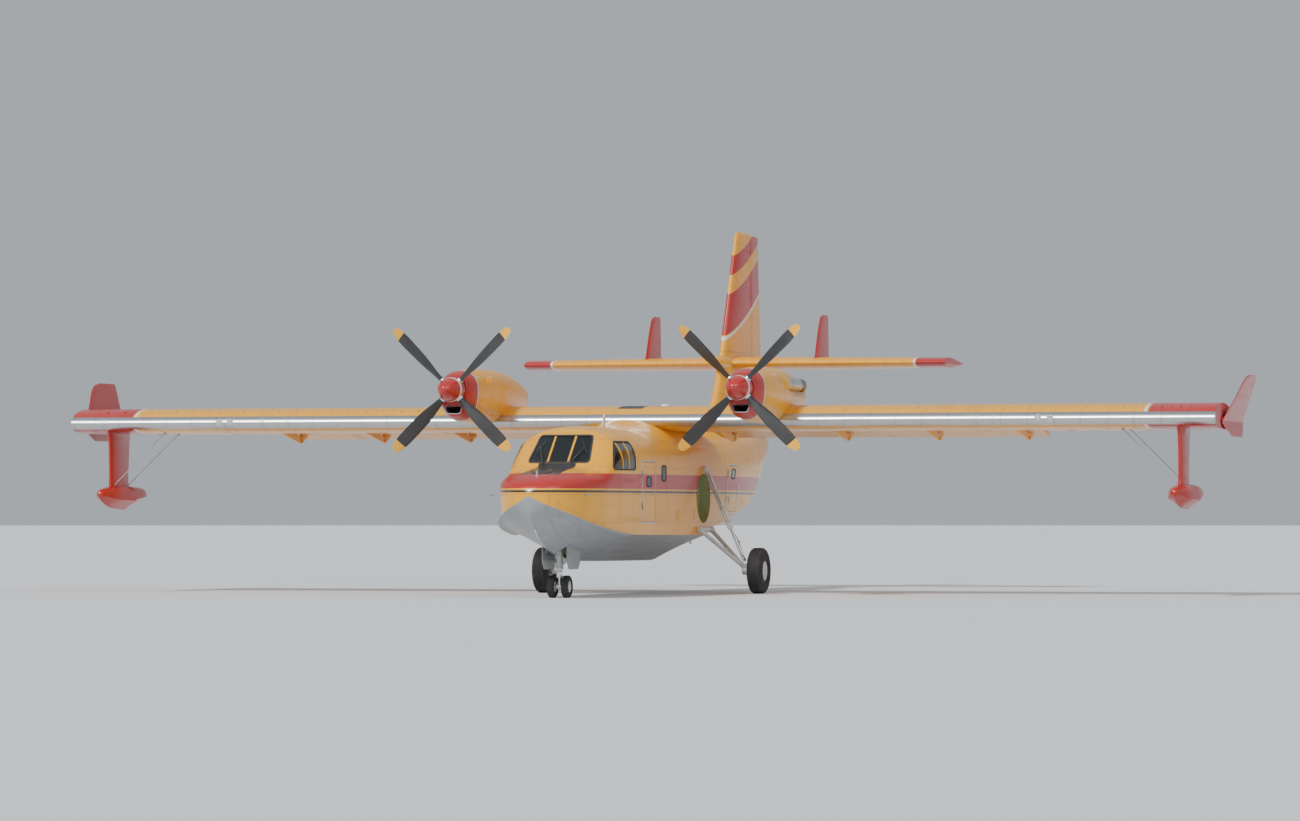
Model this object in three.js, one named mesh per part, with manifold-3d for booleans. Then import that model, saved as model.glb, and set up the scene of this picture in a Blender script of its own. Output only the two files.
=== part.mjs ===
// A twin-turboprop amphibious flying boat standing on its wheels, as a three.js scene graph.
// Millimetres. +X points to the nose, +Y to port (left), +Z up. The origin is on the ground,
// under the middle of the length, in the plane of symmetry.
// Stations are distances aft of the tip of the nose. "side" is +1 for port and -1 for starboard.
import * as THREE from "three";
import { mergeVertices } from "three/addons/utils/BufferGeometryUtils.js";
import Module from "manifold-3d";

const wasm = await Module();
wasm.setup();

// Driving dimensions of the whole aircraft
const LENGTH = 19820;
const SPAN = 28630;
const HEIGHT = 8980;
const SEAT = 0.35; // gap between pieces that rest on each other
const RUNNING = 0.2; // gap round a turning shaft
const RUN = 10; // gap round a piece that moves
const MERGE = 1e-3;

// Hull and cabin
const SKIN = 50; // wall of the bow and centre hull, with its frames
const AFT_SKIN = 28;
const ROOF_POWER = 2.4; // superellipse that rounds the roof over the shoulders
const ROOF_STEPS = 5;
const STEP_STATION = 9700;
const BOW_END = 6400;
const CENTRE_END = 11600;
const AFT_END = 16000;
const HULL_COLUMNS = ["station", "keelZ", "chineY", "chineZ", "shoulderY", "shoulderZ", "roofZ"];
const HULL_SECTIONS = [
  [0, 2120, 120, 2200, 150, 2340, 2440],
  [180, 1800, 430, 2060, 470, 2400, 2580],
  [600, 1440, 760, 1880, 800, 2430, 2730],
  [1200, 1160, 1010, 1710, 1040, 2470, 2850],
  [2050, 960, 1180, 1560, 1200, 2540, 2960],
  [2950, 860, 1265, 1460, 1270, 2900, 3800],
  [3800, 830, 1290, 1420, 1292, 3000, 3880],
  [BOW_END, 810, 1295, 1400, 1295, 3000, 3880],
  [STEP_STATION - 2, 800, 1295, 1390, 1295, 3000, 3880],
  [STEP_STATION, 970, 1290, 1500, 1295, 3000, 3880],
  [12000, 1290, 1210, 1760, 1270, 3000, 3900],
  [14000, 1600, 1030, 2040, 1150, 3050, 3950],
  [15600, 1900, 820, 2270, 960, 3120, 4000],
  [17200, 2480, 560, 2760, 680, 3300, 4060],
  [18600, 3020, 300, 3220, 380, 3520, 4060],
  [LENGTH, 3480, 60, 3540, 80, 3640, 3760],
].map((row) => Object.fromEntries(HULL_COLUMNS.map((name, i) => [name, row[i]])));

// Glazing, as outlines in station and height, or in y and height for the windscreen
const GLASS = 22;
const WINDSCREEN = [[-700, 3060], [700, 3060], [600, 3640], [-600, 3640]];
const SIDE_WINDOW = [[2480, 2900], [3900, 2900], [3900, 3500], [2990, 3500]];

// Doors: station, sill and size of the clear opening, and how far the door swings
const FRONT_DOOR = { station: 4450, sill: 1700, width: 1030, height: 1370, hingeY: 1310, leafDepth: 30 };
const REAR_DOOR = { station: 11750, sill: 1930, width: 1030, height: 1120, hingeY: 1289, leafDepth: 62 };
const DROP_DOOR = { length: 1600, inner: 140, outer: 880, stations: [6430, 8060], hingeY: 882,
    hingeZ: 1186 };
const PIN_INSIDE = 40; // how far a hinge pin reaches into a control surface
const KNUCKLE = { radius: 13, leaf: 12, length: 80 };
const KNUCKLE_SHARES = [0.2, 0.75]; // where the knuckles lie along a hinge

// Floors, tank and cockpit
const FLOOR = { from: 2150, top: 1740, thickness: 40 };
const TANK = { from: 6460, to: 9670, halfWidth: 960, top: 2900, wall: 30 };
const PANEL = { station: 2560, depth: 90, halfWidth: 1000, bottom: 2280, top: 2880 };
const SEATS = { station: 3350, y: 500, width: 460, depth: 470, pan: 2180, top: 3000 };

// Wing: constant chord, cambered section
const CHORD = 3540;
const WING_NOSE = 7300;
const WING_Z = 4000;
const INCIDENCE = THREE.MathUtils.degToRad(3.5);
const WING = { camber: 0.04, crest: 0.4, thickness: 0.17, wall: 28, end: 0.985, steps: 8, sparEnd: 0.66 };
const ROOT_Y = 1350;
const TIP_Y = 13950;
const FLAP = { inner: 1400, outer: 9400, lowerCut: 0.7, upperCut: 0.79, hingeX: 0.775, hingeZ: -230 };
const FLAP_REST = THREE.MathUtils.degToRad(10); // as in the photograph
const FLAP_ARMS = [1900, 4700, 6900, 9050];
const AILERON = { inner: 9480, outer: 13700, hingeX: 0.775 };
const WINGLET = { top: 5100, bottom: 3660, thickness: 46 };

// Flat pads under the wing where the aircraft is jacked
const JACK = { share: 0.28, y: 3450, bottom: 3720, radius: 70 };
const TAIL_PAD = { station: 15200, top: 1860, bottom: 1780, radius: 60 };

// Stabilising floats under the wing
const FLOAT = { y: 13080, nose: 6950, length: 2900, keel: 1980, deck: 2560, halfBeam: 310 };
const PYLON = { nose: 7650, chord: 1150, thickness: 150 };

// Engines
const ENGINE = { y: 3450, z: 4755, noseGap: 10 };
const NACELLE_FRONT = 5060;
const NACELLE_SECTIONS = [
  // station, half width, top above the shaft, bottom below the shaft
  [NACELLE_FRONT, 330, 340, 600],
  [5400, 430, 440, 700],
  [6200, 490, 510, 760],
  [7300, 500, 530, 780],
  [8200, 450, 480, 700],
  [9300, 330, 310, 560],
  [10250, 170, 40, 480],
];
const NACELLE_WALL = 26;
const ENGINE_BLOCK = { from: 5420, to: 7250, width: 500, height: 620 };
const INTAKE = { halfWidth: 210, top: 390, bottom: 540 };
const PROP = { radius: 1985, hubRadius: 300, hubFrom: 4700, noseLength: 420, shaft: 60, blades: 4 };

// Tail
const FIN_ROWS = [
  // height, nose station of the section
  [3700, 12850],
  [4020, 13450],
  [4420, 14560],
  [4800, 14990],
  [HEIGHT, 17000],
];
const RUDDER = { hinge: 18050, bottom: 4130, top: 8930, rootEnd: 19490, tipEnd: 19000 };
const FIN_THICKNESS = 0.105;
const TAILPLANE = { z: 5650, halfSpan: 5485, rootNose: 15900, tipNose: 16600, hinge: 17950 };
const ELEVATOR = { inner: 560, outer: 5330, rootEnd: 18830, tipEnd: 18700 };
const TAIL_THICKNESS = 0.12;
const TAIL_WALL = 12; // skins of the tail and of the control surfaces
const FINLET = { y: 2200, top: 6870, baseNose: 16350, baseEnd: 17820, tipNose: 16980, tipEnd: 17760 };
const BULLET = { nose: 14950, end: 17300, radius: 200 };

// Undercarriage
const MAIN = { station: 9480, y: 2655, radius: 545, width: 380, rim: 215, sides: 24 };
const AXLE_RADIUS = 54;
const NOSE_LEG = { radius: 82, piston: 52, axle: 28, sides: 20 };
const NOSE = { station: 2300, y: 168, radius: 255, width: 165, rim: 120, sides: 20 };
const WELL = { station: 9480, z: 2250, radius: 590, depth: 300, wall: 26 };
const BAY = { from: 1900, to: 2900, halfWidth: 275, top: 1640, wall: 24 };

const YELLOW = new THREE.MeshStandardMaterial({ color: 0xe9b21c, roughness: 0.42, metalness: 0.05 });
const RED = new THREE.MeshStandardMaterial({ color: 0xb5241c, roughness: 0.42, metalness: 0.05 });
const DARK = new THREE.MeshStandardMaterial({ color: 0x202326, roughness: 0.5, metalness: 0.1 });
const METAL = new THREE.MeshStandardMaterial({ color: 0x9a9fa3, roughness: 0.4, metalness: 0.8 });
const RUBBER = new THREE.MeshStandardMaterial({ color: 0x1b1b1c, roughness: 0.9, metalness: 0 });
const CABIN = new THREE.MeshStandardMaterial({ color: 0x6c7276, roughness: 0.7, metalness: 0 });
const PANE = new THREE.MeshStandardMaterial({
  color: 0x8fb0ba,
  roughness: 0.08,
  metalness: 0,
  transparent: true,
  opacity: 0.4,
});

const aircraft = new THREE.Group();

// Position of a station in the aircraft's frame
const xAt = (station) => LENGTH / 2 - station;
const mix = (a, b, t) => a + (b - a) * t;

// A closed geometry as a solid, turned inside out where its faces point inwards
function solidOf(geometry) {
  const bare = geometry.index ? geometry.toNonIndexed() : geometry.clone();
  bare.deleteAttribute("normal");
  bare.deleteAttribute("uv");
  const merged = mergeVertices(bare, MERGE);
  const made = (triVerts) =>
    new wasm.Manifold(
      new wasm.Mesh({ numProp: 3, vertProperties: merged.attributes.position.array, triVerts }),
    );
  const solid = made(new Uint32Array(merged.index.array));
  return solid.volume() < 0 ? made(new Uint32Array(merged.index.array).reverse()) : solid;
}

// A solid as a geometry
function geometryOf(solid) {
  const mesh = solid.getMesh();
  const positions = new Float32Array(mesh.numVert * 3);
  for (let i = 0; i < mesh.numVert; i++) {
    positions.set(mesh.vertProperties.subarray(i * mesh.numProp, i * mesh.numProp + 3), i * 3);
  }
  const geometry = new THREE.BufferGeometry()
    .setAttribute("position", new THREE.BufferAttribute(positions, 3))
    .setIndex(new THREE.BufferAttribute(mesh.triVerts, 1));
  geometry.computeVertexNormals();
  return geometry;
}

function piece(name, solid, material, parent = aircraft) {
  const mesh = new THREE.Mesh(geometryOf(solid), material);
  mesh.name = name;
  parent.add(mesh);
  return mesh;
}

const PLANES = { x: ["y", "z"], y: ["z", "x"], z: ["x", "y"] };

// Area of a ring seen along an axis, positive when it runs anticlockwise
function ringArea(ring, axis) {
  const [u, v] = PLANES[axis];
  return ring.reduce((sum, p, i) => {
    const q = ring[(i + 1) % ring.length];
    return sum + (p[u] * q[v] - q[u] * p[v]) / 2;
  }, 0);
}

// A solid through rings of equal length that follow each other along an axis
function loft(rings, axis) {
  const [u, v] = PLANES[axis];
  const last = rings.length - 1;
  const ordered = rings[0][0][axis] <= rings[last][0][axis] ? [...rings] : [...rings].reverse();
  const turned = ringArea(ordered[0], axis) < 0;
  const loops = turned ? ordered.map((ring) => [...ring].reverse()) : ordered;
  const count = loops[0].length;
  const index = [];
  for (let r = 0; r < last; r++) {
    for (let i = 0; i < count; i++) {
      const a = r * count + i;
      const b = r * count + ((i + 1) % count);
      index.push(a, b, b + count, a, b + count, a + count);
    }
  }
  for (const [end, up] of [[0, false], [last, true]]) {
    const flat = loops[end].map((p) => new THREE.Vector2(p[u], p[v]));
    for (const face of THREE.ShapeUtils.triangulateShape(flat, [])) {
      const [p, q, s] = face.map((i) => flat[i]);
      const anticlockwise = (q.x - p.x) * (s.y - p.y) - (q.y - p.y) * (s.x - p.x) > 0;
      const [i, j, k] = anticlockwise === up ? face : [face[0], face[2], face[1]];
      index.push(end * count + i, end * count + j, end * count + k);
    }
  }
  const geometry = new THREE.BufferGeometry()
    .setFromPoints(loops.flat())
    .setIndex(index);
  return solidOf(geometry);
}

// A solid with straight sides: an outline in two axes, drawn out along the third
function prism(outline, axis, from, to) {
  const [u, v] = PLANES[axis];
  const ringAt = (at) =>
    outline.map(([p, q]) => {
      const point = new THREE.Vector3();
      point[u] = p;
      point[v] = q;
      point[axis] = at;
      return point;
    });
  return loft([ringAt(from), ringAt(to)], axis);
}

// A prism along y of an outline given in station and height
function sidePrism(outline, fromY, toY) {
  return prism(outline.map(([station, z]) => [z, xAt(station)]), "y", fromY, toY);
}

// A box between two stations, two y and two z
function block(fromStation, toStation, fromY, toY, fromZ, toZ) {
  return prism([[fromY, fromZ], [toY, fromZ], [toY, toZ], [fromY, toZ]], "x", xAt(fromStation),
      xAt(toStation));
}

// What is left of a solid when a wall is taken off it along some of the axes
function thinned(solid, wall, axes) {
  const moves = [...axes].flatMap((axis) => [wall, -wall]
      .map((by) => new THREE.Vector3().setComponent("xyz".indexOf(axis), by)));
  return moves.map((move) => solid.translate(move.toArray())).reduce((a, b) => a.intersect(b));
}

// A round bar between two points
function rod(from, to, radius, sides = 12) {
  const direction = new THREE.Vector3().subVectors(to, from);
  const geometry = new THREE.CylinderGeometry(radius, radius, direction.length(), sides);
  const turn = new THREE.Quaternion().setFromUnitVectors(new THREE.Vector3(0, 1, 0),
      direction.clone().normalize());
  geometry.applyQuaternion(turn);
  geometry.translate(...new THREE.Vector3().addVectors(from, to).multiplyScalar(0.5).toArray());
  return solidOf(geometry);
}

const point = (station, y, z) => new THREE.Vector3(xAt(station), y, z);

// Radius of a bore with flat sides that leaves a running gap round a shaft
const boreFor = (radius, sides) => (radius + RUNNING) / Math.cos(Math.PI / sides);

// A hinge knuckle about an axis, with the leaf that joins it to a point inside what carries it
function knuckle(axis, at, anchor, from, to) {
  const [u, v] = PLANES[axis];
  const along = new THREE.Vector2(anchor[0] - at[0], anchor[1] - at[1]).normalize();
  const [p, q] = [-along.y * (KNUCKLE.leaf / 2), along.x * (KNUCKLE.leaf / 2)];
  const leaf = [[at[0] + p, at[1] + q], [at[0] - p, at[1] - q], [anchor[0] - p, anchor[1] - q],
      [anchor[0] + p, anchor[1] + q]];
  const ends = [from, to].map((end) => {
    const centre = new THREE.Vector3();
    centre[u] = at[0];
    centre[v] = at[1];
    centre[axis] = end;
    return centre;
  });
  return rod(ends[0], ends[1], KNUCKLE.radius, 8).add(prism(leaf, axis, from, to));
}

// A turned shape about an axis along y, with one flat side down
function turned(profile, sides) {
  const geometry = new THREE.LatheGeometry(profile.map(([r, y]) => new THREE.Vector2(r, y)), sides);
  geometry.rotateY(Math.PI / sides);
  return solidOf(geometry);
}

// The hull's named values at any station, between the sections of the table
function hullAt(station) {
  const after = HULL_SECTIONS.findIndex((row) => row.station >= station);
  const next = HULL_SECTIONS[Math.max(after, 1)];
  const before = HULL_SECTIONS[Math.max(after, 1) - 1];
  const t = (station - before.station) / (next.station - before.station);
  return Object.fromEntries(HULL_COLUMNS.map((name) => [name, mix(before[name], next[name], t)]));
}

// The hull's outline at a station, moved in by "inset"
function hullRing(station, inset) {
  const row = hullAt(station);
  const keel = row.keelZ + inset * 1.1;
  const chine = { y: row.chineY - inset, z: row.chineZ + inset * 0.6 };
  const shoulder = { y: row.shoulderY - inset, z: row.shoulderZ };
  const rise = row.roofZ - inset - shoulder.z;
  const half = [[chine.y, chine.z]];
  for (let i = 0; i < ROOF_STEPS; i++) {
    const angle = (i / ROOF_STEPS) * (Math.PI / 2);
    half.push([
      shoulder.y * Math.cos(angle) ** (2 / ROOF_POWER),
      shoulder.z + rise * Math.sin(angle) ** (2 / ROOF_POWER),
    ]);
  }
  const outline = [[0, keel], ...half, [0, shoulder.z + rise]];
  for (const [y, z] of [...half].reverse()) {
    outline.push([-y, z]);
  }
  return outline.map(([y, z]) => point(station, y, z));
}

const wholeHulls = new Map();

// The hull as a solid between two stations, moved in by "inset" or grown by a negative one
function hull(from, to, inset = 0) {
  if (!wholeHulls.has(inset)) {
    const rows = HULL_SECTIONS.filter((row) => inset <= 0 || row.station > 0);
    wholeHulls.set(inset, loft(rows.map((row) => hullRing(row.station, inset)), "x"));
  }
  return wholeHulls.get(inset).intersect(block(from, to, -2000, 2000, 0, 5000));
}

// Thickness and camber of a wing section at a share of its chord
function halfThickness(x, thickness) {
  const root = 0.2969 * Math.sqrt(x) - 0.126 * x - 0.3516 * x ** 2 + 0.2843 * x ** 3 - 0.1036 * x ** 4;
  return 5 * thickness * root;
}

function camberAt(x) {
  const { camber, crest } = WING;
  if (x < crest) {
    return (camber / crest ** 2) * (2 * crest * x - x ** 2);
  }
  return (camber / (1 - crest) ** 2) * (1 - 2 * crest + 2 * crest * x - x ** 2);
}

// Shares of the chord, close together at the nose
function spread(from, to, count) {
  return Array.from({ length: count + 1 },
      (_, i) => mix(from, to, 1 - Math.cos((i / count) * (Math.PI / 2))));
}

// A point of the wing section, chordwise and upwards in millimetres, in station and height
function wingPoint(along, up) {
  const quarter = CHORD / 4;
  const x = along - quarter;
  return [
    WING_NOSE + quarter + x * Math.cos(INCIDENCE) + up * Math.sin(INCIDENCE),
    WING_Z - x * Math.sin(INCIDENCE) + up * Math.cos(INCIDENCE),
  ];
}

const upperAt = (x) => CHORD * (camberAt(x) + halfThickness(x, WING.thickness));
const lowerAt = (x) => CHORD * (camberAt(x) - halfThickness(x, WING.thickness));
const upperPoint = (x, up = 0) => wingPoint(x * CHORD, upperAt(x) + up);
const lowerPoint = (x, up = 0) => wingPoint(x * CHORD, lowerAt(x) + up);

// The wing section back to a share of the chord, in station and height
function wingSection(end) {
  const shares = [...spread(0, WING.end, WING.steps).filter((x) => x < end - 0.01), end];
  return [...shares.map((x) => upperPoint(x)).reverse(), ...shares.slice(1).map((x) => lowerPoint(x))];
}

const WING_OUTLINE = wingSection(WING.end);

// A closed outline with each edge moved outwards by a distance
function grown(outline, distance) {
  const area = outline.reduce((sum, [a, b], i) => {
    const [c, d] = outline[(i + 1) % outline.length];
    return sum + (a * d - c * b) / 2;
  }, 0);
  const normal = ([a, b], [c, d]) => {
    const length = Math.hypot(c - a, d - b) * Math.sign(area);
    return [(d - b) / length, (a - c) / length];
  };
  return outline.map((corner, i) => {
    const [p, q] = normal(outline.at(i - 1), corner);
    const [r, s] = normal(corner, outline[(i + 1) % outline.length]);
    const share = distance / (1 + p * r + q * s);
    return [corner[0] + (p + r) * share, corner[1] + (q + s) * share];
  });
}

// A prism along y of an outline, between two distances from the middle on one side
function wingPiece(outline, side, from, to) {
  return sidePrism(outline, side * from, side * to);
}

// The space behind a line through the wing, from a share of the chord below to one above
function behindWing(lower, upper, side, from, to) {
  const outline = [lowerPoint(lower, -400), lowerPoint(lower), upperPoint(upper), upperPoint(upper, 400)];
  return wingPiece([...outline, [WING_NOSE + 2 * CHORD, WING_Z + 900],
      [WING_NOSE + 2 * CHORD, WING_Z - 900]], side, from, to);
}

// The whole solid wing section, grown a little, to cut what rests on it
function wingCutter(fromY, toY) {
  return sidePrism(grown(WING_OUTLINE, SEAT), fromY, toY);
}

// The bow with its cockpit and front cabin
function makeBow() {
  let bow = hull(0, BOW_END - SEAT).subtract(hull(420, BOW_END - SKIN, SKIN));
  const bayBox = block(BAY.from - BAY.wall, BAY.to + BAY.wall, -BAY.halfWidth - BAY.wall,
      BAY.halfWidth + BAY.wall, 800, BAY.top);
  bow = bow.add(bayBox.intersect(hull(420, BOW_END - SKIN, SKIN - 1)));
  bow = bow.subtract(block(BAY.from, BAY.to, -BAY.halfWidth, BAY.halfWidth, 700, BAY.top - BAY.wall));
  bow = bow.subtract(windscreenCutter(1)).subtract(sideWindowCutter(1, 1))
      .subtract(sideWindowCutter(-1, 1));
  bow = bow.subtract(doorPrism(FRONT_DOOR, 0));
  bow = doorKnuckles(FRONT_DOOR, false).reduce((whole, part) => whole.add(part), bow);
  piece("hull_bow", bow, YELLOW);
}

// An outline scaled about its middle
function scaled(outline, factor) {
  const middle = outline.reduce(([a, b], [p, q]) => [a + p / outline.length, b + q / outline.length],
      [0, 0]);
  return outline.map(([p, q]) => [mix(middle[0], p, factor), mix(middle[1], q, factor)]);
}

const windscreenCutter = (factor) => prism(scaled(WINDSCREEN, factor), "x", xAt(1900), xAt(2990));
const sideWindowCutter = (side, factor) => sidePrism(scaled(SIDE_WINDOW, factor), side * 650, side * 1400);

// The panes, cut from a thin skin of the same shape
function makeGlazing() {
  const skin = hull(1500, 4200, 2).subtract(hull(1400, 4300, 2 + GLASS));
  const fit = 0.9988;
  piece("windscreen", skin.intersect(windscreenCutter(fit)), PANE);
  piece("side_window_left", skin.intersect(sideWindowCutter(1, fit)), PANE);
  piece("side_window_right", skin.intersect(sideWindowCutter(-1, fit)), PANE);
}

// The space of a side door, less a margin all round
function doorPrism(door, margin) {
  const outline = [
    [door.station + margin, door.sill + margin],
    [door.station + door.width - margin, door.sill + margin],
    [door.station + door.width - margin, door.sill + door.height - margin],
    [door.station + margin, door.sill + door.height - margin],
  ];
  return sidePrism(outline, 900, 1500);
}

// The knuckles of a side door's upright hinge, on the door or on the hull above each one
function doorKnuckles(door, onDoor) {
  const axis = [xAt(door.station), door.hingeY];
  const reach = onDoor ? 40 : -40;
  const anchor = [xAt(door.station + reach), door.hingeY - door.leafDepth];
  return KNUCKLE_SHARES.map((share) => {
    const low = door.sill + share * door.height + (onDoor ? 0 : KNUCKLE.length + SEAT);
    return knuckle("z", axis, anchor, low, low + KNUCKLE.length);
  });
}

function makeDoor(name, door, skin) {
  const shell = hull(door.station - 200, door.station + door.width + 200).subtract(
    hull(door.station - 300, door.station + door.width + 300, skin),
  );
  const leaf = shell.intersect(doorPrism(door, RUN));
  piece(name, doorKnuckles(door, true).reduce((whole, part) => whole.add(part), leaf), YELLOW);
}

// The centre hull with its step, wheel wells, drop door openings and wing saddle
function makeCentre() {
  let centre = hull(BOW_END, CENTRE_END - SEAT).subtract(hull(BOW_END + SKIN, CENTRE_END + 10, SKIN));
  const saddle = [
    [6850, 0], [7250, 620], [8000, 800], [10000, 800], [10900, 560], [11300, 0], [10900, -560],
    [10000, -800],
    [8000, -800], [7250, -620],
  ];
  const pad = prism(saddle.map(([station, y]) => [xAt(station), y]), "z", 3400, 4120);
  const ramp = sidePrism([[6700, 3300], [6860, 3860], [7280, 4060], [7700, 4100], [11350, 3860],
      [11350, 3300]], -900, 900);
  centre = centre.add(pad.intersect(ramp).subtract(hull(BOW_END - 100, CENTRE_END + 100, SKIN)));
  centre = centre.subtract(wingCutter(-1300, 1300));
  for (const side of [1, -1]) {
    const face = side * 1400;
    const back = side * (1295 - WELL.depth);
    centre = centre.add(
      rod(point(WELL.station, side * 1280, WELL.z), point(WELL.station, back - side * WELL.wall, WELL.z),
          WELL.radius + WELL.wall, 20),
    );
    centre = centre.subtract(rod(point(WELL.station, face, WELL.z), point(WELL.station, back, WELL.z),
        WELL.radius, 20));
    for (const station of DROP_DOOR.stations) {
      centre = centre.subtract(dropDoorPrism(station, side, 0));
      centre = dropDoorKnuckles(station, side, false).reduce((whole, part) => whole.add(part), centre);
    }
  }
  piece("hull_centre", centre, YELLOW);
}

function dropDoorPrism(station, side, margin) {
  return block(
    station + margin,
    station + DROP_DOOR.length - margin,
    side * (DROP_DOOR.inner + margin),
    side * (DROP_DOOR.outer - margin),
    600,
    1350,
  );
}

// The knuckles of a drop door's hinge along its outboard edge
function dropDoorKnuckles(station, side, onDoor) {
  const axis = [side * DROP_DOOR.hingeY, DROP_DOOR.hingeZ];
  const reach = onDoor ? -45 : 45;
  const anchor = [side * (DROP_DOOR.hingeY + reach), DROP_DOOR.hingeZ + 40 + reach * 0.45];
  return KNUCKLE_SHARES.map((share) => {
    const start = station + share * DROP_DOOR.length + (onDoor ? 0 : KNUCKLE.length + SEAT);
    return knuckle("x", axis, anchor, xAt(start), xAt(start + KNUCKLE.length));
  });
}

function makeDropDoors() {
  const shell = hull(BOW_END - 100, STEP_STATION - 3)
      .subtract(hull(BOW_END - 200, STEP_STATION - 2.5, SKIN));
  DROP_DOOR.stations.forEach((station, i) => {
    for (const side of [1, -1]) {
      const name = `drop_door_${i ? "rear" : "front"}_${side > 0 ? "left" : "right"}`;
      const leaf = shell.intersect(dropDoorPrism(station, side, RUN));
      const knuckles = dropDoorKnuckles(station, side, true);
      piece(name, knuckles.reduce((whole, part) => whole.add(part), leaf), RED);
    }
  });
}

function makeTank() {
  const { from, to, halfWidth, top, wall } = TANK;
  const middle = (from + to) / 2;
  let tank = block(from, to, -halfWidth, halfWidth, 700, top);
  tank = tank.subtract(block(from + wall, middle - wall / 2,
      -halfWidth + wall, halfWidth - wall, 600, top - wall));
  tank = tank.subtract(block(middle + wall / 2, to - wall,
      -halfWidth + wall, halfWidth - wall, 600, top - wall));
  tank = tank.intersect(hull(BOW_END + 10 + SEAT, STEP_STATION - 3, SKIN + SEAT));
  for (const side of [1, -1]) {
    for (const station of DROP_DOOR.stations) {
      tank = tank.subtract(dropDoorPrism(station, side, 0));
    }
  }
  piece("water_tank", tank, METAL);
}

function makeAft() {
  const hollow = hull(CENTRE_END - 10, AFT_END - AFT_SKIN, AFT_SKIN);
  const shell = hull(CENTRE_END, AFT_END - SEAT).subtract(hollow).subtract(doorPrism(REAR_DOOR, 0));
  const pad = rod(point(TAIL_PAD.station, 0, TAIL_PAD.top), point(TAIL_PAD.station, 0, TAIL_PAD.bottom),
      TAIL_PAD.radius, 12);
  const parts = [...doorKnuckles(REAR_DOOR, false), pad];
  piece("hull_aft", parts.reduce((whole, part) => whole.add(part), shell), YELLOW);
  const cone = hull(AFT_END, LENGTH).subtract(hull(AFT_END - 10, LENGTH - 500, TAIL_WALL));
  piece("tail_cone", cone, YELLOW);
}

function makeCockpit() {
  const room = hull(430, BOW_END - SKIN - SEAT, SKIN + SEAT);
  const floorBottom = FLOOR.top - FLOOR.thickness;
  piece("cabin_floor", block(FLOOR.from, BOW_END, -1400, 1400, floorBottom, FLOOR.top).intersect(room),
      CABIN);
  const panel = block(PANEL.station, PANEL.station + PANEL.depth, -PANEL.halfWidth, PANEL.halfWidth,
      PANEL.bottom, PANEL.top);
  const pedestal = block(PANEL.station, PANEL.station + 620, -170, 170, FLOOR.top + SEAT,
      PANEL.bottom + 40);
  piece("instrument_panel", panel.intersect(hull(430, BOW_END - SKIN, SKIN + SEAT)).add(pedestal), DARK);
  for (const side of [1, -1]) {
    const { station, y, width, depth, pan, top } = SEATS;
    const inner = side * y - width / 2;
    let seat = block(station, station + depth, inner, inner + width, pan - 90, pan);
    seat = seat.add(block(station + depth - 70, station + depth + 40, inner, inner + width, pan - 90, top));
    seat = seat.add(block(station + 90, station + depth - 60, inner + 90, inner + width - 90,
        FLOOR.top + SEAT, pan - 60));
    piece(`seat_${side > 0 ? "left" : "right"}`, seat, DARK);
  }
}

// Wing panels with their flap arms, and the box between them
function makeWing() {
  const inside = (side, from, to) => thinned(wingPiece(wingSection(WING.sparEnd), side, from, to),
      WING.wall, "xz");
  const centre = sidePrism(WING_OUTLINE, -ROOT_Y + SEAT, ROOT_Y - SEAT);
  piece("wing_centre", centre.subtract(inside(1, -ROOT_Y - 10, ROOT_Y + 10)), YELLOW);
  const aileronBay = AILERON.hingeX - (aileronRadius() + RUN + 4) / CHORD;
  for (const side of [1, -1]) {
    let panel = wingPiece(WING_OUTLINE, side, ROOT_Y, TIP_Y);
    panel = panel.subtract(behindWing(FLAP.lowerCut, FLAP.upperCut, side, FLAP.inner - RUN,
        FLAP.outer + RUN));
    panel = panel.subtract(behindWing(aileronBay, aileronBay, side, AILERON.inner - RUN,
        AILERON.outer + RUN));
    panel = panel.subtract(inside(side, ROOT_Y - 10, TIP_Y - WING.wall));
    for (const y of FLAP_ARMS) {
      panel = panel.add(flapArm(side, y));
    }
    const [station, z] = lowerPoint(JACK.share);
    panel = panel.add(rod(point(station, side * JACK.y, z + 20),
        point(station, side * JACK.y, JACK.bottom), JACK.radius, 12));
    piece(`wing_${side > 0 ? "left" : "right"}`, panel, YELLOW);
  }
}

const flapHinge = () => wingPoint(FLAP.hingeX * CHORD, FLAP.hingeZ);

// The fixed arm under the wing that carries the flap's hinge
function flapArm(side, y) {
  const hinge = FLAP.hingeX * CHORD;
  const outline = [
    lowerPoint(0.5, 20),
    lowerPoint(0.5, -20),
    lowerPoint(0.6, -120),
    wingPoint(hinge - 30, FLAP.hingeZ - 50),
    wingPoint(hinge + 40, FLAP.hingeZ - 30),
    wingPoint(hinge + 40, FLAP.hingeZ + 30),
    lowerPoint(0.69, -30),
    lowerPoint(0.69, 20),
  ];
  return wingPiece(outline, side, y - 30, y + 30);
}

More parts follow.
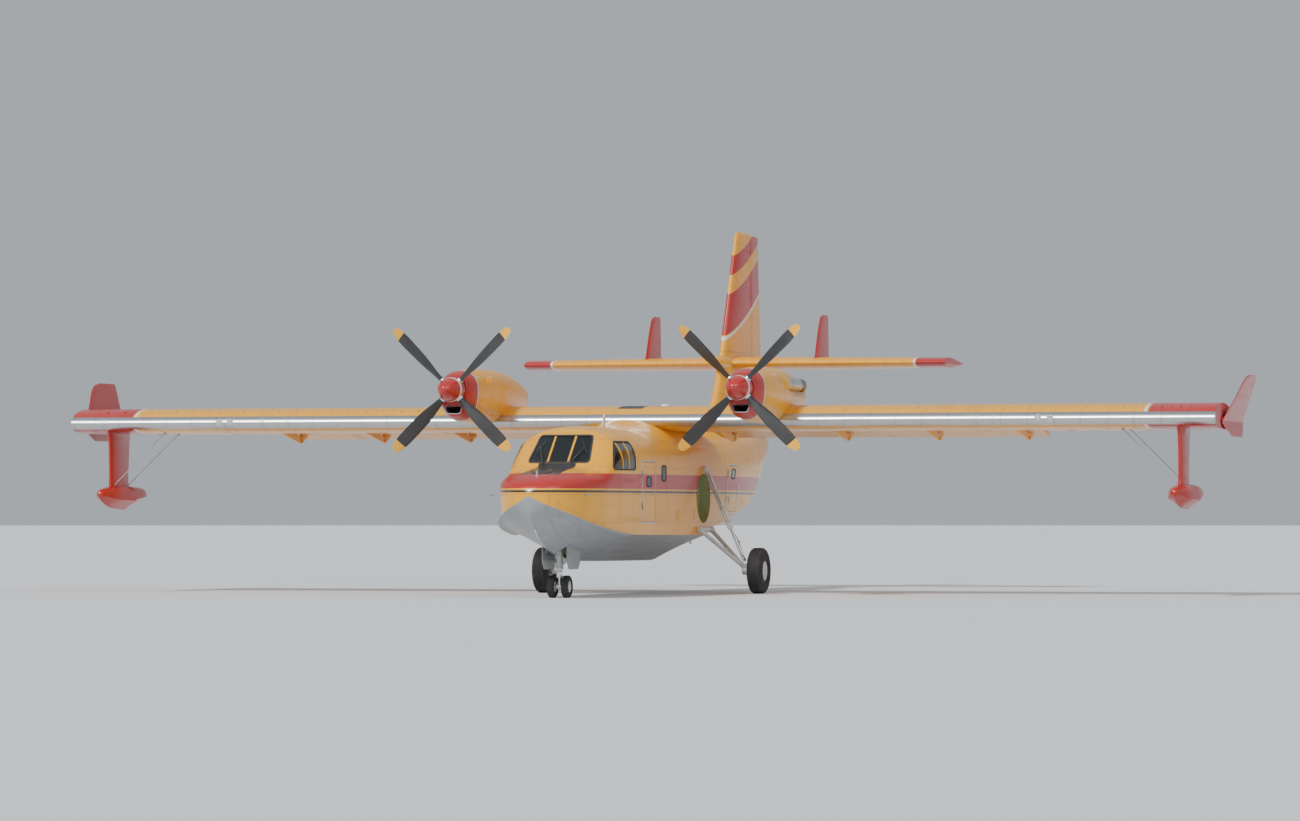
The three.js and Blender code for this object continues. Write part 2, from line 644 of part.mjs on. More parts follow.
// A flap with the cheeks that straddle each fixed arm, drawn as retracted and turned to its rest
function makeFlap(side) {
  const shares = spread(0.806, 0.985, 3);
  const low = [FLAP.lowerCut * CHORD, lowerAt(FLAP.lowerCut)];
  const high = [FLAP.upperCut * CHORD, upperAt(FLAP.upperCut)];
  const nose = [[0, 75], [0.06, 30], [0.3, 12], [0.75, 12], [0.94, 30]].map(([share, back]) =>
    wingPoint(mix(low[0], high[0], share) + back, mix(low[1], high[1], share)),
  );
  const upper = shares.map((x) => upperPoint(x, -6));
  const lower = [...spread(0.75, 0.985, 2)].reverse().map((x) => lowerPoint(x));
  const skin = [...nose, ...upper, ...lower];
  let flap = wingPiece(skin, side, FLAP.inner, FLAP.outer);
  flap = flap.subtract(thinned(wingPiece(skin, side, FLAP.inner - 10, FLAP.outer + 10), TAIL_WALL, "xz"));
  const [hingeStation, hingeZ] = flapHinge();
  for (const y of FLAP_ARMS) {
    for (const cheek of [-1, 1]) {
      const from = y + cheek * (30 + RUN);
      const to = y + cheek * (30 + RUN + 16);
      const outline = [
        [hingeStation - 40, hingeZ],
        [hingeStation, hingeZ - 45],
        [hingeStation + 60, hingeZ],
        lowerPoint(0.87, 30),
        lowerPoint(0.77, 30),
      ];
      flap = flap.add(wingPiece(outline, side, from, to));
      const boss = [y + cheek * (30 + SEAT), y + cheek * (30 + RUN + 1)];
      flap = flap.add(rod(point(hingeStation, side * boss[0], hingeZ),
          point(hingeStation, side * boss[1], hingeZ), 26, 8));
    }
  }
  const swing = new THREE.Group();
  swing.position.set(xAt(hingeStation), 0, hingeZ);
  swing.rotation.y = -FLAP_REST;
  aircraft.add(swing);
  const mesh = piece(`flap_${side > 0 ? "left" : "right"}`, flap, YELLOW, swing);
  mesh.position.set(-xAt(hingeStation), 0, -hingeZ);
}

const aileronRadius = () => CHORD * halfThickness(AILERON.hingeX, WING.thickness) * 0.98;

// A tapered control surface's ring: a round nose about the hinge and a thin end
function controlOutline(hinge, radius, end, thin = 12) {
  const points = [];
  for (let i = 0; i <= 6; i++) {
    const angle = Math.PI / 2 + (i / 6) * Math.PI;
    points.push([hinge[0] + radius * Math.cos(angle), hinge[1] + radius * Math.sin(angle)]);
  }
  points.push([end[0], end[1] - thin / 2], [end[0], end[1] + thin / 2]);
  return points;
}

// A hinge pin along y at a station and height
function pinAlongY([station, z], noseRadius, side, from, to) {
  return rod(point(station, side * from, z), point(station, side * to, z), noseRadius - TAIL_WALL / 2, 12);
}

function aileronHinge() {
  return wingPoint(AILERON.hingeX * CHORD, CHORD * camberAt(AILERON.hingeX));
}

function makeAileron(side) {
  const end = wingPoint(0.995 * CHORD, CHORD * camberAt(0.995));
  const outline = controlOutline(aileronHinge(), aileronRadius(), end);
  const skin = wingPiece(outline, side, AILERON.inner, AILERON.outer);
  const inside = thinned(wingPiece(outline, side, AILERON.inner - 10, AILERON.outer + 10), TAIL_WALL, "xz");
  const pins = [[AILERON.inner, -1], [AILERON.outer, 1]].map(([y, out]) =>
    pinAlongY(aileronHinge(), aileronRadius(), side, y - out * PIN_INSIDE, y + out * (RUN - SEAT)),
  );
  piece(`aileron_${side > 0 ? "left" : "right"}`, skin.subtract(inside).add(pins[0]).add(pins[1]), YELLOW);
}

// The plate that closes each wing tip, leaning outwards
function makeWinglet(side) {
  const rows = [
    // height, y, nose station, end station
    [WINGLET.bottom, TIP_Y + 60, 8900, 10350],
    [WING_Z, TIP_Y + SEAT, 8050, 10780],
    [WING_Z + 120, TIP_Y + SEAT + 30, 8300, 10780],
    [WINGLET.top, SPAN / 2 - WINGLET.thickness, 9650, 10900],
  ];
  const rings = rows.map(([z, y, nose, end]) =>
    [
      point(nose, side * y, z),
      point(nose, side * (y + WINGLET.thickness * 0.5), z),
      point(mix(nose, end, 0.3), side * (y + WINGLET.thickness), z),
      point(end, side * (y + WINGLET.thickness * 0.3), z),
      point(end, side * y, z),
    ],
  );
  piece(`winglet_${side > 0 ? "left" : "right"}`, loft(rings, "z"), RED);
}

// A float with a vee bottom and a pointed nose, and the pylon that carries it
function makeFloat(side) {
  const { nose, length, keel, deck, halfBeam, y } = FLOAT;
  const rows = [
    // share of the length, share of the beam, bottom and chine and deck heights above the keel
    [0, 0.12, 300, 350, 440],
    [0.08, 0.5, 180, 310, 500],
    [0.25, 0.9, 50, 240, 560],
    [0.55, 1, 0, 220, deck - keel],
    [0.56, 0.98, 60, 250, deck - keel],
    [0.85, 0.7, 190, 320, 540],
    [1, 0.2, 310, 360, 460],
  ];
  const rings = rows.map(([share, beam, low, chine, top]) => {
    const half = beam * halfBeam;
    const shoulder = mix(chine, top, 0.7);
    const outline = [[0, low], [half, chine], [half * 0.92, shoulder], [half * 0.5, top],
        [-half * 0.5, top],
      [-half * 0.92, shoulder], [-half, chine]];
    return outline.map(([across, up]) => point(nose + share * length, side * y + across, keel + up));
  });
  const name = side > 0 ? "left" : "right";
  piece(`float_${name}`, loft(rings, "x"), RED);
  const foil = (z, nose0, chord) =>
    [[0, 0], [0.08, 0.36], [0.3, 0.5], [0.65, 0.38], [1, 0.06], [1, -0.06], [0.65, -0.38], [0.3, -0.5],
        [0.08, -0.36]].map(
      ([along, across]) => point(nose0 + along * chord, side * y + across * PYLON.thickness, z),
    );
  const strut = loft([foil(deck + SEAT, PYLON.nose, PYLON.chord),
      foil(WING_Z + 60, PYLON.nose - 60, PYLON.chord + 180)], "z");
  piece(`float_pylon_${name}`, strut.subtract(wingCutter(side * (y - 300), side * (y + 300))), YELLOW);
}

// A nacelle's ring, round above and deep below
function nacelleRing(row, side, inset) {
  const [station, halfWidth, top, bottom] = row;
  const ring = [];
  for (let i = 0; i < 14; i++) {
    const angle = (i / 14) * 2 * Math.PI;
    const up = Math.sin(angle);
    ring.push(
      point(
        station,
        side * ENGINE.y
            + (halfWidth - inset) * Math.sign(Math.cos(angle)) * Math.abs(Math.cos(angle)) ** 0.85,
        ENGINE.z + (up > 0 ? top - inset : bottom - inset) * Math.sign(up) * Math.abs(up) ** 0.9,
      ),
    );
  }
  return ring;
}

function nacelleSolid(side, inset, rows) {
  return loft(rows.map((row) => nacelleRing(row, side, inset)), "x");
}

function makeNacelle(side) {
  const name = side > 0 ? "left" : "right";
  const y = side * ENGINE.y;
  const body = nacelleSolid(side, 0, NACELLE_SECTIONS);
  const inside = NACELLE_SECTIONS.slice(0, -1)
      .map((row, i) => [row[0] + (i ? 0 : NACELLE_WALL), ...row.slice(1)]);
  let nacelle = body.subtract(nacelleSolid(side, NACELLE_WALL, inside));
  const intake = prism(
    [[y - INTAKE.halfWidth, -INTAKE.top], [y - INTAKE.halfWidth * 0.7, -INTAKE.bottom],
        [y + INTAKE.halfWidth * 0.7, -INTAKE.bottom],
      [y + INTAKE.halfWidth, -INTAKE.top]].map(([a, b]) => [a, ENGINE.z + b]),
    "x", xAt(NACELLE_FRONT - 50), xAt(NACELLE_FRONT + 100),
  );
  nacelle = nacelle.subtract(intake);
  nacelle = nacelle.subtract(rod(point(NACELLE_FRONT - 50, y, ENGINE.z),
      point(NACELLE_FRONT + 100, y, ENGINE.z), boreFor(PROP.shaft, 20), 20));
  nacelle = nacelle.subtract(wingCutter(side * (ENGINE.y - 900), side * (ENGINE.y + 900)));
  const pipe = rod(point(7000, y + side * 330, ENGINE.z + 150),
      point(8250, y + side * 560, ENGINE.z + 120), 150, 14);
  nacelle = nacelle.add(pipe.subtract(nacelleSolid(side, NACELLE_WALL, inside)));
  piece(`nacelle_${name}`, nacelle, YELLOW);

  const { from, to, width, height } = ENGINE_BLOCK;
  let engine = block(from, to, y - width / 2, y + width / 2, ENGINE.z - height / 2, ENGINE.z + height / 2);
  for (const station of [from + 100, to - 200]) {
    engine = engine.add(block(station, station + 60, y - 600, y + 600, ENGINE.z - 50, ENGINE.z + 50));
  }
  engine = engine.intersect(nacelleSolid(side, NACELLE_WALL + SEAT, inside));
  piece(`engine_${name}`, engine, METAL);
}

// Four twisted blades on a hub, with the spinner in front and the shaft behind
function makePropeller(side) {
  const { radius, hubRadius, hubFrom, noseLength, shaft } = PROP;
  const hubEnd = NACELLE_FRONT - ENGINE.noseGap;
  const profile = [
    [0, hubFrom - noseLength], [90, hubFrom - noseLength + 30], [190, hubFrom - 220], [270, hubFrom - 60],
    [hubRadius, hubFrom + 60], [hubRadius, hubEnd], [shaft, hubEnd], [shaft, hubEnd + 70], [0, hubEnd + 70],
  ];
  const hub = new THREE.LatheGeometry(profile.map(([r, s]) => new THREE.Vector2(r, -s)), 20);
  hub.rotateZ(-Math.PI / 2);
  hub.translate(LENGTH / 2, 0, 0);
  let prop = solidOf(hub);
  const rows = [
    // share of the radius, chord, thickness, pitch in degrees
    [0.1, 150, 110, 58],
    [0.22, 210, 80, 52],
    [0.5, 330, 44, 38],
    [0.8, 320, 26, 28],
    [0.97, 210, 14, 23],
    [1, 90, 10, 22],
  ];
  const middle = (hubFrom + hubEnd) / 2 + 30;
  const rings = rows.map(([share, chord, thickness, pitch]) => {
    const angle = THREE.MathUtils.degToRad(pitch);
    return [[-0.5, 0], [-0.2, 0.5], [0.3, 0.35], [0.5, 0], [0, -0.4]].map(([along, up]) => {
      const a = along * chord;
      const b = up * thickness;
      const across = -(a * Math.cos(angle) - b * Math.sin(angle));
      return new THREE.Vector3(xAt(middle) - a * Math.sin(angle) - b * Math.cos(angle), across,
          share * radius);
    });
  });
  const blade = geometryOf(loft(rings, "z"));
  for (let i = 0; i < PROP.blades; i++) {
    const turned = blade.clone().rotateX(((i + 0.5) / PROP.blades) * 2 * Math.PI);
    prop = prop.add(solidOf(turned));
  }
  const mesh = piece(`propeller_${side > 0 ? "left" : "right"}`, prop, DARK);
  mesh.position.set(0, side * ENGINE.y, ENGINE.z);
}

// A symmetric section between two stations, cut off at a third, at a height or distance out
function tailRing(nose, end, cut, thickness, place, grow = 0) {
  const chord = end - nose;
  const shares = spread(0, (cut - nose) / chord, 6);
  const half = shares.map((x) => [nose + x * chord - (x ? 0 : grow),
      chord * halfThickness(x, thickness) + grow]);
  const outline = [...half, ...half.slice(1).reverse().map(([s, a]) => [s, -a])];
  return outline.map(([station, across]) => place(station, across));
}

const finNose = (z) => {
  const i = Math.max(1, FIN_ROWS.findIndex(([height]) => height >= z));
  const [[z0, s0], [z1, s1]] = [FIN_ROWS[i - 1], FIN_ROWS[i]];
  return mix(s0, s1, (z - z0) / (z1 - z0));
};
const rudderEnd = (z) => mix(RUDDER.rootEnd, RUDDER.tipEnd, (z - 4000) / (HEIGHT - 4000));
// The rudder's nose radius at a height: half the fin's thickness at the hinge
function rudderRadius(z) {
  const chord = rudderEnd(z) - mix(14600, 17000, (z - 4000) / (HEIGHT - 4000));
  return chord * halfThickness(1 - (rudderEnd(z) - RUDDER.hinge) / chord, FIN_THICKNESS);
}

function finSolid(grow, longer = 0) {
  const rings = FIN_ROWS.map(([z]) => {
    const cut = RUDDER.hinge - rudderRadius(z) - RUN + longer;
    const thickness = FIN_THICKNESS * (z < 4700 ? 0.9 : 1);
    return tailRing(finNose(z), rudderEnd(z), cut, thickness, (s, a) => point(s, a, z), grow);
  });
  return loft(rings, "z");
}

// The bullet at the crossing of fin and tailplane
function bullet(grow) {
  const profile = [[0, 0], [0.45, 0.12], [0.8, 0.3], [1, 0.55], [0.8, 0.8], [0.4, 0.95], [0, 1]];
  const geometry = new THREE.LatheGeometry(
    profile.map(([r, t]) => new THREE.Vector2(r * (BULLET.radius + grow),
        -mix(BULLET.nose - grow, BULLET.end + grow, t))),
    16,
  );
  geometry.rotateZ(-Math.PI / 2);
  geometry.translate(LENGTH / 2, 0, TAILPLANE.z);
  return solidOf(geometry);
}

function makeFin() {
  // hollow, and open behind where the rudder fits
  const inside = thinned(finSolid(0, 2 * TAIL_WALL), TAIL_WALL, "xyz")
      .subtract(hull(12000, LENGTH, TAIL_WALL));
  const fin = finSolid(0).add(bullet(0)).subtract(hull(12000, LENGTH, -SEAT)).subtract(inside);
  piece("fin", fin, YELLOW);
  return finSolid(2 * SEAT).add(bullet(2 * SEAT));
}

function makeRudder() {
  const between = (from, to) =>
    loft(
      [from, to].map((z) =>
        controlOutline([RUDDER.hinge, 0], rudderRadius(z), [rudderEnd(z), 0])
            .map(([s, a]) => point(s, a, z)),
      ),
      "z",
    );
  const inside = thinned(between(RUDDER.bottom - 10, RUDDER.top + 10), TAIL_WALL, "xy");
  const foot = rod(
    point(RUDDER.hinge, 0, hullAt(RUDDER.hinge).roofZ + SEAT),
    point(RUDDER.hinge, 0, RUDDER.bottom + PIN_INSIDE),
    rudderRadius(RUDDER.bottom) - TAIL_WALL / 2,
    12,
  );
  piece("rudder", between(RUDDER.bottom, RUDDER.top).subtract(inside).add(foot), RED);
}

const tailNose = (y) => mix(TAILPLANE.rootNose, TAILPLANE.tipNose, y / TAILPLANE.halfSpan);
const elevatorEnd = (y) => mix(ELEVATOR.rootEnd, ELEVATOR.tipEnd, y / TAILPLANE.halfSpan);
function elevatorRadius(y) {
  const chord = elevatorEnd(y) - tailNose(y);
  return chord * halfThickness((TAILPLANE.hinge - tailNose(y)) / chord, TAIL_THICKNESS);
}

function tailplaneSolid(side, grow, longer = 0) {
  const rings = [-longer, TAILPLANE.halfSpan].map((y) =>
    tailRing(tailNose(y), elevatorEnd(y), TAILPLANE.hinge - elevatorRadius(y) - RUN + longer,
        TAIL_THICKNESS,
      (s, a) => point(s, side * y, TAILPLANE.z + a), grow),
  );
  return loft(rings, "y");
}

function makeTailplane(side, finCutter) {
  const name = side > 0 ? "left" : "right";
  const inside = thinned(tailplaneSolid(side, 0, 2 * TAIL_WALL), TAIL_WALL, "xyz");
  let plane = tailplaneSolid(side, 0).subtract(finCutter).subtract(inside);
  // the tip carries on behind the end of the elevator
  const tip = [ELEVATOR.outer + RUN, TAILPLANE.halfSpan].map((y) =>
    tailRing(tailNose(y) + 400, elevatorEnd(y), elevatorEnd(y) - 40, TAIL_THICKNESS,
        (s, a) => point(s, side * y, TAILPLANE.z + a)),
  );
  plane = plane.add(loft(tip, "y"));
  piece(`tailplane_${name}`, plane, YELLOW);

  const between = (from, to) =>
    loft(
      [from, to].map((y) =>
        controlOutline([TAILPLANE.hinge, TAILPLANE.z], elevatorRadius(y), [elevatorEnd(y), TAILPLANE.z])
            .map(([s, z]) =>
          point(s, side * y, z),
        ),
      ),
      "y",
    );
  const elevator = between(ELEVATOR.inner, ELEVATOR.outer);
  const hollow = thinned(between(ELEVATOR.inner - 10, ELEVATOR.outer + 10), TAIL_WALL, "xz");
  const { outer } = ELEVATOR;
  const pin = pinAlongY([TAILPLANE.hinge, TAILPLANE.z], elevatorRadius(outer), side, outer - PIN_INSIDE,
      outer + RUN - SEAT);
  piece(`elevator_${name}`, elevator.subtract(hollow).add(pin), YELLOW);

  const { y, top, baseNose, baseEnd, tipNose, tipEnd } = FINLET;
  const foil = (nose, end, z) => tailRing(nose, end, end - 20, 0.07, (s, a) => point(s, side * y + a, z));
  const finlet = loft([foil(baseNose, baseEnd, TAILPLANE.z), foil(tipNose, tipEnd, top)], "z");
  piece(`finlet_${name}`, finlet.subtract(tailplaneSolid(side, SEAT)), RED);
}

// A wheel without its tyre, and the tyre, turned about the axle
function rimProfile(wheel, bore) {
  const half = wheel.width / 2;
  return [[bore, -half * 0.6], [wheel.rim, -half * 0.7], [wheel.rim, half * 0.7],
      [wheel.rim * 0.85, half * 0.5],
    [wheel.rim * 0.5, half * 0.15], [bore, half * 0.3], [bore, -half * 0.6]];
}

function tyreProfile(wheel, inner) {
  const half = wheel.width / 2;
  const { radius, rim } = wheel;
  return [[inner, -half * 0.7], [mix(rim, radius, 0.4), -half], [mix(rim, radius, 0.8), -half * 0.86],
      [radius, -half * 0.5],
    [radius, half * 0.5], [mix(rim, radius, 0.8), half * 0.86], [mix(rim, radius, 0.4), half],
    [inner, half * 0.7],
    [inner, -half * 0.7]];
}

const axleHeight = (wheel) => wheel.radius * Math.cos(Math.PI / wheel.sides);

function makeMainGear(side) {
  const name = side > 0 ? "left" : "right";
  const z = axleHeight(MAIN);
  const wheel = new THREE.Group();
  wheel.position.set(xAt(MAIN.station), side * MAIN.y, z);
  aircraft.add(wheel);
  piece(`main_wheel_${name}`, turned(rimProfile(MAIN, boreFor(AXLE_RADIUS, MAIN.sides))
      .map(([r, y]) => [r, side * y]), MAIN.sides), METAL, wheel);
  piece(`main_tyre_${name}`, turned(tyreProfile(MAIN, MAIN.rim + SEAT * 2), MAIN.sides), RUBBER, wheel);

  const hubEnd = MAIN.y - MAIN.width * 0.5 - 12;
  const hub = [point(MAIN.station, side * (hubEnd - 190), z), point(MAIN.station, side * hubEnd, z)];
  const knee = point(MAIN.station, side * (hubEnd - 100), z + 40);
  const tubeY = side * (1295 + 60 + SEAT);
  let leg = rod(hub[0], hub[1], 95, 14);
  leg = leg.add(rod(hub[1], point(MAIN.station, side * (MAIN.y + 60), z), AXLE_RADIUS, 12));
  leg = leg.add(rod(point(8920, tubeY, 1510), point(10040, tubeY, 1510), 60, 12));
  for (const station of [9000, 9960]) {
    leg = leg.add(rod(point(station, tubeY, 1510), knee, 55, 10));
  }
  piece(`main_leg_${name}`, leg, METAL);

  const top = point(MAIN.station, side * (1295 + 62 + SEAT), 2960);
  const foot = point(MAIN.station, side * (hubEnd - 100), z + 95 + SEAT);
  const between = (t) => new THREE.Vector3().lerpVectors(top, foot, t);
  let strut = rod(top, between(0.62), 62, 12).add(rod(between(0.6), between(0.965), 40, 12));
  strut = strut.subtract(leg).subtract(block(9000, 10000, side * 1200, side * (1295 + SEAT), 1500, 3300));
  strut = strut.add(rod(point(MAIN.station - 90, top.y, top.z),
      point(MAIN.station + 90, top.y, top.z), 62, 12));
  piece(`main_strut_${name}`, strut, METAL);
}

function makeNoseGear() {
  const z = axleHeight(NOSE);
  const at = NOSE.station;
  const { radius, piston, axle, sides } = NOSE_LEG;
  // fixed leg with its trunnion between the walls of the bay
  let leg = rod(point(at, 0, 1560), point(at, 0, 640), radius, sides);
  leg = leg.add(rod(point(at, -BAY.halfWidth + SEAT, 1480), point(at, BAY.halfWidth - SEAT, 1480), 55, 12));
  leg = leg.add(rod(point(at, 0, 900), point(BAY.to - 60, 0, 1560), 34, 8));
  leg = leg.add(rod(point(BAY.to - 60, -BAY.halfWidth + SEAT, 1560),
      point(BAY.to - 60, BAY.halfWidth - SEAT, 1560), 34, 8));
  leg = leg.subtract(rod(point(at, 0, 860), point(at, 0, 600), boreFor(piston, sides), sides));
  piece("nose_leg", leg, METAL);

  let fork = rod(point(at, 0, 840), point(at, 0, z), piston, sides);
  fork = fork.add(rod(point(at, -70, z), point(at, 70, z), 58, sides));
  fork = fork.subtract(rod(point(at, -100, z), point(at, 100, z), boreFor(axle, sides), sides));
  piece("nose_fork", fork, METAL);

  const wheels = new THREE.Group();
  wheels.position.set(xAt(at), 0, z);
  aircraft.add(wheels);
  let pair = rod(new THREE.Vector3(0, -NOSE.y, 0), new THREE.Vector3(0, NOSE.y, 0), axle, sides);
  for (const side of [1, -1]) {
    const half = NOSE.width / 2;
    const disc = [[0, -half * 0.3], ...tyreProfile(NOSE, NOSE.rim).slice(0, -1), [0, half * 0.3]];
    pair = pair.add(turned(disc, NOSE.sides).translate([0, side * NOSE.y, 0]));
  }
  piece("nose_wheels", pair, RUBBER, wheels);

  for (const side of [1, -1]) {
    const inner = side * (BAY.halfWidth + 4);
    const door = block(BAY.from + 10, BAY.to - 10, inner, inner + side * 26, 640, 1400)
        .subtract(hull(1000, 4000, -SEAT));
    piece(`nose_gear_door_${side > 0 ? "left" : "right"}`, door, YELLOW);
  }
}

makeBow();
makeGlazing();
makeCentre();
makeAft();
makeDoor("front_door", FRONT_DOOR, SKIN);
makeDoor("rear_door", REAR_DOOR, AFT_SKIN);
makeDropDoors();
makeTank();
makeCockpit();
makeWing();
const finCutter = makeFin();
makeRudder();
for (const side of [1, -1]) {
  makeFlap(side);
  makeAileron(side);
  makeWinglet(side);
  makeFloat(side);
  makeNacelle(side);
  makePropeller(side);
  makeTailplane(side, finCutter);
  makeMainGear(side);
}
makeNoseGear();

export default aircraft;
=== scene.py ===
"""Looks of a twin-engined amphibious flying boat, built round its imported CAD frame.

Metres. +X points to the nose, +Y to port and +Z up. A station is a distance aft of the nose.
"""

import logging
import math
from dataclasses import dataclass, field
from enum import IntEnum
from functools import cache
from typing import Sequence

import bmesh
import bpy
import numpy as np
from bpy.types import Material, Node, NodeOutputs, NodeSocket, NodeTree, Object
from mathutils import Matrix, Vector


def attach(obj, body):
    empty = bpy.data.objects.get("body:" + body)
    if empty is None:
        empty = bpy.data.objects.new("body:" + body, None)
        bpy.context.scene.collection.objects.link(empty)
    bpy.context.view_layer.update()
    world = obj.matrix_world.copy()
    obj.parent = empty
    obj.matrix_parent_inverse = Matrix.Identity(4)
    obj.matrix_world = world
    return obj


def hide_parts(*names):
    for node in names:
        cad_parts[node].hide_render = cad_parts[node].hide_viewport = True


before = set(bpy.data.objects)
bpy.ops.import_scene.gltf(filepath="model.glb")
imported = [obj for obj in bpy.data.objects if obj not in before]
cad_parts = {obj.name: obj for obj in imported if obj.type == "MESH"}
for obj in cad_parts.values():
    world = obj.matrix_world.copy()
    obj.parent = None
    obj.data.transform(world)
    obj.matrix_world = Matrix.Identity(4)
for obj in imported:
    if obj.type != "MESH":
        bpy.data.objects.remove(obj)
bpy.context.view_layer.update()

LOG = logging.getLogger("flying_boat")
NOSE_X = 9.91  # where station zero lies
CHORD = 3.54
WING_NOSE = 7.3
WING_Z = 4.0
THICKNESS = 0.17  # of the wing, as a share of its chord
THIN = 0.012  # where a control surface ends
INCIDENCE = math.radians(3.5)
ENGINE_Y = 3.45
ENGINE_Z = 4.755
TAIL_Z = 5.65
RUN = 0.01  # gap round a piece that moves
CREASE = 32.0  # degrees between faces that still shade as one surface
AHEAD, PORT, UP = Vector((1, 0, 0)), Vector((0, 1, 0)), Vector((0, 0, 1))
AIRFRAME = "airframe"

Colour = tuple[float, float, float]
Outline = Sequence[tuple[float, float]]
Ring = list[Vector]
Line = list[tuple[Vector, Vector]]  # points, each with the direction that faces out


class Side(IntEnum):
    """Port or starboard, as the sign of y."""

    LEFT = 1
    RIGHT = -1

    @property
    def word(self) -> str:
        """The side's name in piece names."""
        return self.name.lower()


def at(station: float, across: float, up: float) -> Vector:
    """The point at a station, a distance to port and a height."""
    return Vector((NOSE_X - station, across, up))


def mix(low: float, high: float, share: float) -> float:
    """The value at a share of the way from one number to another."""
    return low + (high - low) * share


def shares(count: int, bunched: bool = False) -> list[float]:
    """Numbers from 0 to 1 in even steps, or bunched towards 0.

    Args:
        count: The number of steps.
        bunched: Whether the steps are small near 0.

    Returns:
        One more number than there are steps.
    """
    if bunched:
        return [1 - math.cos(i / count * math.pi / 2) for i in range(count + 1)]
    return [i / count for i in range(count + 1)]


def spaced(start: float, step: float, count: int) -> list[float]:
    """Numbers from a start in even steps."""
    return [start + step * i for i in range(count)]


def within(wanted: Sequence[float], start: float, end: float) -> list[float]:
    """Those of the wanted numbers that lie well between a start and an end, with both of these."""
    return [start] + [s for s in sorted(set(wanted)) if start + 0.002 < s < end - 0.002] + [end]


def turns(count: int, extra: int = 0) -> list[float]:
    """Angles all round a circle, and on beyond it if wanted."""
    return [2 * math.pi * k / count for k in range(count + extra)]


def across_x(angle: float) -> Vector:
    """The direction at right angles to the x axis that is turned from port towards up."""
    return Vector((0, math.cos(angle), math.sin(angle)))


def across_y(angle: float) -> Vector:
    """The direction at right angles to the y axis that is turned from the nose towards up."""
    return Vector((math.cos(angle), 0, math.sin(angle)))


def rounded(outline: Outline, radius: float, steps: int = 5) -> list[tuple[float, float]]:
    """An outline with its corners rounded.

    Args:
        outline: The corners in order.
        radius: How far from each corner the curve starts.
        steps: The number of edges in each rounded corner.

    Returns:
        The points of the new outline.
    """
    made = []
    for i, corner in enumerate(outline):
        here = Vector(corner)
        before = here + (Vector(outline[i - 1]) - here).normalized() * radius
        after = here + (Vector(outline[(i + 1) % len(outline)]) - here).normalized() * radius
        for t in shares(steps):
            made.append(tuple((1 - t) ** 2 * before + 2 * t * (1 - t) * here + t**2 * after))
    return made


def grown(outline: Outline, distance: float) -> list[tuple[float, float]]:
    """An outline with each edge moved outwards.

    Args:
        outline: The corners in order, either way round.
        distance: How far the edges move, or inwards where it is negative.

    Returns:
        The corners of the new outline.
    """
    points = [Vector(p) for p in outline]
    count = len(points)
    area = sum(points[i - 1].cross(points[i]) for i in range(count))
    turn = math.copysign(1.0, area)
    made = []
    for i, point in enumerate(points):
        into = (point - points[i - 1]).normalized()
        out = (points[(i + 1) % count] - point).normalized()
        first = Vector((into.y, -into.x)) * turn
        second = Vector((out.y, -out.x)) * turn
        made.append(tuple(point + (first + second) * distance / (1 + first.dot(second))))
    return made


def box_outline(low_u: float, high_u: float, low_v: float, high_v: float) -> list[tuple[float, float]]:
    """The four corners of a rectangle."""
    return [(low_u, low_v), (high_u, low_v), (high_u, high_v), (low_u, high_v)]


class Curves:
    """Smooth curves through the rows of a table, which never overshoot them."""

    def __init__(self, rows: Sequence[Sequence[float]]) -> None:
        """Reads a table.

        Args:
            rows: Its rows, where the first column is the value that the others follow.
        """
        table = np.array(rows, float)
        self.at, self.values = table[:, 0], table[:, 1:]
        rise = np.diff(self.values, axis=0) / np.diff(self.at)[:, None]
        before, after = rise[:-1], rise[1:]
        same = before * after > 0
        inner = np.where(same, 2 * before * after / np.where(same, before + after, 1), 0)
        self.slopes = np.vstack([rise[:1], inner, rise[-1:]])

    def __call__(self, value: float) -> list[float]:
        """The row at a value of the first column.

        Args:
            value: The value.

        Returns:
            The other columns there.
        """
        i = int(np.clip(np.searchsorted(self.at, value, side="right") - 1, 0, len(self.at) - 2))
        width = self.at[i + 1] - self.at[i]
        t = float(np.clip((value - self.at[i]) / width, 0, 1))
        low, high = self.values[i], self.values[i + 1]
        bend = t * (1 - t) * ((1 - t) * self.slopes[i] - t * self.slopes[i + 1]) * width
        return list(low + (high - low) * (3 * t**2 - 2 * t**3) + bend)


def across_of(axis: Vector) -> tuple[Vector, Vector]:
    """Two unit vectors at right angles to an axis and to each other."""
    first = axis.cross(UP if abs(axis.z) < 0.9 else AHEAD).normalized()
    return first, axis.cross(first).normalized()


